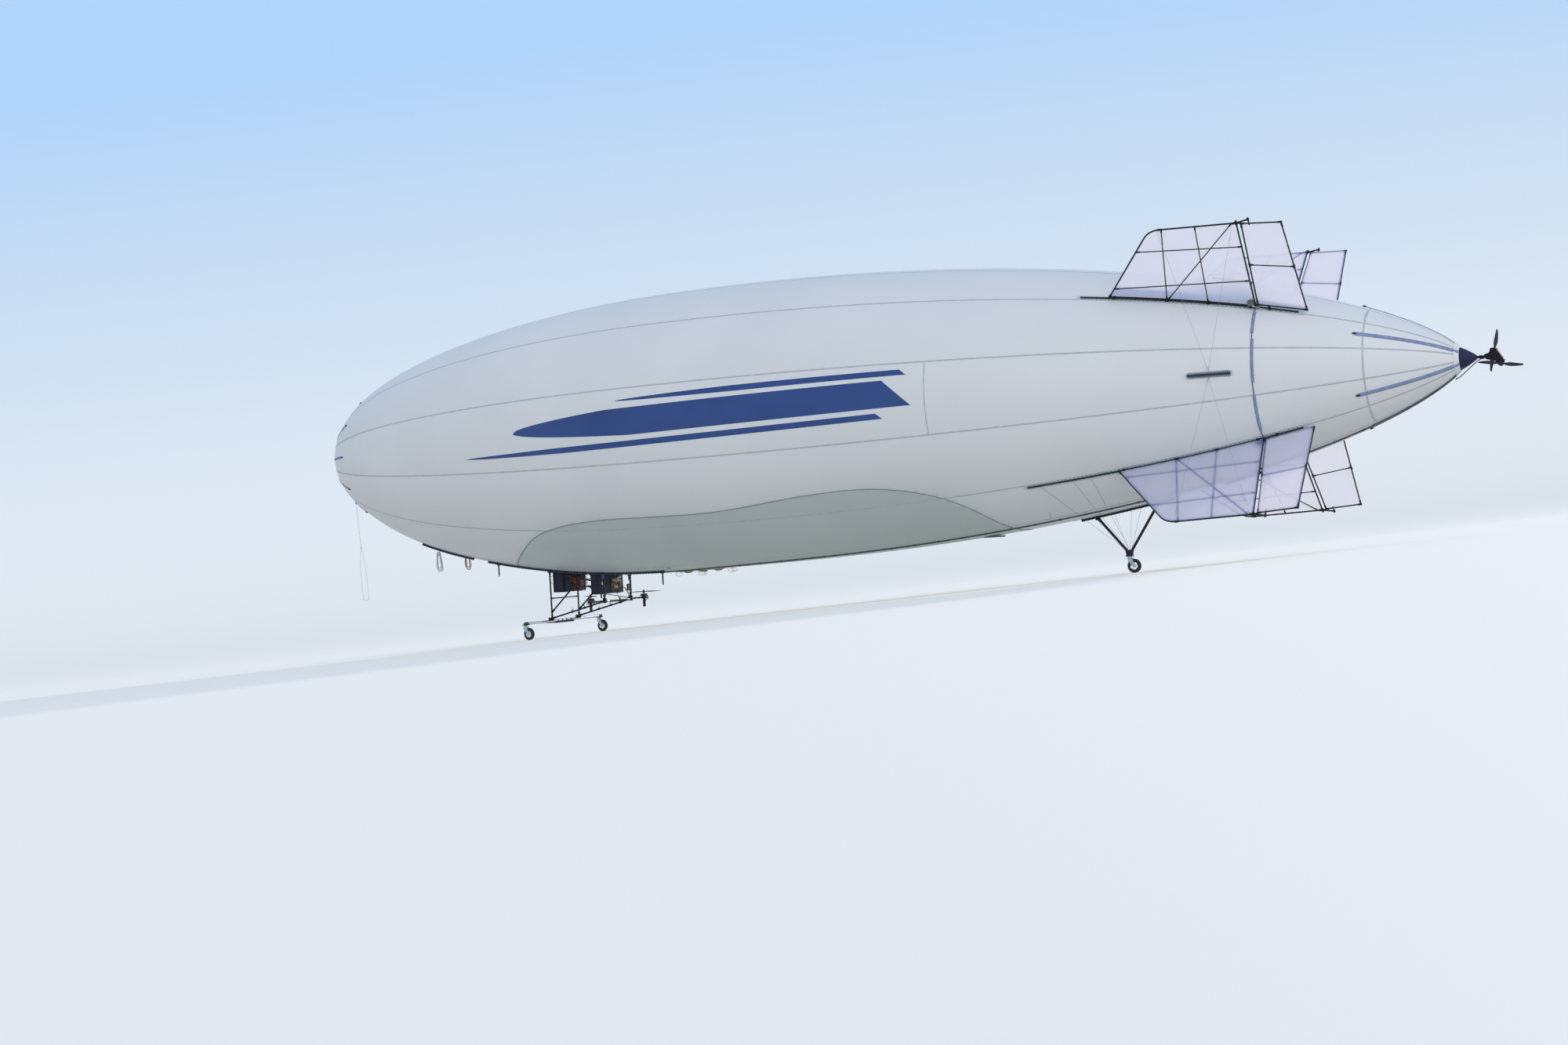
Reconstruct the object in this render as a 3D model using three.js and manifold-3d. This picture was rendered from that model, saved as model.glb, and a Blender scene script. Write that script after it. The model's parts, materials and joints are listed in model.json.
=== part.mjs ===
// A small crewless airship, parked on its three casters.
// Millimetres. +X points to the nose, +Y to port, +Z up, and the floor is at z = 0.
// Inside the hull group a place is given by its station (distance aft of the nose),
// its distance to port and its height above the hull's axis.

import * as THREE from 'three';
import { mergeVertices } from 'three/addons/utils/BufferGeometryUtils.js';
import Module from 'manifold-3d';

const wasm = await Module();
wasm.setup();

const RAD = Math.PI / 180;

// Envelope: a superellipse nose and a fuller power curve aft of the greatest radius
const hull = {
  radius: 1776, fullStation: 6051, length: 15405, virtualLength: 15483,
  nosePower: 0.4474, tailInner: 2.134, tailOuter: 0.6647,
  wall: 10, facets: 40, noseSteps: 10, tailSteps: 10,
};
// The gondola's weight draws the belly down between the keel rails
const sag = { depth: 98, rise: 900, fullTo: 3900, fade: 2250, spread: 24 };
const seatGap = 0.3;

// Ground line: the three wheels fix the parked attitude
const wheel = {
  radius: 80, tread: 36, rim: 52, hub: 23.6, bore: 6, axle: 5.5, trail: 40,
  rimDepth: 9, spokes: 5, spokeThick: 10, race: 27,
};
const frontWheel = { station: 3707, side: 834, height: -2538 };
const tailWheel = { station: 11728, height: -2013 };
const parkPitch = Math.atan2(tailWheel.height - frontWheel.height, tailWheel.station - frontWheel.station);

// Tail cone, battens and the sleeve that ties the fins together
const cone = { length: 164, tipRadius: 20 };
const batten = { width: 34, height: 9 };
const sleeve = { station: 13470, width: 36, height: 12, from: 53, to: 129 };

// Belly: laced rails, conduit, valves and the inspection port
const rail = { radius: 13, lift: 17, saddle: 44, pitch: 262 };
const keel = { from: 2680, to: 5530, side: 305 };
const bowRail = { from: 1540, to: 2420, side: 300 };
const gearRail = { from: 11128, to: 12239 };
const conduit = { radius: 9, lift: 7, sleeveWidth: 50, sleeveHeight: 19 };
const conduitSleeve = [14500, 14830, 15150];
const conduitRoute = [
  // station, angle from the top
  [5250, 173.5], [6000, 172.4], [7000, 171.4], [8930, 169.9], [10950, 168.4],
  [12400, 169.2], [13640, 171.0], [14500, 172.0], [15150, 172.0],
];
const valves = { stations: [5700, 5930, 6160], boardWidth: 90 };
const valveSteps = [
  // radius, height of its top over the envelope
  [66, 7], [57, 16], [44, 26],
];
const port = { station: 10022, radius: 128, rim: 13, height: 16 };

// Gondola
const gondola = {
  side: 305, front: 3700, rear: 4567, tube: 11,
  frontFoot: -2366, rearFoot: -2165, braceTop: 4270,
};
const crossbar = { station: 3667, height: -2402, half: 872, radius: 17 };
const boxes = [
  // name, station of its front, length, half width, drop below the rails, height
  ['front', 3716, 150, 262, 8, 262],
  ['rear', 4330, 150, 262, 8, 256],
];
const boxFittings = [
  // box, distance to port, height over the box's middle, width, height, reach aft
  ['front', 60, 16, 170, 140, 8], ['front', 110, 52, 50, 36, 22], ['front', 30, -24, 64, 44, 26],
  ['front', -130, -20, 90, 120, 20], ['front', -130, -84, 60, 40, 34],
  ['rear', -90, -6, 220, 160, 8], ['rear', -40, 40, 56, 34, 24], ['rear', -110, 34, 44, 50, 20],
  ['rear', -160, -6, 40, 70, 26], ['rear', -70, -44, 70, 36, 28], ['rear', 214, 12, 44, 44, 16],
];
const tray = {
  from: 3450, to: 3700, side: 190, top: -2412, thick: 22, wall: 3.5,
  // the port pan starts further aft, behind a wall that the two pans share
  portFrom: 3500, shared: 8,
};
const aerial = { stations: [2849, 5500], length: 168, radius: 10, holder: 17, holderLength: 46 };

// Thrust axle with a motor at each end, and the propellers
const axle = {
  half: 640, radius: 8, bore: 8.9, pod: 620,
  // the square pad that carries a motor, and the round case of its speed control below
  pad: 60, padTop: 14, padUnder: 12, controlRadius: 19, controlLength: 125,
};
const liftMotor = { radius: 48, height: 38 };
const yawMotor = { radius: 24, height: 34 };
const motorFoot = { share: 0.72, height: 6, crown: 6, crownShare: 0.8, shaft: 6, shaftHeight: 8 };
const liftProp = { radius: 229, chord: 44, hub: 16, hubHeight: 36 };
const tailProp = { radius: 220, chord: 42, hub: 15, hubHeight: 16 };
const bladeSections = [
  // share of the reach, share of the greatest chord, twist in degrees, thickness
  [0.04, 0.30, 26, 8], [0.14, 0.46, 22, 7.6], [0.27, 0.80, 19, 6.8], [0.41, 1.00, 16.5, 6],
  [0.58, 0.95, 14, 5], [0.76, 0.78, 11.7, 4], [0.90, 0.56, 10, 3], [1.00, 0.22, 9, 1.8],
];
const yawMotors = [
  // name, station, height, side of the plate, blade angle
  ['upper', 15728, 58, -1, -12.3],
  ['lower', 15806, -90, 1, 80.6],
];

// Fins: four alike, placed by their lean from the vertical plane
const finLean = 44;
const fin = {
  rootFront: 11945, rootRear: 13476, tipFront: 12608, tipRear: 13531,
  tipFrontReach: 2135, tipRearReach: 2085, corner: 120, tube: 9, rib: 6, skin: 2,
};
const rudder = {
  rootFront: 13503, rootRear: 13994, topFront: 13577, topRear: 13980,
  rootFrontReach: 1003, rootRearReach: 862, topFrontReach: 2070, topRearReach: 2026,
  hingeRoot: 13610, hingeFoot: 955, hingeTip: 13660, boom: 2112, tube: 8,
};
const finRail = { upper: [11623, 13900], lower: [10903, 13880], radius: 9, lift: 11 };
// The stay wires cross at the middle of the rod: each is held a little past it
const stays = { from: 12830, to: 13261, radius: 12, wire: 1.5, lift: 18, hold: 0.52 };

// Mooring cords at the bow: a line with a long loop under the nose, and a hank on each bow rail
const noseLine = { station: 400, angle: 150, radius: 2.5, single: 620, loop: 760, half: 50 };
const noseTab = { length: 26, width: 22, drop: 30 };
const hank = { station: 1808, length: 330, width: 130, thick: 34 };

// Materials
function finish(color, roughness, metalness = 0) {
  return new THREE.MeshStandardMaterial({ color, roughness, metalness });
}
const paint = {
  envelope: finish(0xe9ecef, 0.45),
  cone: finish(0x1c2440, 0.5),
  batten: finish(0x5f6d92, 0.6),
  carbon: finish(0x15161a, 0.4),
  cloth: finish(0xeceaf2, 0.6),
  alloy: finish(0xb9bcc0, 0.35, 0.8),
  zinc: finish(0x9fb0bb, 0.35, 0.8),
  black: finish(0x1a1b1e, 0.6),
  navy: finish(0x1b2338, 0.55),
  tyre: finish(0x121212, 0.8),
  rimWhite: finish(0xd9d9d6, 0.5),
  olive: finish(0x7d7f4a, 0.5),
  servo: finish(0x6f7d74, 0.6),
  rope: finish(0xd5d2c6, 0.9),
};

// Places

function at(station, side, height) {
  return new THREE.Vector3(-station, side, height);
}

function radiusAt(station) {
  if (station <= hull.fullStation) {
    const u = 1 - Math.max(station, 0) / hull.fullStation;
    return hull.radius * Math.pow(1 - u * u, hull.nosePower);
  }
  const t = (station - hull.fullStation) / (hull.virtualLength - hull.fullStation);
  return hull.radius * Math.pow(1 - Math.pow(t, hull.tailInner), hull.tailOuter);
}

// The reach of the envelope at an angle from the top, with the belly's sag
function reachAt(station, angle) {
  const r = radiusAt(station);
  const fromKeel = Math.abs(((angle % 360) + 360) % 360 - 180);
  const along = station < sag.fullTo ? 1 - Math.exp(-((station / sag.rise) ** 2))
    : Math.exp(-(((station - sag.fullTo) / sag.fade) ** 2));
  return r + sag.depth * along * (r / hull.radius) * Math.exp(-((fromKeel / sag.spread) ** 4));
}

// A point at an angle from the top towards port, lifted off the envelope
function onHull(station, angle, lift = 0) {
  const r = reachAt(station, angle) + lift;
  return at(station, r * Math.sin(angle * RAD), r * Math.cos(angle * RAD));
}

// The angle of a belly point that lies at a given distance to port
function bellyAngle(station, side) {
  let angle = 180;
  for (let i = 0; i < 4; i++) angle = 180 - Math.asin(side / reachAt(station, angle)) / RAD;
  return angle;
}

function steps(from, to, count) {
  return Array.from({ length: count + 1 }, (_, i) => from + (to - from) * i / count);
}

// Solids

// Turns a three.js geometry into a solid whose faces point out
function solid(geometry) {
  const bare = geometry.clone();
  bare.deleteAttribute('normal');
  bare.deleteAttribute('uv');
  const merged = mergeVertices(bare, 1e-3);
  const p = merged.getAttribute('position');
  const index = Array.from(merged.index.array);
  const a = new THREE.Vector3(), b = new THREE.Vector3(), c = new THREE.Vector3();
  const faces = [];
  let volume = 0;
  for (let i = 0; i < index.length; i += 3) {
    const [u, v, w] = index.slice(i, i + 3);
    if (u === v || v === w || w === u) continue;
    a.fromBufferAttribute(p, u);
    b.fromBufferAttribute(p, v);
    c.fromBufferAttribute(p, w);
    volume += a.dot(b.cross(c));
    faces.push([u, v, w]);
  }
  const triVerts = Uint32Array.from(faces.flatMap(([u, v, w]) => (volume < 0 ? [u, w, v] : [u, v, w])));
  const vertProperties = Float32Array.from(p.array);
  return new wasm.Manifold(new wasm.Mesh({ numProp: 3, vertProperties, triVerts }));
}

function join(parts) {
  return parts.reduce((whole, part) => whole.add(part));
}

function geometryOf(body) {
  const mesh = body.getMesh();
  const geometry = new THREE.BufferGeometry();
  geometry.setAttribute('position', new THREE.BufferAttribute(mesh.vertProperties, 3));
  geometry.setIndex(new THREE.BufferAttribute(mesh.triVerts, 1));
  geometry.computeVertexNormals();
  return geometry;
}

function node(name, body, material, parent) {
  const mesh = new THREE.Mesh(geometryOf(body), material);
  mesh.name = name;
  parent.add(mesh);
  return mesh;
}

// A round bar from one point to another
function bar(a, b, radius, sides = 6) {
  const along = new THREE.Vector3().subVectors(b, a);
  const geometry = new THREE.CylinderGeometry(radius, radius, along.length(), sides);
  const turn = new THREE.Quaternion().setFromUnitVectors(new THREE.Vector3(0, 1, 0), along.clone().normalize());
  geometry.applyQuaternion(turn);
  const middle = a.clone().add(b).multiplyScalar(0.5);
  geometry.translate(middle.x, middle.y, middle.z);
  return solid(geometry);
}

// A flat bar in the x-z plane from one point to another
function flatBar(a, b, width, thick) {
  const along = new THREE.Vector3().subVectors(b, a);
  const geometry = new THREE.BoxGeometry(along.length(), thick, width);
  geometry.rotateY(Math.atan2(-along.z, along.x));
  geometry.translate((a.x + b.x) / 2, 0, (a.z + b.z) / 2);
  return solid(geometry);
}

function block(centre, sizeX, sizeY, sizeZ) {
  const geometry = new THREE.BoxGeometry(sizeX, sizeY, sizeZ);
  geometry.translate(centre.x, centre.y, centre.z);
  return solid(geometry);
}

// A bent tube through a list of points
function sweep(points, radius, count, sides = 6) {
  const section = new THREE.Shape();
  for (let i = 0; i < sides; i++) {
    const turn = (i + 0.5) * 2 * Math.PI / sides;
    const method = i === 0 ? 'moveTo' : 'lineTo';
    section[method](radius * Math.cos(turn), radius * Math.sin(turn));
  }
  section.closePath();
  const path = new THREE.CatmullRomCurve3(points);
  const geometry = new THREE.ExtrudeGeometry(section, { steps: count, extrudePath: path, bevelEnabled: false });
  return solid(geometry);
}

// A solid of revolution about the hull's axis, from [station, radius] pairs
function turned(profile, sides = 24) {
  const points = profile.map(([station, r]) => new THREE.Vector2(r, station));
  const onAxis = points[0].x === 0 && points[points.length - 1].x === 0;
  if (!onAxis) points.push(points[0]);
  const geometry = new THREE.LatheGeometry(points, sides);
  geometry.rotateZ(Math.PI / 2);
  return solid(geometry);
}

// A plate of a given outline in the x-z plane, centred on y
function plate(outline, thick, y = 0) {
  const shape = new THREE.Shape(outline.map(([station, height]) => new THREE.Vector2(-station, height)));
  const geometry = new THREE.ExtrudeGeometry(shape, { depth: thick, bevelEnabled: false });
  geometry.rotateX(Math.PI / 2);
  geometry.translate(0, y + thick / 2, 0);
  return solid(geometry);
}

// A solid of revolution about the y axis, from [radius, y] pairs
function spun(profile, sides) {
  return solid(new THREE.LatheGeometry(profile.map(([r, y]) => new THREE.Vector2(r, y)), sides));
}

// A solid through like sections, each a ring of points, closed by a fan at both ends
function lofted(sections) {
  const size = sections[0].length;
  const faces = [];
  for (let i = 0; i < sections.length - 1; i++) {
    for (let j = 0; j < size; j++) {
      const next = (j + 1) % size;
      const [a, b, c, d] = [i * size + j, i * size + next, (i + 1) * size + j, (i + 1) * size + next];
      faces.push(a, b, d, a, d, c);
    }
  }
  const last = (sections.length - 1) * size;
  for (let j = 1; j < size - 1; j++) faces.push(0, j + 1, j, last, last + j, last + j + 1);
  const geometry = new THREE.BufferGeometry();
  const places = sections.flat().flatMap((p) => [p.x, p.y, p.z]);
  geometry.setAttribute('position', new THREE.Float32BufferAttribute(places, 3));
  geometry.setIndex(faces);
  return solid(geometry);
}

// Envelope

// Stations close up towards both ends, where the profile bends most
function hullStations() {
  const quarter = (count) => steps(0, Math.PI / 2, count).slice(1);
  const nose = quarter(hull.noseSteps).map((a) => hull.fullStation * (1 - Math.cos(a)));
  const tail = quarter(hull.tailSteps).map((a) => (
    hull.fullStation + (hull.length - hull.fullStation) * Math.sin(a)));
  return [...nose, ...tail];
}

function hullProfile(grow) {
  return hullStations().map((s) => [s, radiusAt(s) + grow]);
}

// A solid of revolution whose belly is drawn down by the sag
function sagged(profile) {
  const points = profile.map(([station, r]) => new THREE.Vector2(r, station));
  const geometry = new THREE.LatheGeometry(points, hull.facets);
  geometry.rotateZ(Math.PI / 2);
  const p = geometry.getAttribute('position');
  for (let i = 0; i < p.count; i++) {
    const station = -p.getX(i);
    const r = Math.hypot(p.getY(i), p.getZ(i));
    if (r < 1) continue;
    const angle = Math.atan2(p.getY(i), p.getZ(i)) / RAD;
    const scale = 1 + (reachAt(station, angle) - radiusAt(station)) / r;
    p.setXYZ(i, p.getX(i), p.getY(i) * scale, p.getZ(i) * scale);
  }
  return solid(geometry);
}

const outer = hullProfile(0);
const inner = hullProfile(-hull.wall).reverse();
const envelope = sagged([[0, 0], ...outer, ...inner, [hull.wall, 0]]);
const hullSpace = sagged([[-seatGap, 0], ...hullProfile(seatGap), [hull.length, 0]]);

const craft = new THREE.Group();
const hullGroup = new THREE.Group();
hullGroup.rotation.y = -parkPitch;
craft.add(hullGroup);

// Strips and rails that lie on the envelope

// A flat strip along the envelope, its underside cut to the surface
function strip(stations, angle, width, height) {
  const sections = stations.map((s) => onHull(s, angle, 0));
  const side = new THREE.Vector3(0, Math.cos(angle * RAD), -Math.sin(angle * RAD));
  const out = new THREE.Vector3(0, Math.sin(angle * RAD), Math.cos(angle * RAD));
  const pieces = [];
  for (let i = 0; i < sections.length - 1; i++) {
    const corner = (p, k, h) => p.clone().addScaledVector(side, k * width / 2).addScaledVector(out, h);
    const corners = [sections[i], sections[i + 1]].flatMap((p) => (
      [-1, 1].flatMap((k) => [-14, height].map((h) => corner(p, k, h)))));
    pieces.push(hullOf(corners));
  }
  return join(pieces).subtract(hullSpace);
}

// The box with eight given corners, ordered by end, side and height
function hullOf(c) {
  const quads = [[0, 1, 3, 2], [4, 6, 7, 5], [0, 4, 5, 1], [2, 3, 7, 6], [0, 2, 6, 4], [1, 5, 7, 3]];
  const geometry = new THREE.BufferGeometry();
  geometry.setAttribute('position', new THREE.Float32BufferAttribute(c.flatMap((p) => [p.x, p.y, p.z]), 3));
  geometry.setIndex(quads.flatMap(([p, q, r, s]) => [p, q, r, p, r, s]));
  return solid(geometry);
}

// A tube that follows the envelope, held by saddles whose feet are cut to the surface.
// With grow it is the space that a neighbour leaves free for it.
function lacedRail(from, to, angleAt, radius, lift, count, saddlePitch, grow = 0) {
  const points = steps(from, to, count).map((s) => onHull(s, angleAt(s), lift));
  const pieces = [sweep(points, radius + grow, count)];
  const saddles = Math.round((to - from) / saddlePitch);
  for (const s of steps(from + rail.saddle, to - rail.saddle, saddles)) {
    pieces.push(saddle(s, angleAt(s), radius, lift, grow));
  }
  return join(pieces).subtract(hullSpace);
}

function saddle(station, angle, radius, lift, grow = 0) {
  const ends = [-1, 1].map((k) => station + k * (rail.saddle / 2 + grow));
  const corners = ends.flatMap((s) => [-1, 1].flatMap((k) => (
    [-16, lift].map((h) => {
      const half = radius * (h < 0 ? 2.2 : 0.8) + grow;
      const out = new THREE.Vector3(0, Math.sin(angle * RAD), Math.cos(angle * RAD));
      const side = new THREE.Vector3(0, Math.cos(angle * RAD), -Math.sin(angle * RAD));
      return onHull(s, angle, 0).addScaledVector(out, h).addScaledVector(side, k * half);
    }))));
  return hullOf(corners);
}

// Tail cone and its battens
const coneBase = hull.length + seatGap;
const baseRadius = radiusAt(hull.length);
const tailCone = turned([
  [coneBase, 0], [coneBase, baseRadius], [coneBase + cone.length, cone.tipRadius], [coneBase + cone.length, 0],
]);
node('tail_cone', tailCone, paint.cone, hullGroup);

const collarFrom = hull.length - 46;
const collar = turned([
  [collarFrom, 90], [collarFrom, radiusAt(collarFrom) + batten.height],
  [hull.length, baseRadius + batten.height], [hull.length, 90],
], hull.facets).subtract(hullSpace);
const tailBattens = [0, 60, 120, 180, 240, 300].map((a) => (
  strip(hullStations().slice(-4), a, batten.width, batten.height)));
node('tail_battens', join([collar, ...tailBattens]), paint.batten, hullGroup);

const noseStations = hullStations().slice(0, 3);
const noseRing = turned([
  [20, 0], [-12, 0], [-12, 60], [-8, 150], [noseStations[0] - 8, radiusAt(noseStations[0]) + batten.height],
  [noseStations[0] + 12, radiusAt(noseStations[0]) + batten.height], [noseStations[0] + 20, 200],
], hull.facets).subtract(hullSpace);
const noseBattens = steps(0, 330, 11).map((a) => (
  strip(noseStations, a, batten.width, batten.height)));
const tabFoot = onHull(noseLine.station, noseLine.angle);
const lineTab = levelled(
  block(new THREE.Vector3(0, 0, (20 - noseTab.drop) / 2), noseTab.length, noseTab.width, noseTab.drop + 20),
  tabFoot).subtract(hullSpace);
node('nose_battens', join([noseRing, lineTab, ...noseBattens]), paint.batten, hullGroup);

// Cable sleeve between the upper and the lower fin on each side
for (const [name, sign] of [['port', 1], ['starboard', -1]]) {
  const r = radiusAt(sleeve.station);
  const arc = new THREE.Shape();
  arc.absarc(0, 0, r + sleeve.height, sleeve.from * RAD, sleeve.to * RAD, false);
  arc.absarc(0, 0, r - 30, sleeve.to * RAD, sleeve.from * RAD, true);
  const extent = { depth: sleeve.width, bevelEnabled: false, curveSegments: 12 };
  const geometry = new THREE.ExtrudeGeometry(arc, extent);
  const turn = new THREE.Matrix4().makeBasis(
    new THREE.Vector3(0, 0, 1), new THREE.Vector3(0, sign, 0), new THREE.Vector3(-sign, 0, 0));
  geometry.applyMatrix4(turn);
  geometry.translate(-sleeve.station + sign * sleeve.width / 2, 0, 0);
  node(`cable_sleeve_${name}`, solid(geometry).subtract(hullSpace), paint.batten, hullGroup);
}

// Belly rails
function bowTube(sign, grow = 0) {
  const bowAngle = (s) => bellyAngle(s, sign * bowRail.side);
  return lacedRail(bowRail.from, bowRail.to, bowAngle, rail.radius, rail.lift, 4, rail.pitch, grow);
}

for (const [name, sign] of [['port', 1], ['starboard', -1]]) {
  const keelAngle = (s) => bellyAngle(s, sign * keel.side);
  const keelRail = lacedRail(keel.from, keel.to, keelAngle, rail.radius, rail.lift, 9, rail.pitch);
  const aerials = (sign > 0 ? aerial.stations : []).flatMap((s) => {
    const top = onHull(s, keelAngle(s), rail.lift);
    const below = (drop) => top.clone().add(new THREE.Vector3(0, 0, -drop));
    const whip = bar(top, below(aerial.length), aerial.radius, 8);
    return [whip, bar(top, below(aerial.holderLength), aerial.holder, 8)];
  });
  node(`keel_rail_${name}`, join([keelRail, ...aerials]), paint.carbon, hullGroup);

  node(`bow_rail_${name}`, bowTube(sign), paint.carbon, hullGroup);
}
node('tail_gear_rail', lacedRail(gearRail.from, gearRail.to, () => 180, rail.radius, rail.lift, 4, rail.pitch),
  paint.carbon, hullGroup);

const conduitPoints = conduitRoute.map(([s, a]) => onHull(s, a, conduit.lift));
const conduitTube = sweep(conduitPoints, conduit.radius, 36, 6).subtract(hullSpace);
const tailSleeve = strip(conduitSleeve, 172, conduit.sleeveWidth, conduit.sleeveHeight);
node('belly_conduit', conduitTube.add(tailSleeve), paint.black, hullGroup);

// Valves on one board, and the round port sewn into the envelope, on the belly's centre line
const board = strip([valves.stations[0] - 90, valves.stations[1], valves.stations[2] + 90], 180,
  valves.boardWidth, 5);
const caps = valves.stations.flatMap((s) => valveSteps.map(([radius, height]) => (
  bar(onHull(s, 180, -8), onHull(s, 180, height), radius, 20))));
node('belly_valves', join([board, ...caps]).subtract(hullSpace), paint.olive, hullGroup);

const portFoot = onHull(port.station, 180, -14);
const portTop = portFoot.clone().add(new THREE.Vector3(0, 0, -port.height - 14));
const portCap = bar(portFoot, portTop, port.radius, 28).subtract(
  bar(portTop.clone().add(new THREE.Vector3(0, 0, 6)), portTop.clone().add(new THREE.Vector3(0, 0, -6)),
    port.radius - port.rim, 28));
node('envelope', envelope.add(portCap), paint.envelope, hullGroup);

// Fin: drawn with x along the hull, z outwards from the axis and y across

// The cloth lies on the upper side of every fin, and the servo box on the other side
function clothSide(angle) {
  return -Math.sign(angle);
}

function finFrame(finGroup, name, angle, rootRail) {
  const root = (s) => radiusAt(s) + finRail.lift + finRail.radius + fin.tube - 6;
  const p = (s, reach) => at(s, 0, reach);
  const frontLow = p(fin.rootFront, root(fin.rootFront));
  const rearLow = p(fin.rootRear, root(fin.rootRear));
  const rearHigh = p(fin.tipRear, fin.tipRearReach);
  const cornerTop = p(fin.tipFront, fin.tipFrontReach);
  const intoEdge = cornerTop.clone().lerp(frontLow, fin.corner / cornerTop.distanceTo(frontLow));
  const intoTip = cornerTop.clone().lerp(rearHigh, fin.corner / cornerTop.distanceTo(rearHigh));
  const bend = new THREE.QuadraticBezierCurve3(intoEdge, cornerTop, intoTip).getPoints(2);

  const onEdge = (share) => frontLow.clone().lerp(intoEdge, share);
  const onRear = (share) => rearLow.clone().lerp(rearHigh, share);
  const onRoot = (s) => p(s, root(s));
  const onTip = (share) => intoTip.clone().lerp(rearHigh, share);
  const rootLine = steps(fin.rootFront, fin.rootRear, 4).map(onRoot);
  const spar = (a, b) => flatBar(a, b, 2 * fin.tube, 2 * fin.tube);
  const rib = (a, b) => flatBar(a, b, 2 * fin.rib, 2 * fin.tube);
  const pieces = [
    spar(frontLow, intoEdge),
    ...bend.slice(1).map((q, i) => spar(bend[i], q)),
    spar(intoTip, rearHigh),
    spar(rearLow, rearHigh),
    ...rootLine.slice(1).map((q, i) => spar(rootLine[i], q)),
    rib(onEdge(0.14), onRear(0.31)),
    rib(onEdge(0.77), onRear(0.72)),
    rib(onRoot(12560), onTip(0.02)),
    rib(onRoot(12990), onTip(0.46)),
    rib(onRoot(12575), onTip(0.94)),
    spar(p(fin.tipRear - 5, fin.tipRearReach - 3), p(rudder.hingeTip, rudder.boom)),
    bar(p(rudder.hingeTip - 1, rudder.boom - 14), p(rudder.hingeTip + 1, rudder.boom + 18), 15, 8),
    block(p(13440, root(13440) + 50).add(new THREE.Vector3(0, -24 * clothSide(angle), 0)), 70, 44, 60),
    rootRail,
  ];
  node(`fin_frame_${name}`, join(pieces), paint.carbon, finGroup);

  const edge = (q) => [-q.x, q.z];
  const skinY = clothSide(angle) * (fin.tube + seatGap + fin.skin / 2);
  const rootEdge = steps(fin.rootFront, fin.rootRear, 4).reverse().map((s) => [s, root(s)]);
  const outline = [...bend.map(edge), edge(rearHigh), ...rootEdge];
  node(`fin_skin_${name}`, plate(outline, fin.skin, skinY), paint.cloth, finGroup);
}

function rudderParts(hinge, name, angle, hingeFoot) {
  const local = (s, reach) => at(s, 0, reach).sub(hingeFoot);
  const q = {
    rf: local(rudder.rootFront, rudder.rootFrontReach), rr: local(rudder.rootRear, rudder.rootRearReach),
    tf: local(rudder.topFront, rudder.topFrontReach), tr: local(rudder.topRear, rudder.topRearReach),
  };
  const pinTop = local(rudder.hingeTip - 1, rudder.boom - 15);
  const onHinge = (reach) => {
    const share = (reach - hingeFoot.z) / (rudder.boom - hingeFoot.z);
    return local(rudder.hingeRoot + share * (rudder.hingeTip - rudder.hingeRoot), reach);
  };
  const spar = (a, b) => flatBar(a, b, 2 * rudder.tube, 2 * rudder.tube);
  const bars = [
    spar(q.rf, q.rr), spar(q.rr, q.tr), spar(q.tr, q.tf), spar(q.tf, q.rf),
    flatBar(q.rf.clone().lerp(q.tf, 0.5), q.rr.clone().lerp(q.tr, 0.5), 2 * fin.rib, 2 * rudder.tube),
    bar(onHinge(2040), pinTop, 7), bar(onHinge(rudder.hingeFoot), onHinge(985), 7.5),
  ];
  node(`rudder_frame_${name}`, join(bars), paint.carbon, hinge);
  const outline = [q.rf, q.tf, q.tr, q.rr].map((v) => [-v.x, v.z]);
  const skinY = clothSide(angle) * (rudder.tube + seatGap + fin.skin / 2);
  node(`rudder_skin_${name}`, plate(outline, fin.skin, skinY), paint.cloth, hinge);
}

const fins = [
  // name, angle from the top towards port, rail table
  ['upper_port', finLean, finRail.upper],
  ['upper_starboard', -finLean, finRail.upper],
  ['lower_port', 180 - finLean, finRail.lower],
  ['lower_starboard', finLean - 180, finRail.lower],
];
for (const [name, angle, [railFrom, railTo]] of fins) {
  const finGroup = new THREE.Group();
  finGroup.rotation.x = -angle * RAD;
  hullGroup.add(finGroup);

  // The laced root rail carries the fin's foot and the rudder's lower bearing
  const rootRail = lacedRail(railFrom, railTo, () => angle, finRail.radius, finRail.lift, 8, 2 * rail.pitch);
  const out = new THREE.Vector3(0, Math.sin(angle * RAD), Math.cos(angle * RAD));
  const foot = at(rudder.hingeRoot, 0, 0).addScaledVector(out, radiusAt(rudder.hingeRoot) - 12);
  const head = at(rudder.hingeRoot, 0, 0).addScaledVector(out, rudder.hingeFoot - 0.5);
  const bearing = bar(foot, head, 14, 8).subtract(hullSpace);
  const upright = new THREE.Matrix4().makeRotationX(angle * RAD).toArray();
  finFrame(finGroup, name, angle, rootRail.add(bearing).transform(upright));

  const hingeFoot = at(rudder.hingeRoot, 0, rudder.hingeFoot);
  const hingeTop = at(rudder.hingeTip, 0, rudder.boom);
  const hinge = new THREE.Group();
  hinge.name = `pivot_rudder_${name}`;
  hinge.position.copy(hingeFoot);
  hinge.userData.axis = hingeTop.clone().sub(hingeFoot).normalize();
  finGroup.add(hinge);
  rudderParts(hinge, name, angle, hingeFoot);
}

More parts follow.
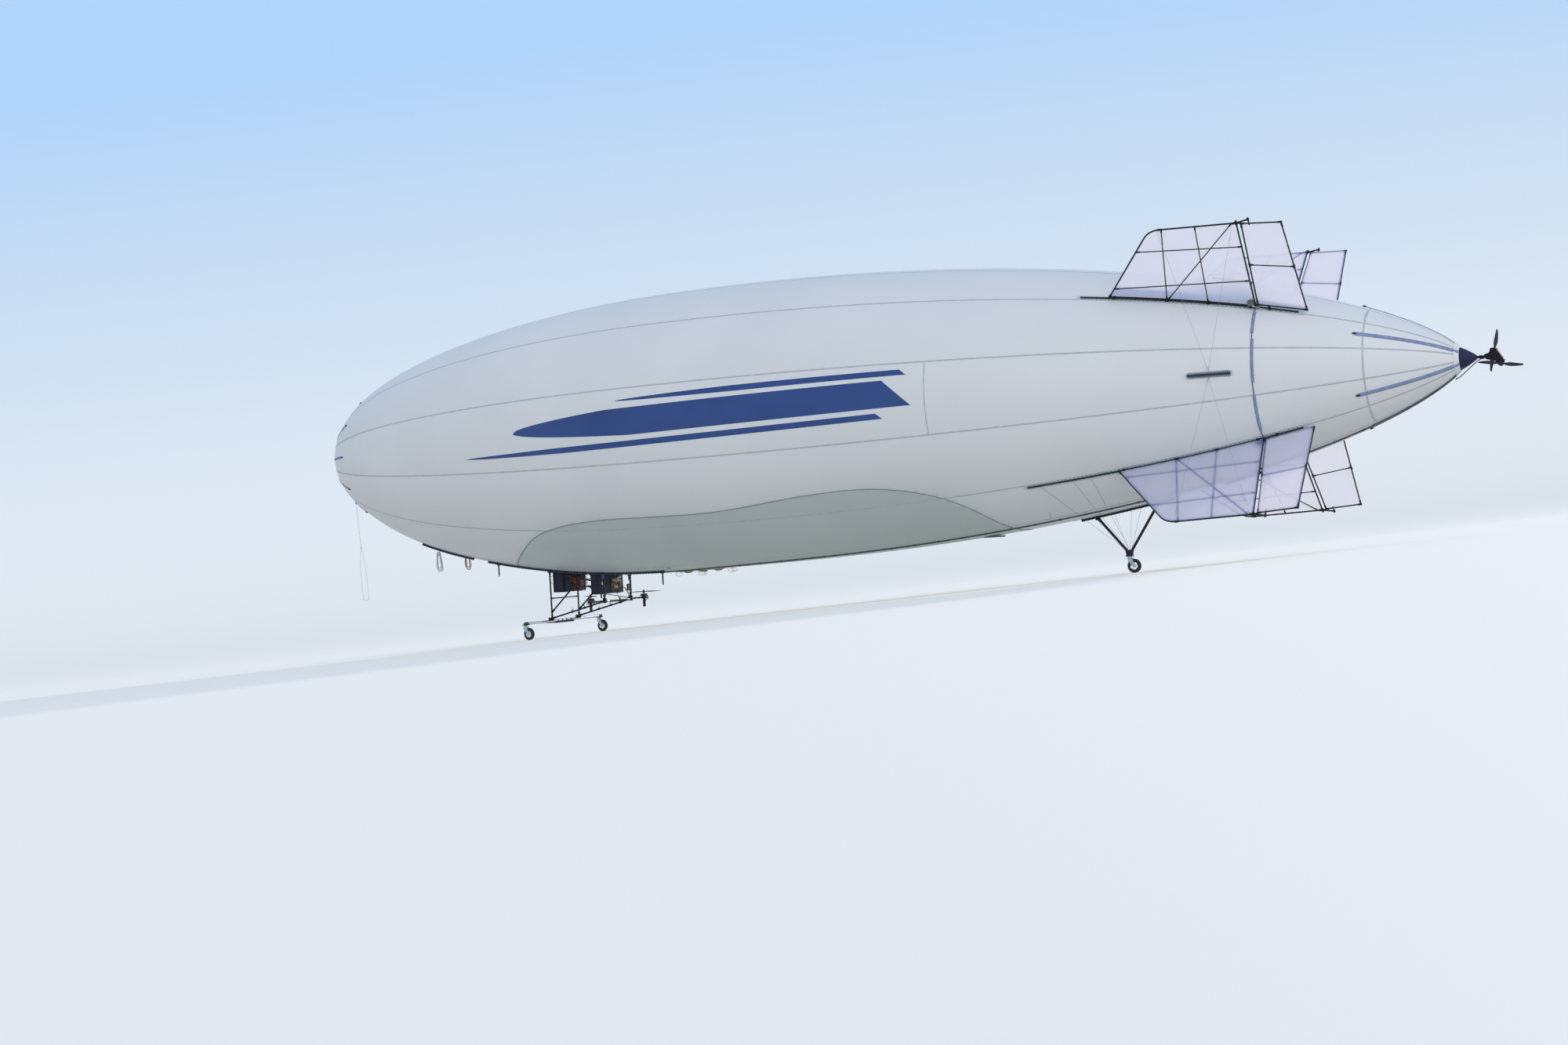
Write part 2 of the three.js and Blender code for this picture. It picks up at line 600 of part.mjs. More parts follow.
// Stay rods laced to the envelope midway between the fins, with their wires to the fin tips
const stayRods = [
  // name, angle of the rod, the two fins that it stays
  ['port', 90, finLean, 180 - finLean],
  ['starboard', -90, -finLean, finLean - 180],
  ['top', 0, finLean, -finLean],
  ['bottom', 180, 180 - finLean, finLean - 180],
];
for (const [name, angle, finA, finB] of stayRods) {
  const rodEnds = [stays.from, stays.to].map((s) => onHull(s, angle, stays.lift));
  const rod = bar(rodEnds[0], rodEnds[1], stays.radius);
  const feet = [stays.from + 30, stays.to - 30].map((s) => saddle(s, angle, stays.radius, stays.lift));
  const wires = [finA, finB].flatMap((finAngle) => {
    const tips = [[fin.tipFront + 90, fin.tipFrontReach - 2], [fin.tipRear - 40, fin.tipRearReach]];
    return tips.map(([s, reach], i) => {
      const towards = Math.sign(Math.sin((angle - finAngle) * RAD));
      const out = new THREE.Vector3(0, Math.sin(finAngle * RAD), Math.cos(finAngle * RAD));
      const side = new THREE.Vector3(0, Math.cos(finAngle * RAD), -Math.sin(finAngle * RAD));
      const face = towards === clothSide(finAngle) ? fin.tube + seatGap + fin.skin : fin.tube;
      const tip = at(s, 0, 0).addScaledVector(out, reach).addScaledVector(side, towards * (face + 2));
      const hold = rodEnds[i].clone().lerp(rodEnds[1 - i], stays.hold);
      return bar(hold, tip, stays.wire, 4);
    });
  });
  node(`stay_rod_${name}`, join([rod, ...feet, ...wires]).subtract(hullSpace), paint.carbon, hullGroup);
}

// Casters: each hangs level on a swivel axis that is upright when the airship is parked

function caster(name, station, side, height, holder) {
  const swivel = new THREE.Group();
  swivel.name = `pivot_caster_${name}`;
  swivel.position.copy(at(station, side, height));
  swivel.rotation.y = parkPitch;
  swivel.translateX(wheel.trail);
  holder.add(swivel);
  const cheekY = wheel.hub + 2.4;
  const top = wheel.radius + 14;
  const cheekOutline = [
    [wheel.trail - 16, 2], [wheel.trail - 9, -14], [wheel.trail + 9, -14], [wheel.trail + 16, 2],
    [24, top], [-24, top],
  ];
  const parts = [-1, 1].map((k) => plate(cheekOutline, 4, k * cheekY));
  parts.push(block(at(0, 0, top), 48, 2 * cheekY + 4, 6));
  parts.push(bar(at(0, 0, top), at(0, 0, top + 22), 19, 16));
  parts.push(bar(at(0, 0, top + 3), at(0, 0, top + 8), wheel.race, 16));
  parts.push(bar(at(0, 0, top + 11), at(0, 0, top + 17), wheel.race + 1, 16));
  parts.push(bar(at(wheel.trail, -cheekY - 7, 0), at(wheel.trail, cheekY + 7, 0), wheel.axle, 12));
  node(`caster_fork_${name}`, join(parts), paint.zinc, swivel);

  const spin = new THREE.Group();
  spin.name = `pivot_wheel_${name}`;
  spin.position.x = -wheel.trail;
  swivel.add(spin);
  const half = wheel.tread / 2;
  const bedFoot = wheel.rim - wheel.rimDepth;
  const bed = spun([[bedFoot, -half + 3], [wheel.rim, -half + 3], [wheel.rim, half - 3], [bedFoot, half - 3],
    [bedFoot, -half + 3]], 30);
  const hub = spun([[wheel.bore, -wheel.hub], [14, -wheel.hub], [16.5, -12], [16.5, 12], [14, wheel.hub],
    [wheel.bore, wheel.hub], [wheel.bore, -wheel.hub]], 20);
  const spokeEdge = [[14, -6], [28, -4.6], [bedFoot + 2, -9.5], [bedFoot + 2, 9.5], [28, 4.6], [14, 6]];
  const spoke = plate(spokeEdge, wheel.spokeThick);
  const spokes = steps(0, 360, wheel.spokes).slice(1).map((a) => (
    spoke.transform(new THREE.Matrix4().makeRotationY(a * RAD).toArray())));
  node(`rim_${name}`, join([bed, hub, ...spokes]), paint.rimWhite, spin);
  const tyre = spun([
    [wheel.rim + seatGap, -half + 2], [wheel.rim + 6, -half], [wheel.radius - 10, -half],
    [wheel.radius - 3, -half + 5], [wheel.radius, -8], [wheel.radius, 8], [wheel.radius - 3, half - 5],
    [wheel.radius - 10, half], [wheel.rim + 6, half],
    [wheel.rim + seatGap, half - 2], [wheel.rim + seatGap, -half + 2],
  ], 30);
  node(`tyre_${name}`, tyre, paint.tyre, spin);
  return top + 22;
}

// Turns a solid to stand level about a hull point, as the casters do
function levelled(body, centre) {
  const turn = new THREE.Matrix4().makeTranslation(centre.x, centre.y, centre.z)
    .multiply(new THREE.Matrix4().makeRotationY(parkPitch));
  return body.transform(turn.toArray());
}

let casterTop = 0;
for (const [name, sign] of [['port', 1], ['starboard', -1]]) {
  casterTop = caster(`front_${name}`, frontWheel.station, sign * frontWheel.side, frontWheel.height, hullGroup);
}
caster('tail', tailWheel.station, 0, tailWheel.height, hullGroup);

// Where a caster's swivel axis meets its bracket
function swivelHead(station, side, height) {
  const offset = new THREE.Vector3(wheel.trail, 0, casterTop + seatGap).applyAxisAngle(
    new THREE.Vector3(0, 1, 0), parkPitch);
  return at(station, side, height).add(offset);
}

// Front crossbar with a level pad over each caster
const barEnds = [-1, 1].map((k) => at(crossbar.station, k * crossbar.half, crossbar.height));
const crossParts = [bar(barEnds[0], barEnds[1], crossbar.radius, 12)];
for (const k of [-1, 1]) {
  const head = swivelHead(frontWheel.station, k * frontWheel.side, frontWheel.height);
  crossParts.push(levelled(block(new THREE.Vector3(0, 0, 4), 66, 92, 8), head));
}
node('caster_crossbar', join(crossParts), paint.alloy, hullGroup);

// Tail gear: two struts down to a bracket with a level pad
const tailHead = swivelHead(tailWheel.station, 0, tailWheel.height);
const tailPad = levelled(block(new THREE.Vector3(0, 0, 5), 80, 70, 10), tailHead);
const bracketTop = tailHead.clone().add(new THREE.Vector3(0, 0, 62));
const strutTops = [11327, 12047].map((s) => onHull(s, 180, rail.lift + rail.radius + 0.5));
const strutFeet = [bracketTop.clone().add(at(-24, 0, -6)), bracketTop.clone().add(at(24, 0, -6))];
const struts = strutTops.map((top, i) => bar(top, strutFeet[i], 16));
const lugs = strutTops.map((top) => block(top.clone().add(new THREE.Vector3(0, 0, -12)), 60, 36, 22));
const gearBracket = join([
  tailPad, ...struts, ...lugs,
  plate([[34, 0], [46, 66], [-46, 66], [-34, 0]], 44).transform(
    new THREE.Matrix4().makeTranslation(tailHead.x, 0, tailHead.z + 4).toArray()),
]);
const gearRailSpace = lacedRail(
  gearRail.from, gearRail.to, () => 180, rail.radius, rail.lift, 4, rail.pitch, seatGap);
node('tail_gear_struts', gearBracket.subtract(gearRailSpace).subtract(hullSpace), paint.carbon, hullGroup);

// Gondola frame
const g = gondola;
const frameBars = [];
const cutRails = [];
for (const k of [-1, 1]) {
  const y = k * g.side;
  const keelAngle = (s) => bellyAngle(s, y);
  const railPoint = (s) => onHull(s, keelAngle(s), rail.lift);
  const frontTop = railPoint(g.front);
  const rearTop = railPoint(g.rear);
  const braceTop = railPoint(g.braceTop);
  const frontFoot = at(g.front, y, g.frontFoot);
  const rearFoot = at(g.rear, y, g.rearFoot);
  frameBars.push(bar(frontTop, frontFoot, g.tube));
  frameBars.push(bar(rearTop, rearFoot, g.tube));
  frameBars.push(bar(frontFoot, rearFoot, g.tube));
  frameBars.push(bar(at(g.front, y, g.frontFoot + 80), braceTop, g.tube));
  frameBars.push(block(rearFoot, 54, 30, 54));
  frameBars.push(block(at(g.front - 16, y, g.frontFoot - 10), 76, 34, 44));
  for (const top of [frontTop, rearTop, braceTop]) {
    frameBars.push(block(top.clone().add(new THREE.Vector3(0, 0, -14)), 56, 34, 24));
  }
  cutRails.push(lacedRail(keel.from, keel.to, keelAngle, rail.radius, rail.lift, 9, rail.pitch, seatGap));
}
const ties = [
  bar(at(g.front, -g.side, -2100), at(g.front, g.side, -2100), g.tube - 3),
  bar(at(g.rear - 60, -g.side, g.rearFoot - 14), at(g.rear - 60, g.side, g.rearFoot - 14), g.tube - 3),
];
const axleBore = bar(at(g.rear, -400, g.rearFoot), at(g.rear, 400, g.rearFoot), axle.bore, 24);
const barSpace = bar(barEnds[0], barEnds[1], crossbar.radius + seatGap, 12);
const frame = [axleBore, barSpace, ...cutRails, hullSpace].reduce((whole, cut) => whole.subtract(cut),
  join([...frameBars, ...ties]));
node('gondola_frame', frame, paint.carbon, hullGroup);

// Two open pans side by side
function pan(from, starboard, port, inset, lift) {
  const length = tray.to - from - 2 * inset;
  const centre = at((from + tray.to) / 2, (starboard + port) / 2, tray.top - tray.thick / 2 + lift);
  return block(centre, length, port - starboard - 2 * inset, tray.thick);
}
const pans = [
  // its front, starboard edge and port edge
  [tray.from, -tray.side, tray.shared],
  [tray.portFrom, tray.shared - tray.wall, tray.side],
];
const hollows = pans.map(([from, starboard, port]) => pan(from, starboard, port, tray.wall, tray.wall));
const trayBody = join(pans.map(([from, starboard, port]) => pan(from, starboard, port, 0, 0)));
node('gondola_tray', hollows.reduce((whole, cut) => whole.subtract(cut), trayBody).subtract(barSpace),
  paint.black, hullGroup);

// Each box hangs from two flat bars that lie across the keel rails
for (const [name, from, length, half, drop, height] of boxes) {
  const middle = from + length / 2;
  const railFoot = onHull(middle, bellyAngle(middle, g.side), rail.lift).z - rail.radius;
  const centre = railFoot - drop - height / 2;
  const body = block(at(middle, 0, centre), length, 2 * half, height);
  const fittings = boxFittings.filter(([box]) => box === name).map(([, side, up, wide, high, reach]) => (
    block(at(from + length + reach / 2 - 2, side, centre + up), reach + 4, wide, high)));
  const hangers = [-1, 1].map((k) => (
    block(at(middle + k * length * 0.3, 0, railFoot - 2), 26, 2 * g.side + 34, 14)));
  const whole = join([body, ...fittings, ...hangers]);
  const hung = [...cutRails, hullSpace].reduce((left, cut) => left.subtract(cut), whole);
  node(`equipment_box_${name}`, hung, paint.navy, hullGroup);
}

// Thrust axle: turns in the two rear bearings
const axlePivot = new THREE.Group();
axlePivot.name = 'pivot_thrust_axle';
axlePivot.position.copy(at(g.rear, 0, g.rearFoot));
hullGroup.add(axlePivot);

// A blade's section is a lens with a flat underside, turned by its twist
function bladeSection(size, [share, chordShare, twist, thick]) {
  const chord = size.chord * chordShare;
  const lens = [[0.5, 0], [0.25, 0.75], [-0.1, 1], [-0.38, 0.6], [-0.5, 0], [0, -0.25]];
  return lens.map(([along, up]) => {
    const y = along * chord, z = (up - 0.4) * thick;
    return new THREE.Vector3(
      size.radius * share,
      y * Math.cos(twist * RAD) - z * Math.sin(twist * RAD),
      y * Math.sin(twist * RAD) + z * Math.cos(twist * RAD));
  });
}

function propeller(size) {
  const blade = lofted(bladeSections.map((row) => bladeSection(size, row)));
  const opposite = blade.transform(new THREE.Matrix4().makeRotationZ(Math.PI).toArray());
  const half = size.hubHeight / 2;
  return join([bar(at(0, 0, -half), at(0, 0, half), size.hub, 16), blade, opposite]);
}

// A motor on the y axis: its foot, its can with a crown, and the shaft. A motor that is part
// of its carrier sinks into it.
function motorBody({ radius, height }, sink = 0) {
  const f = motorFoot;
  const shoulder = height - f.crown;
  return spun([
    [0, -sink], [radius * f.share, -sink], [radius * f.share, f.height], [radius, f.height], [radius, shoulder],
    [radius * f.crownShare, height], [f.shaft, height],
    [f.shaft, height + f.shaftHeight], [0, height + f.shaftHeight],
  ], 16);
}

const axleParts = [bar(at(0, -axle.half, 0), at(0, axle.half, 0), axle.radius, 16)];
for (const k of [-1, 1]) {
  const padMiddle = at(0, k * axle.pod, (axle.padTop - axle.padUnder) / 2);
  axleParts.push(block(padMiddle, axle.pad, axle.pad, axle.padTop + axle.padUnder));
  axleParts.push(bar(at(0, k * axle.pod, 0), at(0, k * axle.pod, -axle.controlLength), axle.controlRadius, 12));
}
node('thrust_axle', join(axleParts), paint.carbon, axlePivot);
for (const [name, sign] of [['port', 1], ['starboard', -1]]) {
  const y = sign * axle.pod;
  const seat = axle.padTop + seatGap;
  const upright = new THREE.Matrix4().makeTranslation(0, y, seat)
    .multiply(new THREE.Matrix4().makeRotationX(Math.PI / 2));
  node(`motor_${name}`, motorBody(liftMotor).transform(upright.toArray()), paint.black, axlePivot);

  const spin = new THREE.Group();
  spin.name = `pivot_propeller_${name}`;
  spin.position.set(0, y, seat + liftMotor.height + motorFoot.shaftHeight + seatGap + liftProp.hubHeight / 2);
  const propTurn = propeller(liftProp).transform(
    new THREE.Matrix4().makeRotationZ(-sign * 32 * RAD).toArray());
  node(`propeller_${name}`, propTurn, paint.carbon, spin);
  axlePivot.add(spin);
}

// Tail thruster: a neck and a triangular plate with a motor at each outer corner
const neck = bar(at(coneBase + cone.length + seatGap, 0, 0), at(15660, 0, 0), 14, 12);
const thrusterPlate = plate([
  [15636, 22], [15700, 84], [15752, 84], [15838, -66], [15806, -118], [15776, -104], [15650, -28],
], 26);
const thrusterParts = [neck, thrusterPlate];
for (const [name, station, height, side, blade] of yawMotors) {
  const shaftEnd = 13 + yawMotor.height + motorFoot.shaftHeight;
  const seated = new THREE.Matrix4().makeTranslation(-station, side * 13, height)
    .multiply(new THREE.Matrix4().makeRotationX(side > 0 ? 0 : Math.PI));
  thrusterParts.push(motorBody(yawMotor, 3).transform(seated.toArray()));
  const spin = new THREE.Group();
  spin.name = `pivot_thruster_propeller_${name}`;
  spin.position.copy(at(station, side * (shaftEnd + seatGap + tailProp.hubHeight / 2), height));
  const turn = new THREE.Matrix4().makeRotationY(-(90 - blade) * RAD)
    .multiply(new THREE.Matrix4().makeRotationX(Math.PI / 2));
  node(`thruster_propeller_${name}`, propeller(tailProp).transform(turn.toArray()), paint.carbon, spin);
  hullGroup.add(spin);
}
node('thruster_frame', join(thrusterParts), paint.carbon, hullGroup);

// The nose line hangs from its tab, and its loop is closed against its own single part
const down = new THREE.Vector3(0, 0, -1).applyAxisAngle(new THREE.Vector3(0, 1, 0), parkPitch);
const fore = new THREE.Vector3(1, 0, 0).applyAxisAngle(new THREE.Vector3(0, 1, 0), parkPitch);
const noseExit = tabFoot.clone().addScaledVector(down, noseTab.drop + seatGap);
const hang = (drop, shift) => noseExit.clone().addScaledVector(down, drop).addScaledVector(fore, shift);
const total = noseLine.single + noseLine.loop;
const linePoints = [
  hang(0, 0), hang(noseLine.single * 0.5, 0), hang(noseLine.single - 30, 0), hang(noseLine.single + 60, 14),
  hang(noseLine.single + 300, noseLine.half), hang(total - 60, noseLine.half), hang(total - 14, 32),
  hang(total, 0), hang(total - 14, -32), hang(total - 60, -noseLine.half),
  hang(noseLine.single + 300, -noseLine.half), hang(noseLine.single + 60, -14), hang(noseLine.single - 4, -7),
];
node('nose_line', sweep(linePoints, noseLine.radius, 44, 8), paint.rope, hullGroup);

// Each hank is a flat bundle of folded rope
for (const [name, sign] of [['port', 1], ['starboard', -1]]) {
  const top = onHull(hank.station, bellyAngle(hank.station, sign * bowRail.side), rail.lift + rail.radius - 3);
  const outline = new THREE.Shape();
  const r = hank.width / 2;
  outline.absarc(0, -hank.length + r, r, Math.PI, 2 * Math.PI, false);
  outline.absarc(0, -r * 0.55, r * 0.55, 0, Math.PI, false);
  outline.closePath();
  const extent = { depth: hank.thick, bevelEnabled: false, curveSegments: 6 };
  const geometry = new THREE.ExtrudeGeometry(outline, extent);
  geometry.translate(0, 0, -hank.thick / 2);
  geometry.rotateX(Math.PI / 2);
  geometry.rotateY(parkPitch);
  geometry.translate(top.x, top.y, top.z);
  node(`rope_hank_${name}`, solid(geometry).subtract(bowTube(sign, seatGap)), paint.rope, hullGroup);
}

// Stand the airship on the floor, its box centred on the origin
const group = new THREE.Group();
group.add(craft);
const cords = new Set(['nose_line', 'rope_hank_port', 'rope_hank_starboard']);
group.updateMatrixWorld(true);
const box = new THREE.Box3();
group.traverse((part) => {
  if (part.isMesh && !cords.has(part.name)) box.union(new THREE.Box3().setFromObject(part, true));
});
craft.position.set(-(box.min.x + box.max.x) / 2, 0, -box.min.z);

export default group;
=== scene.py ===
# %% [markdown]
# # A small crewless airship
#
# The CAD frame gives the pieces that carry, turn and fasten, at their real size. This lesson
# dresses that frame: the film of the envelope with its gores, the cloth fins, the laced rails,
# the gondola's tubes and cases, the casters, the motors and the cords. Every new shape is a
# surface that numpy works out as whole arrays, and each one goes where the frame says.

# %% Load the frame
import json
import math
import bpy
import bmesh
import numpy as np
from mathutils import Matrix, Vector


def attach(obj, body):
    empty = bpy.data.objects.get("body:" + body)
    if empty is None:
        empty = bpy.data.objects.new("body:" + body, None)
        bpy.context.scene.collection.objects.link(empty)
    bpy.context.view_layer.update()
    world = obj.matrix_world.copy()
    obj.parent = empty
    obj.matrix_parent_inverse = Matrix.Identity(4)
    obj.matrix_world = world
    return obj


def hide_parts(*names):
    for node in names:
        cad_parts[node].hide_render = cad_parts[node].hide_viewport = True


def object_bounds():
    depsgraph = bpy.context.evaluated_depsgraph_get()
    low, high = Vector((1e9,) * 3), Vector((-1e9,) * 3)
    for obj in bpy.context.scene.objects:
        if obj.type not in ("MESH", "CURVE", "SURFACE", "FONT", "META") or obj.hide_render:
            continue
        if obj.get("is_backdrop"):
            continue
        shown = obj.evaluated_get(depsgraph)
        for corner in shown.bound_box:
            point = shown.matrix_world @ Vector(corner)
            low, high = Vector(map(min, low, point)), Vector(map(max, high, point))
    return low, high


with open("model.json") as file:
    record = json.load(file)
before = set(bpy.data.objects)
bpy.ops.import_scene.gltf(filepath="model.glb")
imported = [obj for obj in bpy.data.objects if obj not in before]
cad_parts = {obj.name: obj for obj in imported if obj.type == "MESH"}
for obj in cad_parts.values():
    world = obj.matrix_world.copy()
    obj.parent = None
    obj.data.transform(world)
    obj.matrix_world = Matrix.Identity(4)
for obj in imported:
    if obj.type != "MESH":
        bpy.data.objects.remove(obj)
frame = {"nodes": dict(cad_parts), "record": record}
cad_box = [list(corner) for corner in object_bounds()]
nodes = frame["nodes"]
print("CAD nodes:", len(nodes), "box:", np.round(cad_box, 3).tolist())

# %% [markdown]
# ## The hull's own frame
#
# The parts of an airship are placed by stations: a distance aft of the nose, a distance to
# port, and a height over the hull's axis. The parked airship stands nose up on three casters,
# so one function turns those places by the parked pitch and moves them to the floor. The
# turn and the move come from the wheels, whose places the frame knows exactly.

# %% From hull places to the floor
FRONT_WHEEL = np.array([3.707, 0.834, -2.538])
TAIL_WHEEL = np.array([11.728, 0.0, -2.013])
PITCH = math.atan2(TAIL_WHEEL[2] - FRONT_WHEEL[2], TAIL_WHEEL[0] - FRONT_WHEEL[0])
HULL_TURN = np.array([
    [-math.cos(PITCH), 0.0, -math.sin(PITCH)],
    [0.0, 1.0, 0.0],
    [-math.sin(PITCH), 0.0, math.cos(PITCH)],
])
joints = {j["name"]: j for j in frame["record"]["behaviour"]["joints"]}
NOSE = np.array(joints["wheel_front_port_roll"]["pos_m"]) - HULL_TURN @ FRONT_WHEEL


def hull(points):
    """Hull places (station, side, height) in metres, as row-frame points: turned by the
    parked pitch, then moved so that station 0 is at the nose."""
    return np.asarray(points, float) @ HULL_TURN.T + NOSE


def hull_way(vector):
    """A direction given in stations, side and height, in the row frame."""
    return np.asarray(vector, float) @ HULL_TURN.T


AFT, PORT, UP = (hull_way(way) for way in np.eye(3))
HULL_AXES = np.stack([AFT, PORT, UP])
print("the nose stands at", np.round(NOSE, 3))
print("the hull is", round(math.degrees(PITCH), 2), "degrees nose up")

# %% [markdown]
# ## The camera
#
# The photograph looks at the port quarter from about 25 metres, with a normal lens. Parked on
# its wheels the airship is seen from floor level, with the same turn of the hull in the picture,
# so the camera is rolled by as much as the photographed hull was tilted.

# %% Camera
CAMERA_AT = np.array([-10.8, 20.67, 0.14])
CAMERA_HEADING = math.radians(-60.46)
CAMERA_TILT = math.radians(2.35)
CAMERA_ROLL = math.radians(-6.5)
LENS_MM = 43.3

forward = np.array([
    math.cos(CAMERA_TILT) * math.cos(CAMERA_HEADING),
    math.cos(CAMERA_TILT) * math.sin(CAMERA_HEADING),
    math.sin(CAMERA_TILT),
])
level = np.cross(forward, [0.0, 0.0, 1.0])
level /= np.linalg.norm(level)
over = np.cross(level, forward)
camera_x = math.cos(CAMERA_ROLL) * level + math.sin(CAMERA_ROLL) * over
camera_y = np.cross(-forward, camera_x)
turn = np.eye(4)
turn[:3, 0], turn[:3, 1], turn[:3, 2], turn[:3, 3] = camera_x, camera_y, -forward, CAMERA_AT
camera_data = bpy.data.cameras.new("camera")
camera_data.lens = LENS_MM
camera_data.clip_end = 400
camera = bpy.data.objects.new("camera", camera_data)
bpy.context.collection.objects.link(camera)
camera.matrix_world = Matrix(turn.tolist())
bpy.context.scene.camera = camera

# %% [markdown]
# ## Finishes from nodes
#
# A finish is a small graph: a Principled shader whose even values sit on its own sockets, and a
# few texture nodes that read the piece's own coordinates, so that the pattern turns and travels
# with the piece. Most real finishes are one paint or cast in two near tones that wander in soft
# spots, so two short functions make nearly all of them, and only cloth, carbon and film need more.

# %% Node helpers
def add(owner, kind, inputs=(), **settings):
    """A node in a material or world, with settings, and inputs that are values or sockets."""
    made = owner.node_tree.nodes.new(kind)
    for key, value in settings.items():
        setattr(made, key, value)
    for key, value in dict(inputs).items():
        if isinstance(value, bpy.types.NodeSocket):
            owner.node_tree.links.new(value, made.inputs[key])
        else:
            made.inputs[key].default_value = value
    return made


def maths(owner, operation, a, b=0.0, c=0.5):
    """One sum of two or three numbers."""
    return add(owner, "ShaderNodeMath", {0: a, 1: b, 2: c}, operation=operation).outputs[0]


def ramp(owner, value, *stops):
    """A colour that follows a value: each stop is a place between 0 and 1 and its colour."""
    made = add(owner, "ShaderNodeValToRGB", {"Fac": value})
    elements = made.color_ramp.elements
    for _ in stops[2:]:
        elements.new(1.0)
    for element, (at, colour) in zip(elements, stops):
        element.position = at
        element.color = (*colour, 1)
    return made.outputs["Color"]


def surface(name, colour, roughness, metallic=0.0, specular=0.5, **sockets):
    """A Principled surface whose even values sit on the shader's own sockets."""
    made = bpy.data.materials.new(name)
    made.use_nodes = True
    shader = made.node_tree.nodes["Principled BSDF"]
    shader.inputs["Base Color"].default_value = (*colour, 1)
    shader.inputs["Roughness"].default_value = roughness
    shader.inputs["Metallic"].default_value = metallic
    shader.inputs["Specular IOR Level"].default_value = specular
    for socket, value in sockets.items():
        shader.inputs[socket].default_value = value
    return made


def drive(material, socket, output):
    """Links an output to a socket of the material's shader."""
    shader = material.node_tree.nodes["Principled BSDF"]
    material.node_tree.links.new(output, shader.inputs[socket])


def places(material):
    """The piece's own coordinates in metres."""
    return add(material, "ShaderNodeTexCoord").outputs["Object"]


def noise(material, scale, detail=3.0, roughness=0.5):
    """Soft random spots, so many to the metre."""
    return add(material, "ShaderNodeTexNoise", {
        "Vector": places(material), "Scale": scale, "Detail": detail, "Roughness": roughness,
    }).outputs["Fac"]


def between(material, value, low, high, colours):
    """Two colours, the first below the low value and the second above the high one."""
    return ramp(material, value, (low, colours[0]), (high, colours[1]))


def vary(material, value, least, most):
    """The value spread from 0..1 to a range, for roughness."""
    inputs = {"Value": value, "To Min": least, "To Max": most}
    return add(material, "ShaderNodeMapRange", inputs).outputs["Result"]


def relief(material, height, depth, strength=1.0):
    """A bump of a depth in metres from a height between 0 and 1."""
    bump = add(material, "ShaderNodeBump", {"Height": height, "Distance": depth, "Strength": strength})
    drive(material, "Normal", bump.outputs["Normal"])


def finish(name, tones, roughness, scale=40.0, spread=(0.3, 0.7), rough=None, grain=None, **sockets):
    """A finish of one tone, or of two that wander in spots, so many to the metre. rough holds the
    least and greatest roughness and its spots to the metre, and grain a fine relief's marks to
    the metre, depth and strength."""
    made = surface(name, tones[0], roughness, **sockets)
    if len(tones) > 1:
        drive(made, "Base Color", between(made, noise(made, scale), *spread, tones))
    if rough:
        least, most, spots = rough
        drive(made, "Roughness", vary(made, noise(made, spots), least, most))
    if grain:
        marks, depth, strength = grain
        relief(made, noise(made, marks), depth, strength)
    return made


def plain(name, low, high, roughness, scale=40.0, metallic=0.0):
    """A finish of two near tones in spots, with a roughness that varies with them."""
    made = surface(name, low, roughness, metallic)
    spots = noise(made, scale)
    drive(made, "Base Color", between(made, spots, 0.35, 0.65, (low, high)))
    drive(made, "Roughness", vary(made, spots, roughness - 0.06, roughness + 0.08))
    return made


# %% [markdown]
# ## The light
#
# A wide pale sky gives most of the light, and its lower half stands for what the ground gives
# back. A low warm sun behind the airship comes through the cloth of the fins, and a very soft
# lamp from the camera's side opens the shadows, as the bright field does in the photograph.

# %% Light
SKY = [
    # share of the way from straight down to straight up, colour
    (0.40, (0.40, 0.44, 0.47)), (0.46, (0.80, 0.84, 0.87)), (1.0, (0.58, 0.70, 0.95)),
]
SKY_STRENGTH = 0.79
world = bpy.data.worlds.new("studio")
world.use_nodes = True
sky_way = add(world, "ShaderNodeTexCoord").outputs["Generated"]
sky_height = add(world, "ShaderNodeSeparateXYZ", {"Vector": sky_way}).outputs["Z"]
sky_colour = ramp(world, maths(world, "MULTIPLY_ADD", sky_height, 0.5, 0.5), *SKY)
background = world.node_tree.nodes["Background"]
world.node_tree.links.new(sky_colour, background.inputs["Color"])
background.inputs["Strength"].default_value = SKY_STRENGTH
bpy.context.scene.world = world


def sun(name, towards, strength, softness, colour):
    """A far lamp that shines along a direction; its softness is the width of its shadows' edges."""
    data = bpy.data.lights.new(name, "SUN")
    data.energy = strength
    data.angle = math.radians(softness)
    data.color = colour
    lamp = bpy.data.objects.new(name, data)
    bpy.context.collection.objects.link(lamp)
    way = np.asarray(towards, float)
    way /= np.linalg.norm(way)
    side = np.cross([0.0, 0.0, 1.0], -way)
    side /= np.linalg.norm(side)
    up = np.cross(-way, side)
    place = np.eye(4)
    place[:3, 0], place[:3, 1], place[:3, 2] = side, up, -way
    lamp.matrix_world = Matrix(place.tolist())


sun("key", (0.25, 1.0, -0.24), 1.75, 6, (1.0, 0.94, 0.86))
sun("fill", (1.2, -1.0, -0.25), 1.05, 90, (0.96, 0.98, 1.0))
bpy.context.scene.view_settings.view_transform = "Standard"

# %% [markdown]
# ## Shapes from arrays
#
# A shape is a list of points, the quads between them and a few caps. Each helper works out one
# family of surfaces: a grid, a tube along a path, a solid of revolution, a rounded slab and a
# cut plate. Shapes are merged before they become a mesh, so that a piece made of hundreds of
# small things is still one object.

# %% Shape helpers


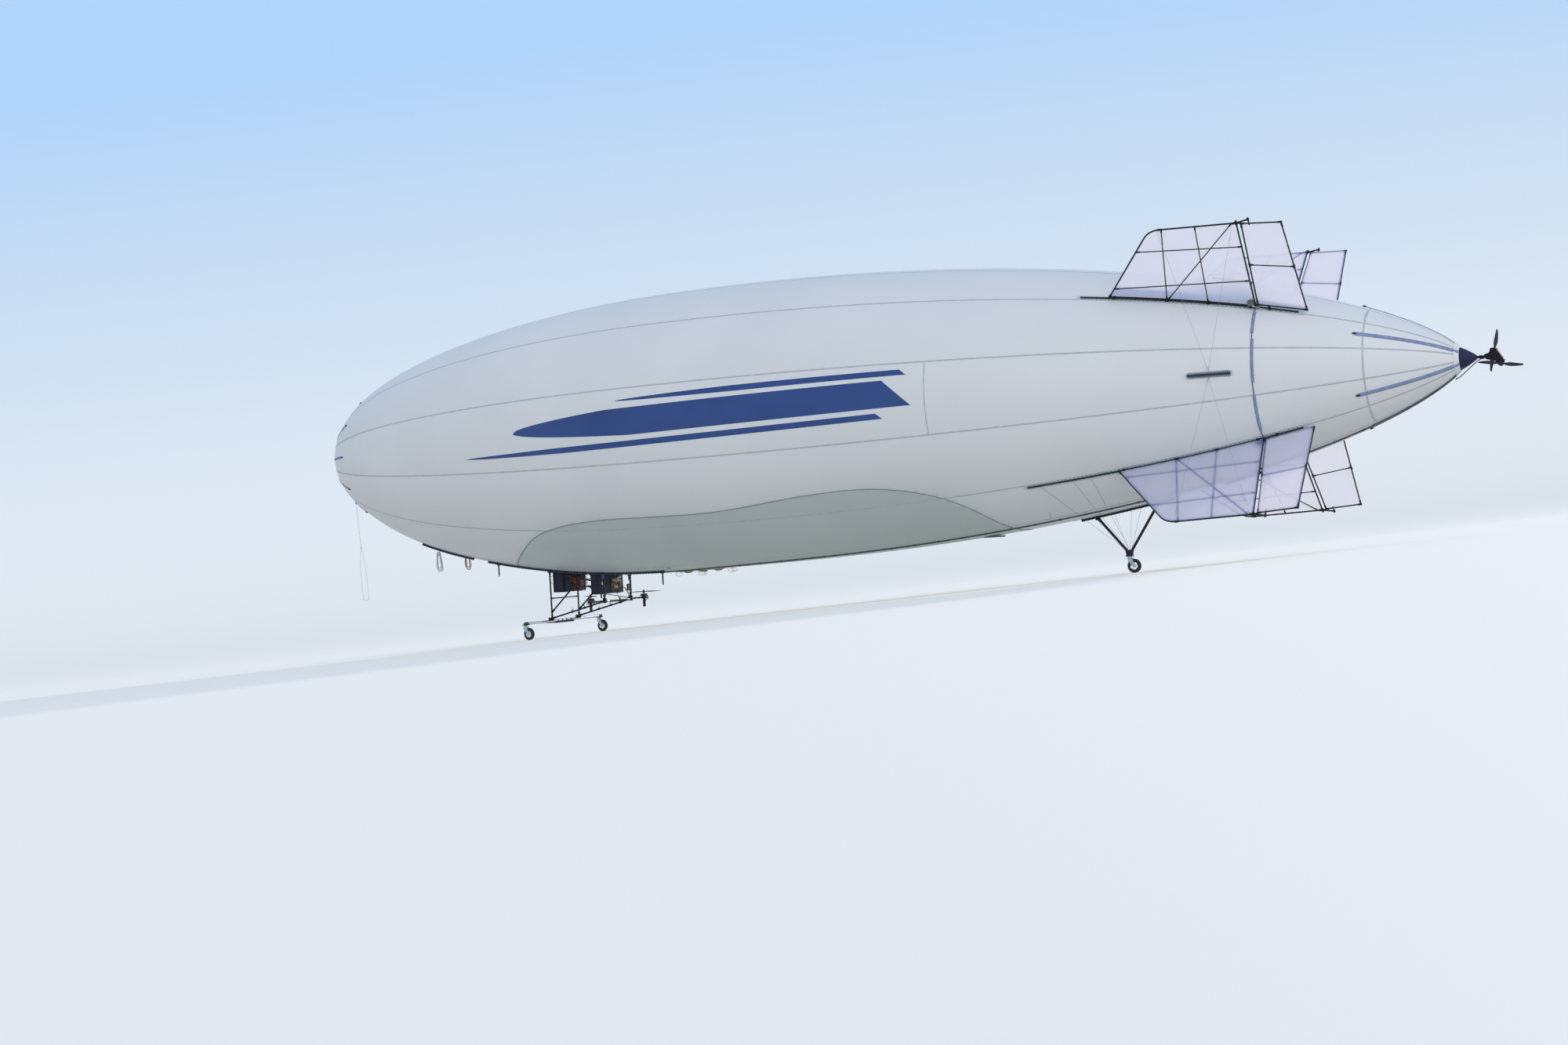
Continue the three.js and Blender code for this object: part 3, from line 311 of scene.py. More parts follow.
class Shape:
    """Points (n, 3), quads (m, 4) and caps, a list of rings of point numbers."""

    def __init__(self, points, quads, caps=()):
        self.points = np.asarray(points, float).reshape(-1, 3)
        self.quads = np.asarray(quads, int).reshape(-1, 4)
        self.caps = [np.asarray(cap, int) for cap in caps]

    def volume(self):
        """The signed volume: a sixth of the triple products of every triangle's corners."""
        a, b, c, d = (self.points[self.quads[:, i]] for i in range(4))
        total = np.einsum("ij,ij->", a, np.cross(b, c)) + np.einsum("ij,ij->", a, np.cross(c, d))
        for cap in self.caps:
            first, ring = self.points[cap[0]], self.points[cap]
            total += np.einsum("j,ij->", first, np.cross(ring[1:-1], ring[2:]))
        return total / 6

    def outward(self):
        """The same closed shape with its faces pointing out."""
        if self.volume() < 0:
            self.quads = self.quads[:, ::-1]
            self.caps = [cap[::-1] for cap in self.caps]
        return self

    def placed(self, matrix, move=(0, 0, 0)):
        """Every point times a 3 by 3 matrix, plus a move."""
        return Shape(self.points @ np.asarray(matrix, float).T + move, self.quads, self.caps)


def merge(shapes):
    """One shape of many: each one's numbers move on by the points before it."""
    starts = np.cumsum([0] + [len(s.points) for s in shapes])
    return Shape(
        np.concatenate([s.points for s in shapes]),
        np.concatenate([s.quads + start for s, start in zip(shapes, starts)]),
        [cap + start for s, start in zip(shapes, starts) for cap in s.caps],
    )


def grid(points, close_u=False, close_v=False):
    """Quads between neighbours of a (u, v) grid of points, closed round either way."""
    points = np.asarray(points, float)
    count_u, count_v = points.shape[:2]
    index = np.arange(count_u * count_v).reshape(count_u, count_v)
    if close_v:
        index = np.concatenate([index, index[:, :1]], 1)
    if close_u:
        index = np.concatenate([index, index[:1]], 0)
    corners = [index[:-1, :-1], index[1:, :-1], index[1:, 1:], index[:-1, 1:]]
    return Shape(points.reshape(-1, 3), np.stack(corners, -1).reshape(-1, 4))


def unit(vectors):
    """Vectors of length one."""
    vectors = np.asarray(vectors, float)
    return vectors / np.maximum(np.linalg.norm(vectors, axis=-1, keepdims=True), 1e-12)


def loft(rings):
    """A closed shape through rings of points (n, m, 3), with a cap on each end."""
    rings = np.asarray(rings, float)
    count, around = rings.shape[:2]
    shape = grid(rings, close_v=True)
    last = (count - 1) * around
    shape.caps = [np.arange(around)[::-1], np.arange(last, last + around)]
    return shape.outward()


def across(path):
    """Two directions across a path: the first is the tangent times the path's flattest
    direction, the second the tangent times the first."""
    path = np.asarray(path, float)
    tangent = unit(np.gradient(path, axis=0))
    flattest = np.linalg.svd(path - path.mean(0))[2][2]
    first = unit(np.cross(tangent, flattest))
    return first, np.cross(tangent, first)


def tube(path, radius, sides=10, closed=False):
    """A round tube: circles of the given radius set across each point of a path."""
    path = np.asarray(path, float)
    first, second = across(path)
    if closed:
        tangent = unit(np.roll(path, -1, 0) - np.roll(path, 1, 0))
        flattest = np.linalg.svd(path - path.mean(0))[2][2]
        first = unit(np.cross(tangent, flattest))
        second = np.cross(tangent, first)
    radius = np.broadcast_to(np.asarray(radius, float), len(path))[:, None, None]
    turn = np.arange(sides) * 2 * np.pi / sides
    rings = path[:, None] + radius * (
        np.cos(turn)[:, None] * first[:, None] + np.sin(turn)[:, None] * second[:, None])
    return grid(rings, close_u=True, close_v=True).outward() if closed else loft(rings)


def rod(a, b, radius, sides=12):
    """A straight round bar with softly rounded ends: four circles, the outer two smaller."""
    a, b = np.asarray(a, float), np.asarray(b, float)
    long = np.linalg.norm(b - a)
    ease = min(0.3 * radius, 0.2 * long) / long
    share = np.array([0, ease, 1 - ease, 1])[:, None]
    return tube(a + share * (b - a), radius * np.array([0.75, 1, 1, 0.75]), sides)


def lathe(profile, origin, axis, sides=24):
    """A solid of revolution: (along, radius) points turned about an axis."""
    profile = np.asarray(profile, float)
    axis = unit(axis)
    helper = np.eye(3)[np.argmin(np.abs(axis))]
    u = unit(np.cross(axis, helper))
    v = np.cross(axis, u)
    turn = np.arange(sides) * 2 * np.pi / sides
    round_ = np.cos(turn)[:, None] * u + np.sin(turn)[:, None] * v
    rings = np.asarray(origin) + profile[:, None, :1] * axis + profile[:, None, 1:] * round_
    if np.allclose(profile[0], profile[-1]):
        return grid(rings[:-1], close_u=True, close_v=True).outward()
    return loft(rings)


def slab(centre, size, radius, axes=np.eye(3), arc=3):
    """A box with rounded edges: rings of a rounded rectangle whose corner circles grow by the
    sine of an angle while the ring rises by its cosine."""
    half = np.asarray(size, float) / 2
    radius = min(radius, 0.98 * half.min())
    corner = np.array([(1, 1), (-1, 1), (-1, -1), (1, -1)])
    angles = np.linspace(0, np.pi / 2, arc)
    around = np.concatenate([angles + q * np.pi / 2 for q in range(4)])
    middle = np.repeat(corner * (half[:2] - radius), arc, axis=0)
    edge = np.stack([np.cos(around), np.sin(around)], -1)
    rise = np.radians([25, 60, 90])
    rings = []
    for side in (-1, 1):
        for angle in rise if side < 0 else rise[::-1]:
            flat = middle + radius * math.sin(angle) * edge
            high = side * (half[2] - radius + radius * math.cos(angle))
            rings.append(np.column_stack([flat, np.full(len(flat), high)]))
    points = np.asarray(rings) @ np.asarray(axes, float) + np.asarray(centre, float)
    return loft(points)


def plate(outline, thick, origin, u, v, soften=0.0006):
    """A cut plate: an outline in the plane of u and v, given thickness along their normal.
    The outline is drawn in a little on both faces, which softens the edge."""
    outline = np.asarray(outline, float)
    middle = outline.mean(0)
    inner = middle + (outline - middle) * (1 - soften / np.abs(outline - middle).max())
    u, v = unit(u), unit(v)
    normal = np.cross(u, v)
    rings = []
    for flat, high in [(inner, -0.5), (outline, -0.4), (outline, 0.4), (inner, 0.5)]:
        rings.append(np.asarray(origin) + flat[:, :1] * u + flat[:, 1:] * v + high * thick * normal)
    return loft(rings)


def ring(at, way, half, inner, outer, sides=20):
    """A short band round a tube, half its length to either side."""
    return lathe(both_ways([(-half, inner), (-half, outer)]), at, way, sides)


def both_ways(half, closed=False):
    """A profile and its mirror image beyond it, and its start again where it is closed."""
    whole = [*half, *[(-along, radius) for along, radius in reversed(half)]]
    return whole + whole[:1] if closed else whole


def stud(at, way, heights, radius, top, sides=6):
    """The head of a screw or bolt: straight between two heights, then smaller at the third."""
    foot, shoulder, crown = heights
    return lathe([(foot, radius), (shoulder, radius), (crown, top)], at, way, sides)


def block(at, size, radius):
    """A box with rounded edges at a hull place, square to the hull."""
    return slab(hull(at), size, radius, HULL_AXES)


def repeat(shape, places, turns=None):
    """Copies of one shape at many places, each with its own 3 by 3 turn."""
    places = np.asarray(places, float)
    turns = np.broadcast_to(np.eye(3), (len(places), 3, 3)) if turns is None else np.asarray(turns)
    points = np.einsum("nij,mj->nmi", turns, shape.points) + places[:, None]
    step = len(shape.points)
    quads = shape.quads[None] + step * np.arange(len(places))[:, None, None]
    caps = [cap + step * i for i in range(len(places)) for cap in shape.caps]
    return Shape(points, quads, caps)


def new_object(name, shape, material, attributes):
    """A smooth mesh object from a shape, with numbers or vectors kept at its points."""
    mesh = bpy.data.meshes.new(name)
    faces = shape.quads.tolist() + [cap.tolist() for cap in shape.caps]
    mesh.from_pydata(shape.points.tolist(), [], faces)
    for key, values in attributes.items():
        kind, field = ("FLOAT_VECTOR", "vector") if np.ndim(values) == 2 else ("FLOAT", "value")
        mesh.attributes.new(key, kind, "POINT").data.foreach_set(field, np.ravel(values))
    mesh.shade_smooth()
    mesh.materials.append(material)
    made = bpy.data.objects.new(name, mesh)
    bpy.context.collection.objects.link(made)
    return made


def piece(name, shapes, material, slot, replaces=None, body="airship", sharp=35, **attributes):
    """One object from shapes: doubles merged, smooth except at sharp edges, riding on a body."""
    whole = merge(shapes if isinstance(shapes, list) else [shapes])
    made = new_object(name, whole, material, attributes)
    work = bmesh.new()
    work.from_mesh(made.data)
    bmesh.ops.remove_doubles(work, verts=work.verts, dist=1e-6)
    work.to_mesh(made.data)
    work.free()
    made.data.set_sharp_from_angle(angle=math.radians(sharp))
    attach(made, body)
    if replaces:
        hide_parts(replaces)
    print(f"{name}: {len(made.data.polygons)} faces")
    return made


# %% [markdown]
# ## The floor
#
# The floor is one pale sheet that turns up far behind the airship into a backdrop, so that no
# horizon competes with the hull. It glows a little, warm below and blue above, because a sheet
# of this size is lit from one side only and would otherwise fall off to grey.

# %% Floor and backdrop
FLOOR_REACH, WALL_FOOT, WALL_BEND = 400, -46, 14
FLOOR_GLOW, WALL_GLOW, WALL_HIGH = 0.14, 0.40, 26.0


def floor_sheet():
    """A floor that turns up by a quarter circle into a wall, square to the camera's heading."""
    bend = [(WALL_FOOT - WALL_BEND * math.sin(a), WALL_BEND - WALL_BEND * math.cos(a))
            for a in np.linspace(0.1, math.pi / 2, 14)]
    wall = [(WALL_FOOT - WALL_BEND, height) for height in (17, 20, 23, 26, 80)]
    run = np.array([(FLOOR_REACH, 0), (WALL_FOOT, 0), *bend, *wall])
    along = np.linspace(-FLOOR_REACH, FLOOR_REACH, 3)[:, None]
    x, y, z = np.broadcast_arrays(along, run[:, 0], run[:, 1])
    heading = CAMERA_HEADING + math.pi / 2
    c, s = math.cos(heading), math.sin(heading)
    return grid(np.stack([x * c - y * s, x * s + y * c, z], -1))


floor_paint = surface("pale_floor", (0.84, 0.83, 0.80), 0.9)
risen = add(floor_paint, "ShaderNodeAttribute", attribute_name="risen").outputs["Fac"]
for socket, low, high in [("Base Color", (0.84, 0.83, 0.80), (0.34, 0.46, 0.62)),
                          ("Emission Color", (1.0, 0.98, 0.80), (0.42, 0.68, 1.0))]:
    drive(floor_paint, socket, between(floor_paint, risen, 0, 1, (low, high)))
glow = maths(floor_paint, "MULTIPLY_ADD", risen, WALL_GLOW - FLOOR_GLOW, FLOOR_GLOW)
drive(floor_paint, "Emission Strength", glow)
sheet_shape = floor_sheet()
backdrop = new_object("floor", sheet_shape, floor_paint, {
    "risen": np.clip(sheet_shape.points[:, 2] / WALL_HIGH, 0, 1)})
backdrop.visible_shadow = False  # the low sun stands behind it
backdrop.visible_diffuse = False  # the sky's lower half stands for the light off the ground
backdrop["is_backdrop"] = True

# %% [markdown]
# ## The hull's surface
#
# Nearly every piece lies on the hull or is measured from it, so the hull is a formula before it
# is a mesh: a radius for each station, and a reach for each station and angle. Angles run from
# the top towards port, and the keel is at 180 degrees.

# %% Surfaces of the hull
HULL_RADIUS = 1.776
FULL_STATION = 6.051
HULL_LENGTH = 15.405
VIRTUAL_LENGTH = 15.483
NOSE_POWER = 0.4474
TAIL_INNER = 2.134
TAIL_OUTER = 0.6647
GORES = 12
GORE_SWELL = 0.009


def radius_at(station):
    """The hull's radius: a superellipse ahead of the fullest station, a power curve aft of it."""
    s = np.asarray(station, float)
    fore = 1 - np.clip(s, 0, FULL_STATION) / FULL_STATION
    aft = np.clip((s - FULL_STATION) / (VIRTUAL_LENGTH - FULL_STATION), 0, 1)
    nose = np.power(np.maximum(1 - fore**2, 0), NOSE_POWER)
    tail = np.power(np.maximum(1 - aft**TAIL_INNER, 0), TAIL_OUTER)
    return HULL_RADIUS * np.where(s <= FULL_STATION, nose, tail)


def reach_at(station, angle):
    """Radius plus the belly's sag under the gondola, plus the swell of each gore between its
    seams, which is the size of a sine over half a gore."""
    s, a = np.asarray(station, float), np.asarray(angle, float)
    r = radius_at(s)
    from_keel = np.abs(np.mod(a, 360) - 180)
    along = np.where(s < 3.9, 1 - np.exp(-((s / 0.9) ** 2)), np.exp(-(((s - 3.9) / 2.25) ** 2)))
    sag = 0.098 * along * (r / HULL_RADIUS) * np.exp(-((from_keel / 24) ** 4))
    swell = GORE_SWELL * (np.abs(np.sin(np.radians((a - 15) * GORES / 2))) - 0.6) * r / HULL_RADIUS
    return r + sag + swell


def on_hull(station, angle, lift=0.0):
    """Row-frame points on the envelope, at an angle from the top towards port."""
    s, a = np.broadcast_arrays(np.asarray(station, float), np.asarray(angle, float))
    r = reach_at(s, a) + lift
    return hull(np.stack([s, r * np.sin(np.radians(a)), r * np.cos(np.radians(a))], -1))


def belly_angle(station, side):
    """The angle of a belly point that lies at a given distance to port, by iteration."""
    angle = np.full(np.shape(station), 180.0)
    for _ in range(5):
        angle = 180 - np.degrees(np.arcsin(side / reach_at(station, angle)))
    return angle


def hull_out(angle):
    """The direction away from the axis at an angle from the top towards port."""
    a = np.radians(np.asarray(angle, float))
    return hull_way(np.stack([0 * a, np.sin(a), np.cos(a)], -1))


def hull_side(angle):
    """The direction round the hull in which the angle from the top grows."""
    a = np.radians(np.asarray(angle, float))
    return hull_way(np.stack([0 * a, np.cos(a), -np.sin(a)], -1))

# %% [markdown]
# ## Cords at the bow
#
# Three cords hang under the nose. The nose line is a thin braided cord that drops from its tab,
# then doubles into a long loop whose end is knotted back to itself. The two hanks are mooring
# ropes, wound in long turns and tied at the top to the bow rails. Ropes are modelled as real
# lengths that gravity has shaped, and each one takes the space of its plain CAD solid.

# %% Braided cord
def rope_finish(name, light, dark, pitch=0.03):
    """Braided cord: strands that wind round, from the cord's own angle and length. The strand
    wave is the sine of three times the angle less the length's turns."""
    made = surface(name, light, 0.85)
    angle = add(made, "ShaderNodeAttribute", attribute_name="round").outputs["Vector"]
    cosine, sine, length = add(made, "ShaderNodeSeparateXYZ", {"Vector": angle}).outputs
    turns = maths(made, "MULTIPLY", length, 2 * math.pi / pitch)
    left = maths(made, "MULTIPLY", sine, maths(made, "COSINE", turns))
    right = maths(made, "MULTIPLY", cosine, maths(made, "SINE", turns))
    wave = maths(made, "MULTIPLY_ADD", maths(made, "SUBTRACT", left, right), 0.5, 0.5)
    drive(made, "Base Color", between(made, wave, 0.1, 0.75, (dark, light)))
    relief(made, wave, 0.0012)
    return made


def along_path(path):
    """The length of a path up to each of its points."""
    steps = np.linalg.norm(np.diff(path, axis=0), axis=1)
    return np.concatenate([[0], np.cumsum(steps)])


def cord(name, path, radius, sides, braid, replaces=None, strands=3):
    """A rope's tube along a path, whose points know the cosine and sine of the strands' angle
    and the length along the path."""
    turn = np.arange(sides) * 2 * np.pi / sides * strands
    parts = np.broadcast_arrays(np.cos(turn), np.sin(turn), along_path(path)[:, None])
    winding = np.stack(parts, -1).reshape(-1, 3)
    return piece(name, tube(path, radius, sides), braid, "rope", replaces, round=winding)


nose_cord = rope_finish("nose_cord", (0.74, 0.75, 0.74), (0.38, 0.39, 0.40), pitch=0.012)
pale_rope = rope_finish("pale_rope", (0.72, 0.73, 0.72), (0.40, 0.42, 0.43))
tan_rope = rope_finish("tan_rope", (0.66, 0.56, 0.42), (0.36, 0.28, 0.19))

# %% The nose line
def smooth_path(points, count):
    """A Catmull-Rom curve through points: on each span a cubic whose slopes are half the
    distance between the neighbours."""
    p = np.asarray(points, float)
    ends = np.concatenate([[2 * p[0] - p[1]], p, [2 * p[-1] - p[-2]]])
    at = np.linspace(0, len(p) - 1, count)
    i = np.minimum(at.astype(int), len(p) - 2)
    t = (at - i)[:, None]
    a, b, c, d = ends[i], ends[i + 1], ends[i + 2], ends[i + 3]
    return 0.5 * (2 * b + (c - a) * t + (2 * a - 5 * b + 4 * c - d) * t**2 + (3 * b - a - 3 * c + d) * t**3)


LINE_STATION, LINE_ANGLE = 0.400, 150
LINE_SINGLE, LINE_LOOP, LINE_HALF, LINE_THICK = 0.620, 0.760, 0.050, 0.005
TAB_DROP, TAB_GAP = 0.030, 0.0003
line_turn = math.radians(LINE_ANGLE)
tab_foot = hull([LINE_STATION, *(radius_at(LINE_STATION) * np.array([
    math.sin(line_turn), math.cos(line_turn)]))])
line_total = LINE_SINGLE + LINE_LOOP
line_route = [
    # drop below the tab, shift forward
    (0, 0), (LINE_SINGLE * 0.5, 0), (LINE_SINGLE - 0.03, 0), (LINE_SINGLE + 0.06, 0.014),
    (LINE_SINGLE + 0.3, LINE_HALF), (line_total - 0.06, LINE_HALF), (line_total - 0.014, 0.032),
    (line_total, 0), (line_total - 0.014, -0.032), (line_total - 0.06, -LINE_HALF),
    (LINE_SINGLE + 0.3, -LINE_HALF), (LINE_SINGLE + 0.06, -0.014), (LINE_SINGLE - 0.004, -0.007),
]
line_top = tab_foot - np.array([0, 0, TAB_DROP + TAB_GAP])
line_path = smooth_path([line_top + np.array([ahead, 0, -drop]) for drop, ahead in line_route], 260)
nose_line = cord("nose_line_cord", line_path, LINE_THICK / 2, 10, nose_cord, "nose_line")
KNOT_WIDE, KNOT_THICK, KNOT_LONG, KNOT_TURNS = 0.0072, 0.0052, 0.017, 3
knot_at = line_top + np.array([-0.0035, 0, -LINE_SINGLE + 0.006])
knot_turn = np.linspace(0, KNOT_TURNS * 2 * np.pi, 70)
knot_path = knot_at + np.stack([
    KNOT_WIDE * np.cos(knot_turn), KNOT_THICK * np.sin(knot_turn),
    -KNOT_LONG * knot_turn / knot_turn[-1]], -1)
nose_knot = cord("nose_line_knot", knot_path, 0.0021, 8, nose_cord)
tuple(line_path[0])

# %% The two hanks
HANK_STATION, HANK_LONG, HANK_ROPE, HANK_TURNS = 1.808, 0.330, 0.008, 6
BOW_SIDE, RAIL_RADIUS, RAIL_LIFT = 0.300, 0.013, 0.017
SIDES = [("port", 1), ("starboard", -1)]


def eased(path, step, rounds):
    """A path at even steps, each of whose points then moves by a quarter of its second
    difference, a few times over, so that a kink spreads into a bend."""
    along = along_path(path)
    at = np.linspace(0, along[-1], int(along[-1] / step))
    even = np.stack([np.interp(at, along, path[:, i]) for i in range(3)], -1)
    for _ in range(rounds):
        even[1:-1] += 0.25 * (even[2:] - 2 * even[1:-1] + even[:-2])
    return even


def hank_turn(top, bottom, long):
    """One turn of a hank, as side and height: a small arc at the top, a wide one below, and
    straight runs between them. Each arc is its radius times a cosine and a sine."""
    arcs = [(top, -top, np.linspace(90, 10, 4)), (bottom, bottom - long, np.linspace(0, -180, 8)),
            (top, -top, np.linspace(170, 115, 3))]
    return np.concatenate([
        np.stack([r * np.cos(np.radians(a)), middle + r * np.sin(np.radians(a))], -1)
        for r, middle, a in arcs])


def hank_path(top, sway):
    """Turns of rope hung from one point, each a little wider or longer than the last, and
    laid beside it across the rail."""
    turns = []
    for k in range(HANK_TURNS):
        spread = math.sin(1.9 * k + sway)
        flat = hank_turn(0.024 + 0.002 * spread, 0.040 + 0.012 * spread, HANK_LONG - 0.052 - 0.022 * (k % 3))
        deep = HANK_ROPE * 0.62 * (k + np.linspace(0, 1, len(flat), endpoint=False) - HANK_TURNS / 2)
        turns.append(np.stack([flat[:, 0], deep, flat[:, 1] - 0.018], -1))
    knots = np.concatenate(turns)
    return top + smooth_path(knots, HANK_TURNS * 90)


for name, sign in SIDES:
    braid = pale_rope if sign > 0 else tan_rope
    angle = belly_angle(np.array(HANK_STATION), sign * BOW_SIDE)
    seat = on_hull(HANK_STATION, angle, RAIL_LIFT + RAIL_RADIUS)
    coil = hank_path(seat, 0.6 * sign)
    lead = coil[0] + np.array([[-0.052, 0, 0.019], [-0.040, 0, 0.013], [-0.022, 0, 0.003]])
    path = eased(np.concatenate([lead, coil]), 0.007, 12)
    rope_long = round(float(along_path(path)[-1]), 2)
    rope = cord(f"rope_hank_turns_{name}", path, HANK_ROPE / 2, 9, braid, f"rope_hank_{name}")
    turn = np.linspace(0, 5 * 2 * np.pi, 110)
    wrap = seat + np.stack([
        0.032 * np.cos(turn), 0.023 * np.sin(turn), -0.048 - 0.026 * turn / turn[-1]], -1)
    tie = cord(f"rope_hank_tie_{name}", wrap, 0.0028, 8, braid)
    tuple(path[0])
    print("hank", name, rope_long, "m of rope")

# %% [markdown]
# ## The envelope
#
# The envelope is a bag of coated cloth cut in twelve gores and blown up with helium. Each gore
# bulges a little between its seams, the belly sags where the gondola hangs, and an air bag, the
# ballonet, lies inside against the belly and shows through as a darker field, with a painted
# shadow that fades outward from its edge. A surface of stations and angles gives all of it: the
# radius is one formula, and the swell, the sag, the ballonet's field and its painted shadow are
# numbers on the same grid.

# %% A strip of film on the hull


def film(station, angle, lift=0.0016, under=-0.002, ring=False):
    """A thin sheet on the envelope: a grid of stations and angles at the lift, and the same
    grid back again just under the surface, which closes the section."""
    s, a = np.broadcast_arrays(np.asarray(station, float), np.asarray(angle, float))
    rings = np.concatenate([on_hull(s, a, lift), on_hull(s[:, ::-1], a[:, ::-1], under)], axis=1)
    return grid(rings, close_u=True, close_v=True).outward() if ring else loft(rings)


def tape(stations, angle, width, **form):
    """A strip of one width along the hull: the half width over the radius is its half angle."""
    s = np.asarray(stations, float)
    half = np.degrees(width / 2 / np.maximum(radius_at(s), 0.03))
    across_ = np.array([-1.0, 0.0, 1.0])
    return film(s[:, None], np.asarray(angle, float).reshape(-1, 1) + half[:, None] * across_, **form)


def girth(station, width, angles, ring=False, **form):
    """A strip of one width round the hull at a station."""
    a = np.asarray(angles, float)[:, None]
    return film(station + width * np.array([-0.5, 0.0, 0.5]), a, ring=ring, **form)


def fit_stations(first, last, count):
    """Stations that crowd towards the ends of the hull, where it curves most: the nose's own
    by one minus a cosine, the tail's by a sine."""
    turn = np.linspace(0, 1, count)
    tail_share = (HULL_LENGTH - FULL_STATION) / HULL_LENGTH
    fore = FULL_STATION * (1 - np.cos(np.pi / 2 * np.clip(turn / (1 - tail_share), 0, 1)))
    aft = (HULL_LENGTH - FULL_STATION) * np.sin(np.pi / 2 * np.clip(1 - (1 - turn) / tail_share, 0, 1))
    every = fore + aft
    inside = every[(every > first) & (every < last)]
    return np.concatenate([[first], inside, [last]])


# %% The ballonet's outline
BALLONET = np.array([
    # station, degrees from the keel
    (3.03, 0), (3.20, 12), (3.66, 29), (4.26, 43.5), (5.23, 50.4), (6.90, 50.9),
    (8.30, 54.9), (9.20, 54.1), (9.87, 45.7), (10.26, 30.2), (10.49, 0),
])
ballonet_edge = smooth_path(np.column_stack([BALLONET, np.zeros(len(BALLONET))]), 300)[:, :2]
PAINTED_SHADOW_REACH = 0.13


def ballonet_shade(station, angle):
    """One inside the ballonet's outline, where it shows through the film as a darker field. Outside it
    a painted shadow fades with the distance to the nearest point of the outline, both measured on
    the unrolled skin."""
    from_keel = np.abs(np.mod(angle, 360) - 180)
    half = np.interp(station, ballonet_edge[:, 0], ballonet_edge[:, 1], left=-1, right=-1)
    run = ballonet_edge[:, 0]
    edge = np.column_stack([run, np.radians(ballonet_edge[:, 1]) * radius_at(run)])
    here = np.stack([station, np.radians(from_keel) * radius_at(station)], -1).reshape(-1, 2)
    away = np.full(len(here), 9.0)
    near = (here[:, 0] > 2) & (here[:, 0] < 11.6) & (from_keel.ravel() < 80)
    away[near] = np.sqrt(((here[near, None] - edge[None, ::2]) ** 2).sum(-1).min(1))
    away = away.reshape(station.shape)
    inside = from_keel < half
    # inside, the ballonet's darker field; outside, a painted shadow of its edge that fades away from it
    return np.where(inside, 1.0, 0.34 * np.exp(-away / PAINTED_SHADOW_REACH))


# %% Envelope film
film_white = surface("envelope_film", (0.82, 0.81, 0.79), 0.46)
shade = add(film_white, "ShaderNodeAttribute", attribute_name="shade").outputs["Fac"]
film_tone = between(film_white, noise(film_white, 0.55, 4.0), 0.3, 0.7,
                    ((0.745, 0.755, 0.762), (0.800, 0.805, 0.802)))
# the darker tone of the ballonet's field, which the painted shadow round its edge also takes on
ballonet_and_shadow_tone = between(film_white, noise(film_white, 0.8), 0.3, 0.7, ((0.50, 0.55, 0.535), (0.55, 0.60, 0.58)))
both_tones = add(film_white, "ShaderNodeMix", {0: shade, 6: film_tone, 7: ballonet_and_shadow_tone}, data_type="RGBA")
drive(film_white, "Base Color", both_tones.outputs[2])
drive(film_white, "Roughness", vary(film_white, noise(film_white, 9.0), 0.38, 0.52))
relief(film_white, noise(film_white, 3.0, 5.0, 0.62), 0.012, 0.22)

GRID_STATIONS, GRID_ANGLES = 228, 384
hull_stations = np.concatenate([fit_stations(0, HULL_LENGTH, GRID_STATIONS - 2), [HULL_LENGTH]])
hull_angles = np.arange(GRID_ANGLES) * 360 / GRID_ANGLES
envelope_s, envelope_a = np.meshgrid(hull_stations, hull_angles, indexing="ij")
envelope_points = on_hull(envelope_s, envelope_a)
envelope_points[0] = hull([0, 0, 0])
envelope_points[-1] = hull([HULL_LENGTH, 0, 0])
envelope_grid = grid(envelope_points, close_v=True).outward()
piece("envelope_skin", envelope_grid, film_white, "envelope", "envelope", sharp=60,
      shade=ballonet_shade(envelope_s, envelope_a).ravel())

# %% [markdown]
# ### Seams and edges
#
# Welded tapes cover the joints between the gores, a ring joint near the tail and one upright
# joint on each side. They are modelled as strips of film with a real edge, so that they catch
# light from any side, and the ballonet's edge is a thin welt that follows its outline.

# %% Seam tapes
SEAM_WIDTH, SEAM_FROM, SEAM_TO = 0.017, 0.10, 15.39
RING_JOINT, SIDE_JOINT, JOINT_WIDTH = 14.537, 9.957, 0.012
EYELET_STATION, EYELET_RADIUS, EYELET_WIDTH = 6.141, 0.052, 0.006
seam_grey = finish("seam_tape", ((0.44, 0.47, 0.50), (0.54, 0.57, 0.60)), 0.5, 14.0)
seam_run = fit_stations(SEAM_FROM, SEAM_TO, 150)
seams = [tape(seam_run, 15 + 30 * k, SEAM_WIDTH) for k in range(GORES)]
seams.append(girth(RING_JOINT, SEAM_WIDTH, np.arange(0, 360, 3), ring=True, lift=0.002))
for sign in (1, -1):
    seams.append(girth(SIDE_JOINT, JOINT_WIDTH, sign * np.linspace(75, 105, 16)))
for sign in (1, -1):
    for t in np.arange(0, 2 * np.pi, np.pi / 12):
        turned = sign * 90 + np.degrees(EYELET_RADIUS * math.sin(t) / HULL_RADIUS) + np.array([-0.12, 0.12])
        seams.append(girth(EYELET_STATION + EYELET_RADIUS * math.cos(t), EYELET_WIDTH, turned))
piece("seam_tapes", seams, seam_grey, "envelope")

WELT = 0.0065
welt_grey = finish("ballonet_welt", ((0.20, 0.24, 0.225), (0.31, 0.35, 0.33)), 0.7, 60.0, (0.35, 0.65))
welt_path = np.concatenate([
    on_hull(half[:, 0], 180 + side * half[:, 1], 0.001)
    for half, side in [(ballonet_edge[:-1], -1), (ballonet_edge[:0:-1], 1)]])
piece("ballonet_edge", tube(welt_path, WELT, 8, closed=True), welt_grey, "envelope")

# %% [markdown]
# ### The side bands
#
# The sides carry a plain livery of blue bands that rise aft with the waterline of the hull. The
# colour is a printed film: a thin sheet on the hull, cut with slanting ends.

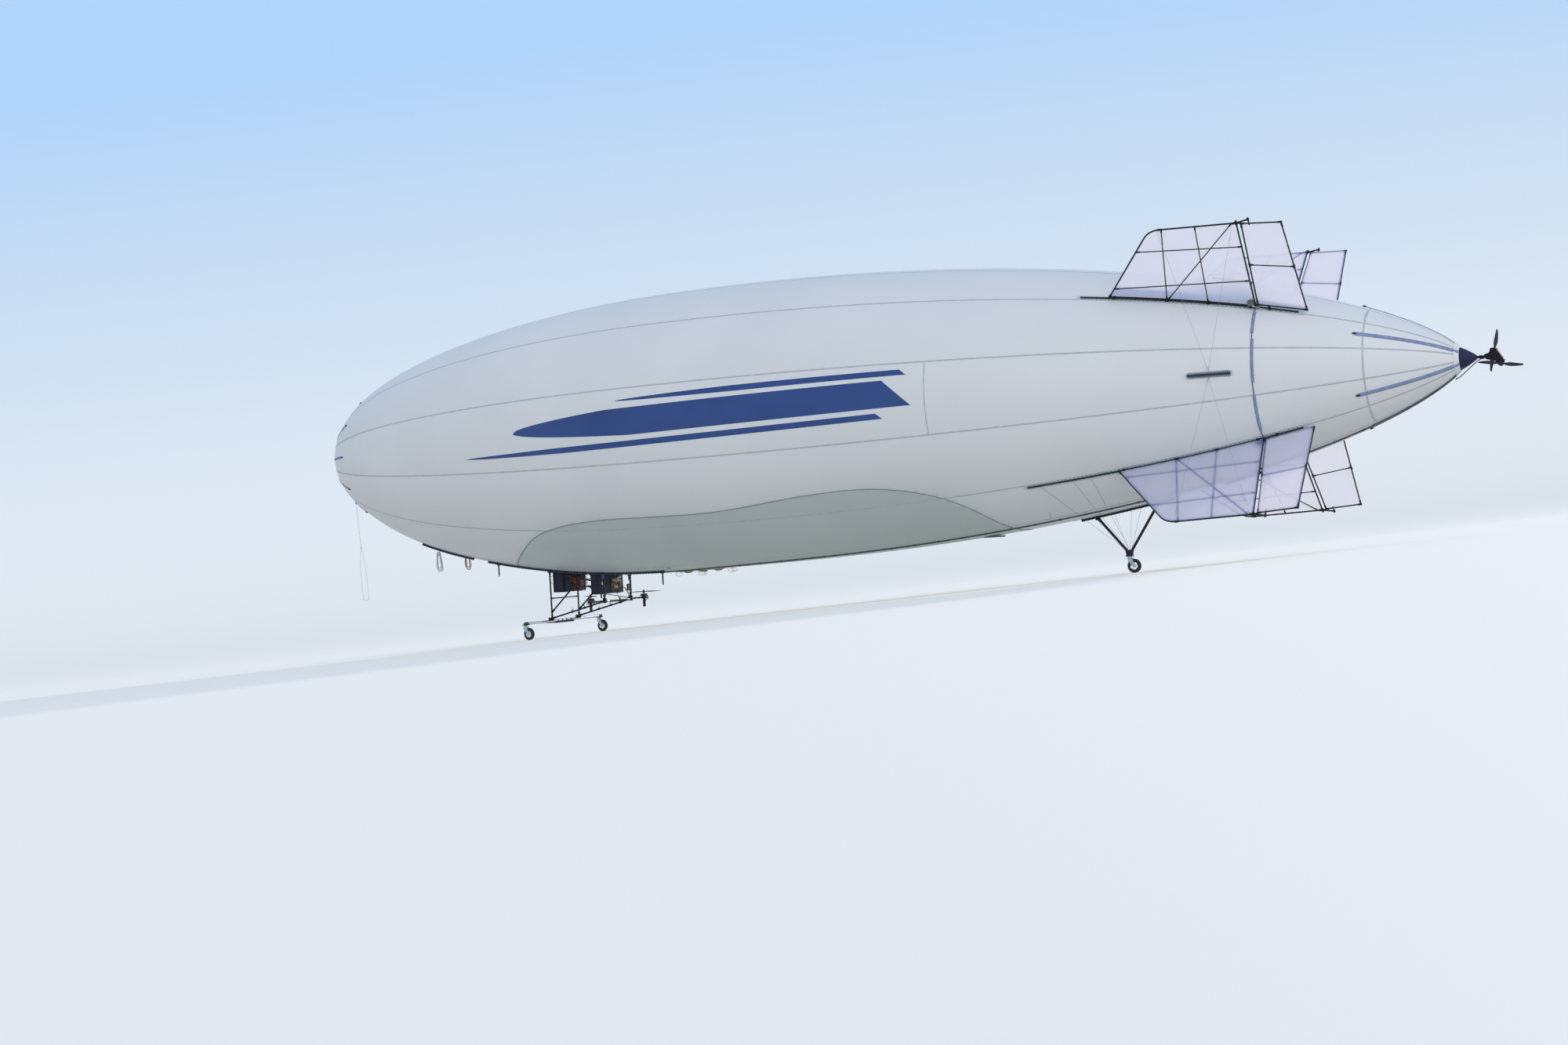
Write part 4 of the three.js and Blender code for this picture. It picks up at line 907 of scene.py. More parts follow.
# %% Blue bands
BANDS = [
    # first and last station, angle of its middle at the front and at the back, width, slant
    (4.30, 9.62, 89.2, 87.0, 0.330, 0.17),
    (3.45, 9.40, 98.4, 95.6, 0.070, 0.04),
    (5.90, 9.70, 80.0, 78.8, 0.070, 0.04),
]
TAPER = 1.6
band_blue = finish("side_band_film", ((0.013, 0.052, 0.21), (0.021, 0.072, 0.265)), 0.42, 1.1)


def side_band(sign, first, last, front, rear, width, slant):
    """A band on the hull's side: its half width grows from a point by the square root of the
    way along, then stays, and both its ends slant forward with height."""
    along = np.linspace(0, 1, 60)[:, None]
    up = np.linspace(-1, 1, 9)[None, :]
    start = np.sqrt(np.clip(along * (last - first) / TAPER, 0, 1))
    half = np.degrees(width / 2 / HULL_RADIUS) * np.maximum(start, 0.06)
    station = first + along * (last - first) - slant * up * start
    return film(station, sign * (front + along * (rear - front) - up * half), lift=0.0022, under=-0.001)


bands = [side_band(sign, *band) for sign in (1, -1) for band in BANDS]
piece("side_bands", bands, band_blue, "envelope")

# %% [markdown]
# ### Battens
#
# Stiff battens in cloth sleeves spread the loads at both ends: twelve short ones round the nose,
# six long ones that run to the tail cone. Each sleeve is a soft half round, fuller in its middle,
# with a black plug at its open end.

# %% Batten sleeves
sleeve_cloth = finish("sleeve_cloth", ((0.19, 0.245, 0.41), (0.27, 0.34, 0.52)), 0.62, 22.0)
weave = add(sleeve_cloth, "ShaderNodeTexWave", {
    "Vector": places(sleeve_cloth), "Scale": 130.0, "Distortion": 1.0})
relief(sleeve_cloth, weave.outputs["Fac"], 0.0006, 0.6)
plug_black = finish("end_plug", [(0.012, 0.013, 0.016)], 0.45, rough=(0.35, 0.6, 80.0))


def sleeve_strip(stations, angle, width, height):
    """A pillowy sleeve: across it the height is the size of a sine, and along it the sleeve
    is a little fuller between its stitches."""
    s = np.asarray(stations, float)
    share = np.linspace(0, 1, 9)
    full = 1 + 0.06 * np.sin(np.arange(len(s)) * 1.7)
    lift = height * np.sqrt(np.sin(np.pi * share))[None, :] * full[:, None] - 0.0015
    half = np.degrees(width / 2 / np.maximum(radius_at(s), 0.05))
    at = angle + half[:, None] * (2 * share - 1)[None, :]
    top = on_hull(s[:, None], at, lift)
    under = on_hull(s[:, None], at[:, ::-1], -0.003)
    return loft(np.concatenate([top, under], axis=1))


NOSE_BATTEN_END, TAIL_BATTEN_START = 0.66, 14.464
nose_run = np.concatenate([np.linspace(0.052, 0.2, 16), np.linspace(0.22, NOSE_BATTEN_END, 14)])
tail_run = np.linspace(TAIL_BATTEN_START, HULL_LENGTH - 0.002, 40)
nose_sleeves = [sleeve_strip(nose_run, 30 * k, 0.036, 0.010) for k in range(12)]
tail_sleeves = [sleeve_strip(tail_run, 60 * k, 0.048, 0.011) for k in range(6)]


def end_plug(station, angle, way, radius):
    """A rounded cap pushed into the end of a sleeve, lying on the hull."""
    foot, ahead = (on_hull(s, angle, radius * 0.5) for s in (station, station + way * 0.04))
    profile = np.array([(-0.012, 0.6), (-0.010, 1.0), (0.018, 1.0), (0.024, 0.92), (0.028, 0.6)])
    return lathe(profile * [1, radius], foot, ahead - foot, 12)


plugs = [end_plug(NOSE_BATTEN_END, 30 * k, 1, 0.011) for k in range(12)]
plugs += [end_plug(TAIL_BATTEN_START, 60 * k, -1, 0.012) for k in range(6)]

# %% Nose cap and its line tab
NOSE_AT = hull([0, 0, 0])
NOSE_CAP = [
    # station, share of the hull's radius there, lift
    (0.0745, 1.0, 0.0005), (0.0745, 1.0, 0.007), (0.060, 1.0, 0.009), (0.030, 1.0, 0.009),
    (0.010, 0.9, 0.012),
]
NOSE_TIP = [
    # station, radius
    (-0.004, 0.105), (-0.0085, 0.085), (-0.0118, 0.060), (-0.0120, 0.020),
]
cap_rings = [(s, share * radius_at(s) + lift) for s, share, lift in NOSE_CAP]
nose_cap = lathe([(0.022, 0.02), (0.045, 0.16), *cap_rings, *NOSE_TIP], NOSE_AT, AFT, 72)
line_tab = slab(tab_foot - [0, 0, TAB_DROP / 2 - 0.006], (0.024, 0.020, TAB_DROP + 0.012), 0.004)
tab_eye = ring(tab_foot - [0, 0, TAB_DROP - 0.010], [0, 1, 0], 0.012, 0.005, 0.008, 14)
piece("nose_batten_sleeves", nose_sleeves + [nose_cap, line_tab, tab_eye], sleeve_cloth, "batten",
      "nose_battens")

# %% Tail collar and cone
cone_navy = finish("tail_cone_shell", ((0.005, 0.010, 0.045), (0.012, 0.020, 0.075)), 0.42, 6.0,
                   rough=(0.34, 0.55, 30.0), specular=0.3)
CONE_BASE, CONE_LONG, CONE_TIP, CONE_CROWN = 15.4053, 0.164, 0.020, 0.006
cone_start = float(radius_at(HULL_LENGTH))
collar_rings = [(HULL_LENGTH - back, float(radius_at(HULL_LENGTH - back)) + lift)
                for back, lift in [(0.046, 0.006), (0.040, 0.009)]]
collar = lathe([(HULL_LENGTH - 0.046, 0.09), *collar_rings, (HULL_LENGTH - 0.004, cone_start + 0.009),
                (HULL_LENGTH, cone_start + 0.006), (HULL_LENGTH, 0.09)], NOSE_AT, AFT, 60)
piece("tail_batten_sleeves", tail_sleeves, sleeve_cloth, "batten", "tail_battens")
piece("tail_collar", collar, film_white, "batten", shade=np.zeros(len(collar.points)))


def cone_ring(share):
    """Station and radius of the cone's shell: a straight taper plus a sine for its crown."""
    radius = cone_start + (CONE_TIP - cone_start) * share + CONE_CROWN * math.sin(np.pi * share)
    return CONE_BASE + CONE_LONG * share, radius


cone_end = CONE_BASE + CONE_LONG
cone_profile = [(CONE_BASE, 0.02), (CONE_BASE, cone_start - 0.004), (CONE_BASE + 0.004, cone_start),
                *[cone_ring(share) for share in np.linspace(0, 1, 12)[1:-1]],
                (cone_end - 0.002, CONE_TIP + 0.0015), (cone_end, CONE_TIP - 0.002)]
cone_parts = [lathe(cone_profile, NOSE_AT, AFT, 60)]
for t in np.radians(np.arange(0, 360, 30)):
    out = np.array([0.55, math.sin(t), math.cos(t)])
    bolt_at = hull([CONE_BASE + 0.022, *(cone_start - 0.016) * out[1:]])
    cone_parts.append(stud(bolt_at, hull_way(out), (-0.004, 0.003, 0.0045), 0.006, 0.004))
piece("tail_cone_shell", cone_parts, cone_navy, "tail_cone", "tail_cone")
piece("batten_end_plugs", plugs, plug_black, "black_plastic")

# %% [markdown]
# ## Rails laced to the film
#
# Nothing is bolted to an envelope. Carbon tubes lie on welded patches and are laced down with
# cord, loop after loop, so that the load spreads along the patch. One function makes a rail: the
# tube, a plug in each end, a patch of doubled film below it and a loop of cord every few
# centimetres. The loops are the same small arc, repeated as one array.

# %% Carbon, cord and patch finishes
carbon = surface("carbon_tube", (0.010, 0.011, 0.013), 0.42, specular=0.28)
wound = add(carbon, "ShaderNodeTexWave", {
    "Vector": places(carbon), "Scale": 55.0, "Distortion": 2.5, "Detail": 2.0}).outputs["Fac"]
drive(carbon, "Base Color", between(carbon, wound, 0.3, 0.75,
                                    ((0.006, 0.0065, 0.008), (0.018, 0.019, 0.023))))
drive(carbon, "Roughness", vary(carbon, noise(carbon, 26.0), 0.36, 0.56))
relief(carbon, wound, 0.0002, 0.4)
lacing_cord = finish("lacing_cord", ((0.045, 0.070, 0.115), (0.13, 0.18, 0.27)), 0.8, 35.0, (0.35, 0.65))
patch_film = finish("rail_patch", ((0.47, 0.56, 0.565), (0.58, 0.655, 0.66)), 0.4, 5.0,
                    grain=(40.0, 0.002, 0.5))

# %% One laced rail
LACE_PITCH, LACE_CORD = 0.046, 0.0032


def lace_loops(stations, angles, radius, lift):
    """Cord loops over a tube that lies on the hull: each runs from the patch on one side, round
    the top of the tube by an arc, to the patch on the other side."""
    arc = np.radians(np.linspace(-20, 200, 9))
    foot = 2.9 * radius
    section = np.column_stack([np.cos(arc), np.sin(arc)]) * (radius + 0.7 * LACE_CORD) + [0, lift]
    section = np.concatenate([[[foot, -0.001]], section, [[-foot, -0.001]]])
    lean = np.linspace(-0.006, 0.006, len(section))
    loop = tube(np.column_stack([lean, section]), LACE_CORD, 5)
    forward = unit(on_hull(stations + 0.005, angles) - on_hull(stations - 0.005, angles))
    side = unit(np.cross(hull_out(angles), forward))
    turns = np.stack([forward, side, np.cross(forward, side)], -1)
    return repeat(loop, on_hull(stations, angles), turns)


def laced_rail(first, last, angle_of, radius, lift, past=0.11):
    """The tube with its end plugs, the patch below it and the loops of cord."""
    s = np.linspace(first, last, max(8, int((last - first) / 0.09)))
    path = on_hull(s, angle_of(s), lift)
    ends = [lathe([(-0.002, radius * 0.5), (-0.002, radius * 1.22), (0.018, radius * 1.22), (0.021, radius)],
                  path[i], path[j] - path[i], 12) for i, j in [(0, 1), (-1, -2)]]
    long = np.linspace(first - past, last + past, len(s) + 6)
    patch = tape(long, angle_of(long), 6.8 * radius + 0.012, lift=0.0024, under=-0.002)
    stations = np.arange(first + 0.03, last - 0.02, LACE_PITCH)
    return tube(path, radius, 12), ends, patch, lace_loops(stations, angle_of(stations), radius, lift)


# %% Keel rails, bow rails, tail gear rail
KEEL_FROM, KEEL_TO, KEEL_SIDE = 2.680, 5.530, 0.305
BOW_FROM, BOW_TO = 1.540, 2.420
GEAR_FROM, GEAR_TO = 11.128, 12.239
patches, loops, plug_ends = [], [], []


def keel_line(side):
    """The angle of a rail that keeps one distance from the keel's middle."""
    return lambda s: belly_angle(np.asarray(s, float), side)


def straight_line(angle):
    """The angle of a rail that stays at one angle."""
    return lambda s: angle + 0 * s


def own_rail(rail):
    """Keeps a rail's patch, loops and plugs for the shared pieces, and gives back its tube."""
    tube_, ends, patch, loop = rail
    patches.append(patch)
    loops.append(loop)
    plug_ends.extend(ends)
    return tube_


def aerial(station):
    """A whip that hangs from the port keel rail: a mast of three steps in a square clamp."""
    top = on_hull(station, keel_line(KEEL_SIDE)(station), RAIL_LIFT)
    mast = [(0, 0.011), (0.012, 0.013), (0.030, 0.013), (0.034, 0.0098), (0.150, 0.0094),
            (0.164, 0.0085), (0.168, 0.005)]
    return [lathe(mast, top, -UP, 16), slab(top, (0.050, 0.036, 0.032), 0.005)]


AERIALS = {"port": [2.849, 5.500], "starboard": []}
for name, sign in SIDES:
    for rail, first, last, side in [
        ("keel", KEEL_FROM, KEEL_TO, KEEL_SIDE), ("bow", BOW_FROM, BOW_TO, BOW_SIDE),
    ]:
        parts = [own_rail(laced_rail(first, last, keel_line(sign * side), RAIL_RADIUS, RAIL_LIFT))]
        for station in AERIALS[name] if rail == "keel" else []:
            parts += aerial(station)
        piece(f"{rail}_rail_{name}_tube", parts, carbon, "carbon_tube", f"{rail}_rail_{name}")
gear_tube = own_rail(laced_rail(GEAR_FROM, GEAR_TO, straight_line(180), RAIL_RADIUS, RAIL_LIFT))
piece("tail_gear_rail_tube", gear_tube, carbon, "carbon_tube", "tail_gear_rail")

# %% [markdown]
# ## Fins
#
# Four fins stand in an X. Each one is a flat frame of thin carbon tubes with cloth stretched over
# its upper side, so from below the tubes stand out black against lit cloth, and from above they
# show through it as soft lines. The cloth is a sheet between two curves, root and edge, and lets
# some of the light through.

# %% A fin's own plane
FIN = dict(root_front=11.945, root_rear=13.476, tip_front=12.608, tip_rear=13.531,
           front_reach=2.135, rear_reach=2.085, corner=0.120, tube=0.009, rib=0.006)
RUDDER = dict(root_front=(13.503, 1.003), root_rear=(13.994, 0.862), top_front=(13.577, 2.070),
              top_rear=(13.980, 2.026), tube=0.008)
HINGE_FOOT, HINGE_TOP = (13.610, 0.955), (13.660, 2.112)
FIN_RAIL_RADIUS, FIN_RAIL_LIFT = 0.009, 0.011
FINS = [
    # name, angle from the top, first and last station of its rail
    ("upper_port", 44, 11.623, 13.900), ("upper_starboard", -44, 11.623, 13.900),
    ("lower_port", 136, 10.903, 13.880), ("lower_starboard", -136, 10.903, 13.880),
]


def fin_plane(angle):
    """A function that places a station, a reach from the axis and a distance across the fin."""
    a = math.radians(angle)
    out, side = np.array([0, math.sin(a), math.cos(a)]), np.array([0, math.cos(a), -math.sin(a)])

    def place(station, reach, off=0.0):
        s, r, y = np.broadcast_arrays(*(np.asarray(v, float) for v in (station, reach, off)))
        return hull(s[..., None] * np.array([1.0, 0, 0]) + r[..., None] * out + y[..., None] * side)

    return place


def root_reach(station):
    """The reach of the fin's foot, just over the tube that it is lashed to."""
    return radius_at(station) + FIN_RAIL_LIFT + FIN_RAIL_RADIUS + FIN["tube"] - 0.006


def fin_outline():
    """The free edge as stations and reaches: the front edge, a corner rounded by a quadratic
    curve, and the tip."""
    low = np.array([FIN["root_front"], root_reach(FIN["root_front"])])
    corner = np.array([FIN["tip_front"], FIN["front_reach"]])
    rear = np.array([FIN["tip_rear"], FIN["rear_reach"]])
    into_edge = corner + (low - corner) * FIN["corner"] / np.linalg.norm(low - corner)
    into_tip = corner + (rear - corner) * FIN["corner"] / np.linalg.norm(rear - corner)
    t = np.linspace(0, 1, 9)[:, None]
    bend = (1 - t) ** 2 * into_edge + 2 * t * (1 - t) * corner + t**2 * into_tip
    front = low + np.linspace(0, 1, 12)[:-1, None] * (into_edge - low)
    tip = into_tip + np.linspace(0, 1, 12)[1:, None] * (rear - into_tip)
    return low, into_edge, into_tip, rear, np.concatenate([front, bend, tip])


FIN_LOW, INTO_EDGE, INTO_TIP, FIN_REAR, FIN_EDGE = fin_outline()
REAR_LOW = np.array([FIN["root_rear"], float(root_reach(FIN["root_rear"]))])


def lerp(a, b, share):
    """A share of the way from one place to another."""
    return np.asarray(a) + share * (np.asarray(b) - np.asarray(a))


RIBS = [
    # two ends, each a station and a reach
    (lerp(FIN_LOW, INTO_EDGE, 0.14), lerp(REAR_LOW, FIN_REAR, 0.31)),
    (lerp(FIN_LOW, INTO_EDGE, 0.77), lerp(REAR_LOW, FIN_REAR, 0.72)),
    ((12.560, float(root_reach(12.560))), lerp(INTO_TIP, FIN_REAR, 0.02)),
    ((12.990, float(root_reach(12.990))), lerp(INTO_TIP, FIN_REAR, 0.46)),
    ((12.575, float(root_reach(12.575))), lerp(INTO_TIP, FIN_REAR, 0.94)),
]


# %% Cloth for fins
def fin_cloth_finish():
    """Thin coated cloth: part of the light is scattered back, part comes through, and a little
    of what lies behind can be seen. Its saturated blue is partly the cloth's own tint and partly
    painted skylight for its shaded side, and the warm colour of what comes through is a painted
    warm tint of sunlight. The sheet is modelled with two faces, so the light passes freely from
    the inside of one to the other, and the two of them act as one sheet."""
    # the cloth's blue, here and below, is partly its own tint and partly painted skylight on its shaded side
    made = surface("fin_cloth", (0.55, 0.66, 0.93), 0.55, **{"Sheen Weight": 0.1})
    tree = made.node_tree
    shader, out = tree.nodes["Principled BSDF"], tree.nodes["Material Output"]
    threads = add(made, "ShaderNodeTexWave", {"Vector": places(made), "Scale": 170.0, "Distortion": 0.6})
    # painted skylight: these saturated blues stand for the sky's light on the cloth's shaded side
    tint_and_painted_sky_blues = ((0.15, 0.29, 0.90), (0.20, 0.34, 0.95))
    drive(made, "Base Color", between(made, noise(made, 3.5), 0.3, 0.7, tint_and_painted_sky_blues))
    relief(made, threads.outputs["Fac"], 0.0003, 0.5)
    # painted sunlight: the warm colour of the light through the cloth is a tint of the low sun
    through = add(made, "ShaderNodeBsdfTranslucent", {"Color": (1.0, 0.92, 0.82, 1)})
    clear = add(made, "ShaderNodeBsdfTransparent", {"Color": (0.96, 0.95, 1.0, 1)})
    free = add(made, "ShaderNodeBsdfTransparent", {"Color": (1.0, 1.0, 1.0, 1)})
    inner = tree.nodes.new("ShaderNodeNewGeometry").outputs["Backfacing"]
    half = add(made, "ShaderNodeMixShader", {0: 0.64, 1: shader.outputs[0], 2: through.outputs[0]})
    seen = add(made, "ShaderNodeMixShader", {0: 0.15, 1: half.outputs[0], 2: clear.outputs[0]})
    sheet = add(made, "ShaderNodeMixShader", {0: inner, 1: seen.outputs[0], 2: free.outputs[0]})
    tree.links.new(sheet.outputs[0], out.inputs["Surface"])
    return made


cloth = fin_cloth_finish()
CLOTH_THICK = 0.0012


def cloth_between(place, stations, low, high, off, rows=26):
    """A sheet between two curves: at each station a row of points from the lower curve to the
    upper one, with a shallow ripple, and the same rows again one thickness away."""
    s = np.asarray(stations, float)[:, None]
    t = np.linspace(0, 1, rows)[None, :]
    reach = np.asarray(low)[:, None] * (1 - t) + np.asarray(high)[:, None] * t
    still = np.sin(np.pi * t) * np.sin(np.pi * (s - s.min()) / (s.max() - s.min()))
    ripple = 0.0016 * still * (np.sin(9 * s + 5 * reach) + 0.7 * np.sin(17 * reach - 6 * s))
    way = math.copysign(1.0, off)
    face = place(s, reach, off + ripple)
    back = place(s[:, ::-1], reach[:, ::-1], off + ripple[:, ::-1] + way * CLOTH_THICK)
    return loft(np.concatenate([face, back], axis=1))


def flat_area(stations, low, high):
    """The area between two curves by the trapezium rule."""
    depth = np.asarray(high) - np.asarray(low)
    return float(np.sum((depth[1:] + depth[:-1]) / 2 * np.diff(stations)))


# %% Fin frames
def collar_on(point, way, long, radius, sides=12):
    """A short sleeve round a tube."""
    way = unit(way)
    return rod(np.asarray(point) - way * long / 2, np.asarray(point) + way * long / 2, radius, sides)


fitting_black = finish("fitting_black", [(0.006, 0.0065, 0.008)], 0.5, rough=(0.38, 0.62, 70.0),
                       specular=0.25)
servo_green = finish("servo_case", ((0.095, 0.125, 0.105), (0.145, 0.18, 0.155)), 0.5, 45.0,
                     grain=(220.0, 0.0004, 0.5))
SERVO_STATION = 13.440
LASHINGS = (11.99, 12.56, 12.99, 13.42)
fittings, servo_cases, servo_bright, cable_loops = [], [], [], []


def stretch_cloth(kind, name, place, stations, low, high, off, body):
    """Stretches the cloth of a fin or rudder over its tubes and works out its size when flat."""
    shape = cloth_between(place, stations, low, high, off)
    skin = piece(f"{kind}_cloth_{name}", shape, cloth, "fin_cloth", f"{kind}_skin_{name}", body)
    round(flat_area(stations, low, high), 3)


for name, angle, rail_from, rail_to in FINS:
    place = fin_plane(angle)
    cloth_side = -math.copysign(1.0, angle)
    low_at, edge_at, tip_at, rear_at, root_at, hinge_at, foot_at = (
        place(*spot) for spot in (FIN_LOW, INTO_EDGE, INTO_TIP, FIN_REAR, REAR_LOW, HINGE_TOP, HINGE_FOOT))
    root_s = np.linspace(FIN["root_front"], FIN["root_rear"], 16)
    tubes = [tube(place(FIN_EDGE[:, 0], FIN_EDGE[:, 1]), FIN["tube"], 12),
             tube(place(root_s, root_reach(root_s)), FIN["tube"], 12),
             rod(root_at, rear_at, FIN["tube"]), rod(rear_at, hinge_at, FIN["tube"])]
    for a, b in RIBS:
        tubes.append(rod(place(*a), place(*b), FIN["rib"], 10))
        fittings += [collar_on(place(*lerp(end, other, 0.022)), place(*other) - place(*end),
                               0.046, 0.0092, 10)
                     for end, other in [(a, b), (b, a)]]
    tubes.append(lathe([(-0.014, 0.010), (-0.014, 0.0148), (0.010, 0.0148), (0.018, 0.011)],
                       hinge_at, hinge_at - foot_at, 16))
    foot = on_hull(HINGE_FOOT[0], angle, -0.004)
    head = place(HINGE_FOOT[0], HINGE_FOOT[1] - 0.0005)
    up = np.linalg.norm(head - foot)
    tubes.append(lathe([(0, 0.020), (0.008, 0.020), (0.012, 0.0138), (up - 0.002, 0.0138), (up, 0.012)],
                       foot, head - foot, 16))
    tubes.append(own_rail(laced_rail(
        rail_from, rail_to, straight_line(angle), FIN_RAIL_RADIUS, FIN_RAIL_LIFT, past=0.05)))
    piece(f"fin_frame_{name}_tubes", tubes, carbon, "carbon_tube", f"fin_frame_{name}")

    axes = np.stack([AFT, hull_side(angle), hull_out(angle)])
    for at, way, long, radius in [
        (low_at, edge_at - low_at, 0.07, 0.0135), (rear_at, rear_at - root_at, 0.06, 0.0135),
        (rear_at, hinge_at - tip_at, 0.09, 0.0130), (root_at, rear_at - root_at, 0.07, 0.0135),
        (tip_at, rear_at - tip_at, 0.05, 0.0122),
    ]:
        fittings.append(collar_on(at, way, long, radius))
    fittings += [slab(place(s, root_reach(s) - 0.010), (0.044, 0.030, 0.034), 0.005, axes) for s in LASHINGS]

    box_reach = float(root_reach(SERVO_STATION))

    def by_servo(along, out, off):
        """A place by the servo: along the fin's foot, out from it, and away from the cloth."""
        return place(SERVO_STATION + along, box_reach + out, -cloth_side * off)

    away = -cloth_side * hull_side(angle)
    servo_cases += [slab(by_servo(0, 0.050, 0.024), (0.070, 0.043, 0.060), 0.006, axes),
                    slab(by_servo(0, 0.083, 0.024), (0.060, 0.034, 0.010), 0.003, axes)]
    for along in (-0.022, 0.022):
        screw_at = by_servo(along, 0.050, 0.0455)
        servo_bright.append(stud(screw_at, away, (-0.001, 0.002, 0.003), 0.004, 0.0025, 8))
    arm_at = by_servo(0.026, 0.030, 0.050)
    arm = [(-0.005, 0.006), (-0.005, 0.011), (0.004, 0.011), (0.006, 0.006)]
    link_foot = place(HINGE_FOOT[0] - 0.012, HINGE_FOOT[1] - 0.034, -0.018 * cloth_side)
    servo_bright += [lathe(arm, arm_at, away, 14), rod(arm_at, link_foot, 0.0028, 8)]
    t = np.linspace(-0.35, 1.15, 26) * np.pi
    loop_s, loop_reach = SERVO_STATION + 0.036, box_reach + 0.086
    cable_loops.append(tube(place(loop_s + 0.036 * np.cos(t), loop_reach + 0.034 * np.sin(t),
                                  -cloth_side * (0.026 + 0.010 * np.sin(t))), 0.0024, 7))
    fittings.append(ring(place(HINGE_FOOT[0], HINGE_FOOT[1] - 0.028), head - foot, 0.010, 0.014, 0.019, 16))

    stations = np.unique(np.concatenate([
        FIN_EDGE[:, 0], np.linspace(FIN["root_front"], FIN["tip_rear"], 60), [REAR_LOW[0]]]))
    high = np.interp(stations, FIN_EDGE[:, 0], FIN_EDGE[:, 1])
    rear_line = np.interp(stations, [REAR_LOW[0], FIN_REAR[0]], [REAR_LOW[1], FIN_REAR[1]])
    low = np.minimum(np.where(stations <= REAR_LOW[0], root_reach(stations), rear_line), high)
    off = cloth_side * (FIN["tube"] + 0.001)
    stretch_cloth("fin", name, place, stations, low, high, off, "airship")

print("fittings:", len(fittings))


# %% Rudders
def on_hinge(place, reach):
    """The place on a rudder's hinge line at a reach from the hull's axis."""
    share = (reach - HINGE_FOOT[1]) / (HINGE_TOP[1] - HINGE_FOOT[1])
    return place(*lerp(HINGE_FOOT, HINGE_TOP, share))


HINGE_PINS = [
    # reach of the pin's two ends, radius
    (2.040, HINGE_TOP[1] - 0.0155, 0.007), (HINGE_FOOT[1] + 0.0002, 0.985, 0.0075),
]
for name, angle, *_ in FINS:
    place = fin_plane(angle)
    cloth_side = -math.copysign(1.0, angle)
    axes = np.stack([AFT, hull_side(angle), hull_out(angle)])
    rf, rr, tr, tf = (np.array(RUDDER[key]) for key in ("root_front", "root_rear", "top_rear", "top_front"))
    mid_front, mid_rear = lerp(rf, tf, 0.5), lerp(rr, tr, 0.5)
    bars = [rod(place(*a), place(*b), RUDDER["tube"]) for a, b in [(rf, rr), (rr, tr), (tr, tf), (tf, rf)]]
    bars.append(rod(place(*mid_front), place(*mid_rear), FIN["rib"], 10))
    bars += [rod(on_hinge(place, a), on_hinge(place, b), radius) for a, b, radius in HINGE_PINS]
    for corner, *others in [(rf, rr, tf), (rr, rf, tr), (tr, tf, rr), (tf, tr, rf)]:
        bars += [collar_on(place(*lerp(corner, other, 0.03)), place(*other) - place(*corner), 0.05, 0.0112)
                 for other in others]
        bars.append(slab(place(*corner), (0.022, 0.022, 0.024), 0.006, axes))
    for end, other in [(mid_front, mid_rear), (mid_rear, mid_front)]:
        bars.append(collar_on(place(*lerp(end, other, 0.03)), place(*other) - place(*end), 0.05, 0.0095))
        bars.append(collar_on(place(*end), place(*tf) - place(*rf), 0.06, 0.0115))
    body = f"rudder_{name}"
    piece(f"rudder_frame_{name}_tubes", bars, carbon, "carbon_tube", f"rudder_frame_{name}", body)
    (rf_s, rf_r), (rr_s, rr_r), (tr_s, tr_r), (tf_s, tf_r) = rf, rr, tr, tf
    stations = np.unique(np.concatenate([np.linspace(rf_s, rr_s, 34), [tf_s, tr_s]]))
    low = np.interp(stations, [rf_s, rr_s], [rf_r, rr_r])
    high = np.maximum(np.interp(stations, [rf_s, tf_s, tr_s, rr_s], [rf_r, tf_r, tr_r, rr_r]), low)
    stretch_cloth("rudder", name, place, stations, low, high, cloth_side * (RUDDER["tube"] + 0.001),
                  body)

piece("fin_fittings", fittings, fitting_black, "black_plastic")
piece("servo_cases", servo_cases, servo_green, "equipment_case")

# %% [markdown]
# ## The gondola
#
# A light truss of carbon tubes hangs from the keel rails. It carries two wide cases with the
# batteries and the electronics, a tray between its front feet, an alloy crossbar with the two
# front casters, and at the back the axle of the thrust motors. Tubes end in moulded sockets, the
# cases have angles along their edges, and a loom of wires runs between them.

# %% Finishes of the gondola
alloy = finish("alloy_tube", [(0.62, 0.63, 0.65)], 0.3, rough=(0.24, 0.42, 120.0), metallic=0.9)
brushed = noise(alloy, 60.0, 2.0)
drive(alloy, "Base Color", between(alloy, brushed, 0.3, 0.7, ((0.52, 0.53, 0.55), (0.70, 0.71, 0.73))))
case_navy = finish("equipment_case", ((0.006, 0.009, 0.022), (0.015, 0.021, 0.042)), 0.5, 12.0,
                   rough=(0.42, 0.62, 40.0), grain=(260.0, 0.0003, 0.6), specular=0.28)
tray_black = finish("tray_black", [(0.016, 0.016, 0.018)], 0.5, rough=(0.36, 0.6, 30.0),
                    grain=(180.0, 0.0004, 0.5), specular=0.3)
red_wire = plain("red_wire", (0.22, 0.014, 0.012), (0.33, 0.026, 0.020), 0.4)
black_wire = plain("black_wire", (0.010, 0.010, 0.012), (0.022, 0.022, 0.025), 0.45)
blue_strap = plain("blue_strap", (0.020, 0.055, 0.20), (0.035, 0.085, 0.28), 0.7, 90.0)
board_brown = plain("circuit_board", (0.055, 0.034, 0.020), (0.12, 0.080, 0.045), 0.5, 120.0)
white_cap = plain("white_cap", (0.62, 0.68, 0.74), (0.74, 0.79, 0.84), 0.35)
beige = plain("terminal_block", (0.30, 0.25, 0.17), (0.46, 0.39, 0.28), 0.5, 60.0)
brass = plain("brass", (0.42, 0.29, 0.11), (0.55, 0.40, 0.17), 0.35, 80.0, 0.9)

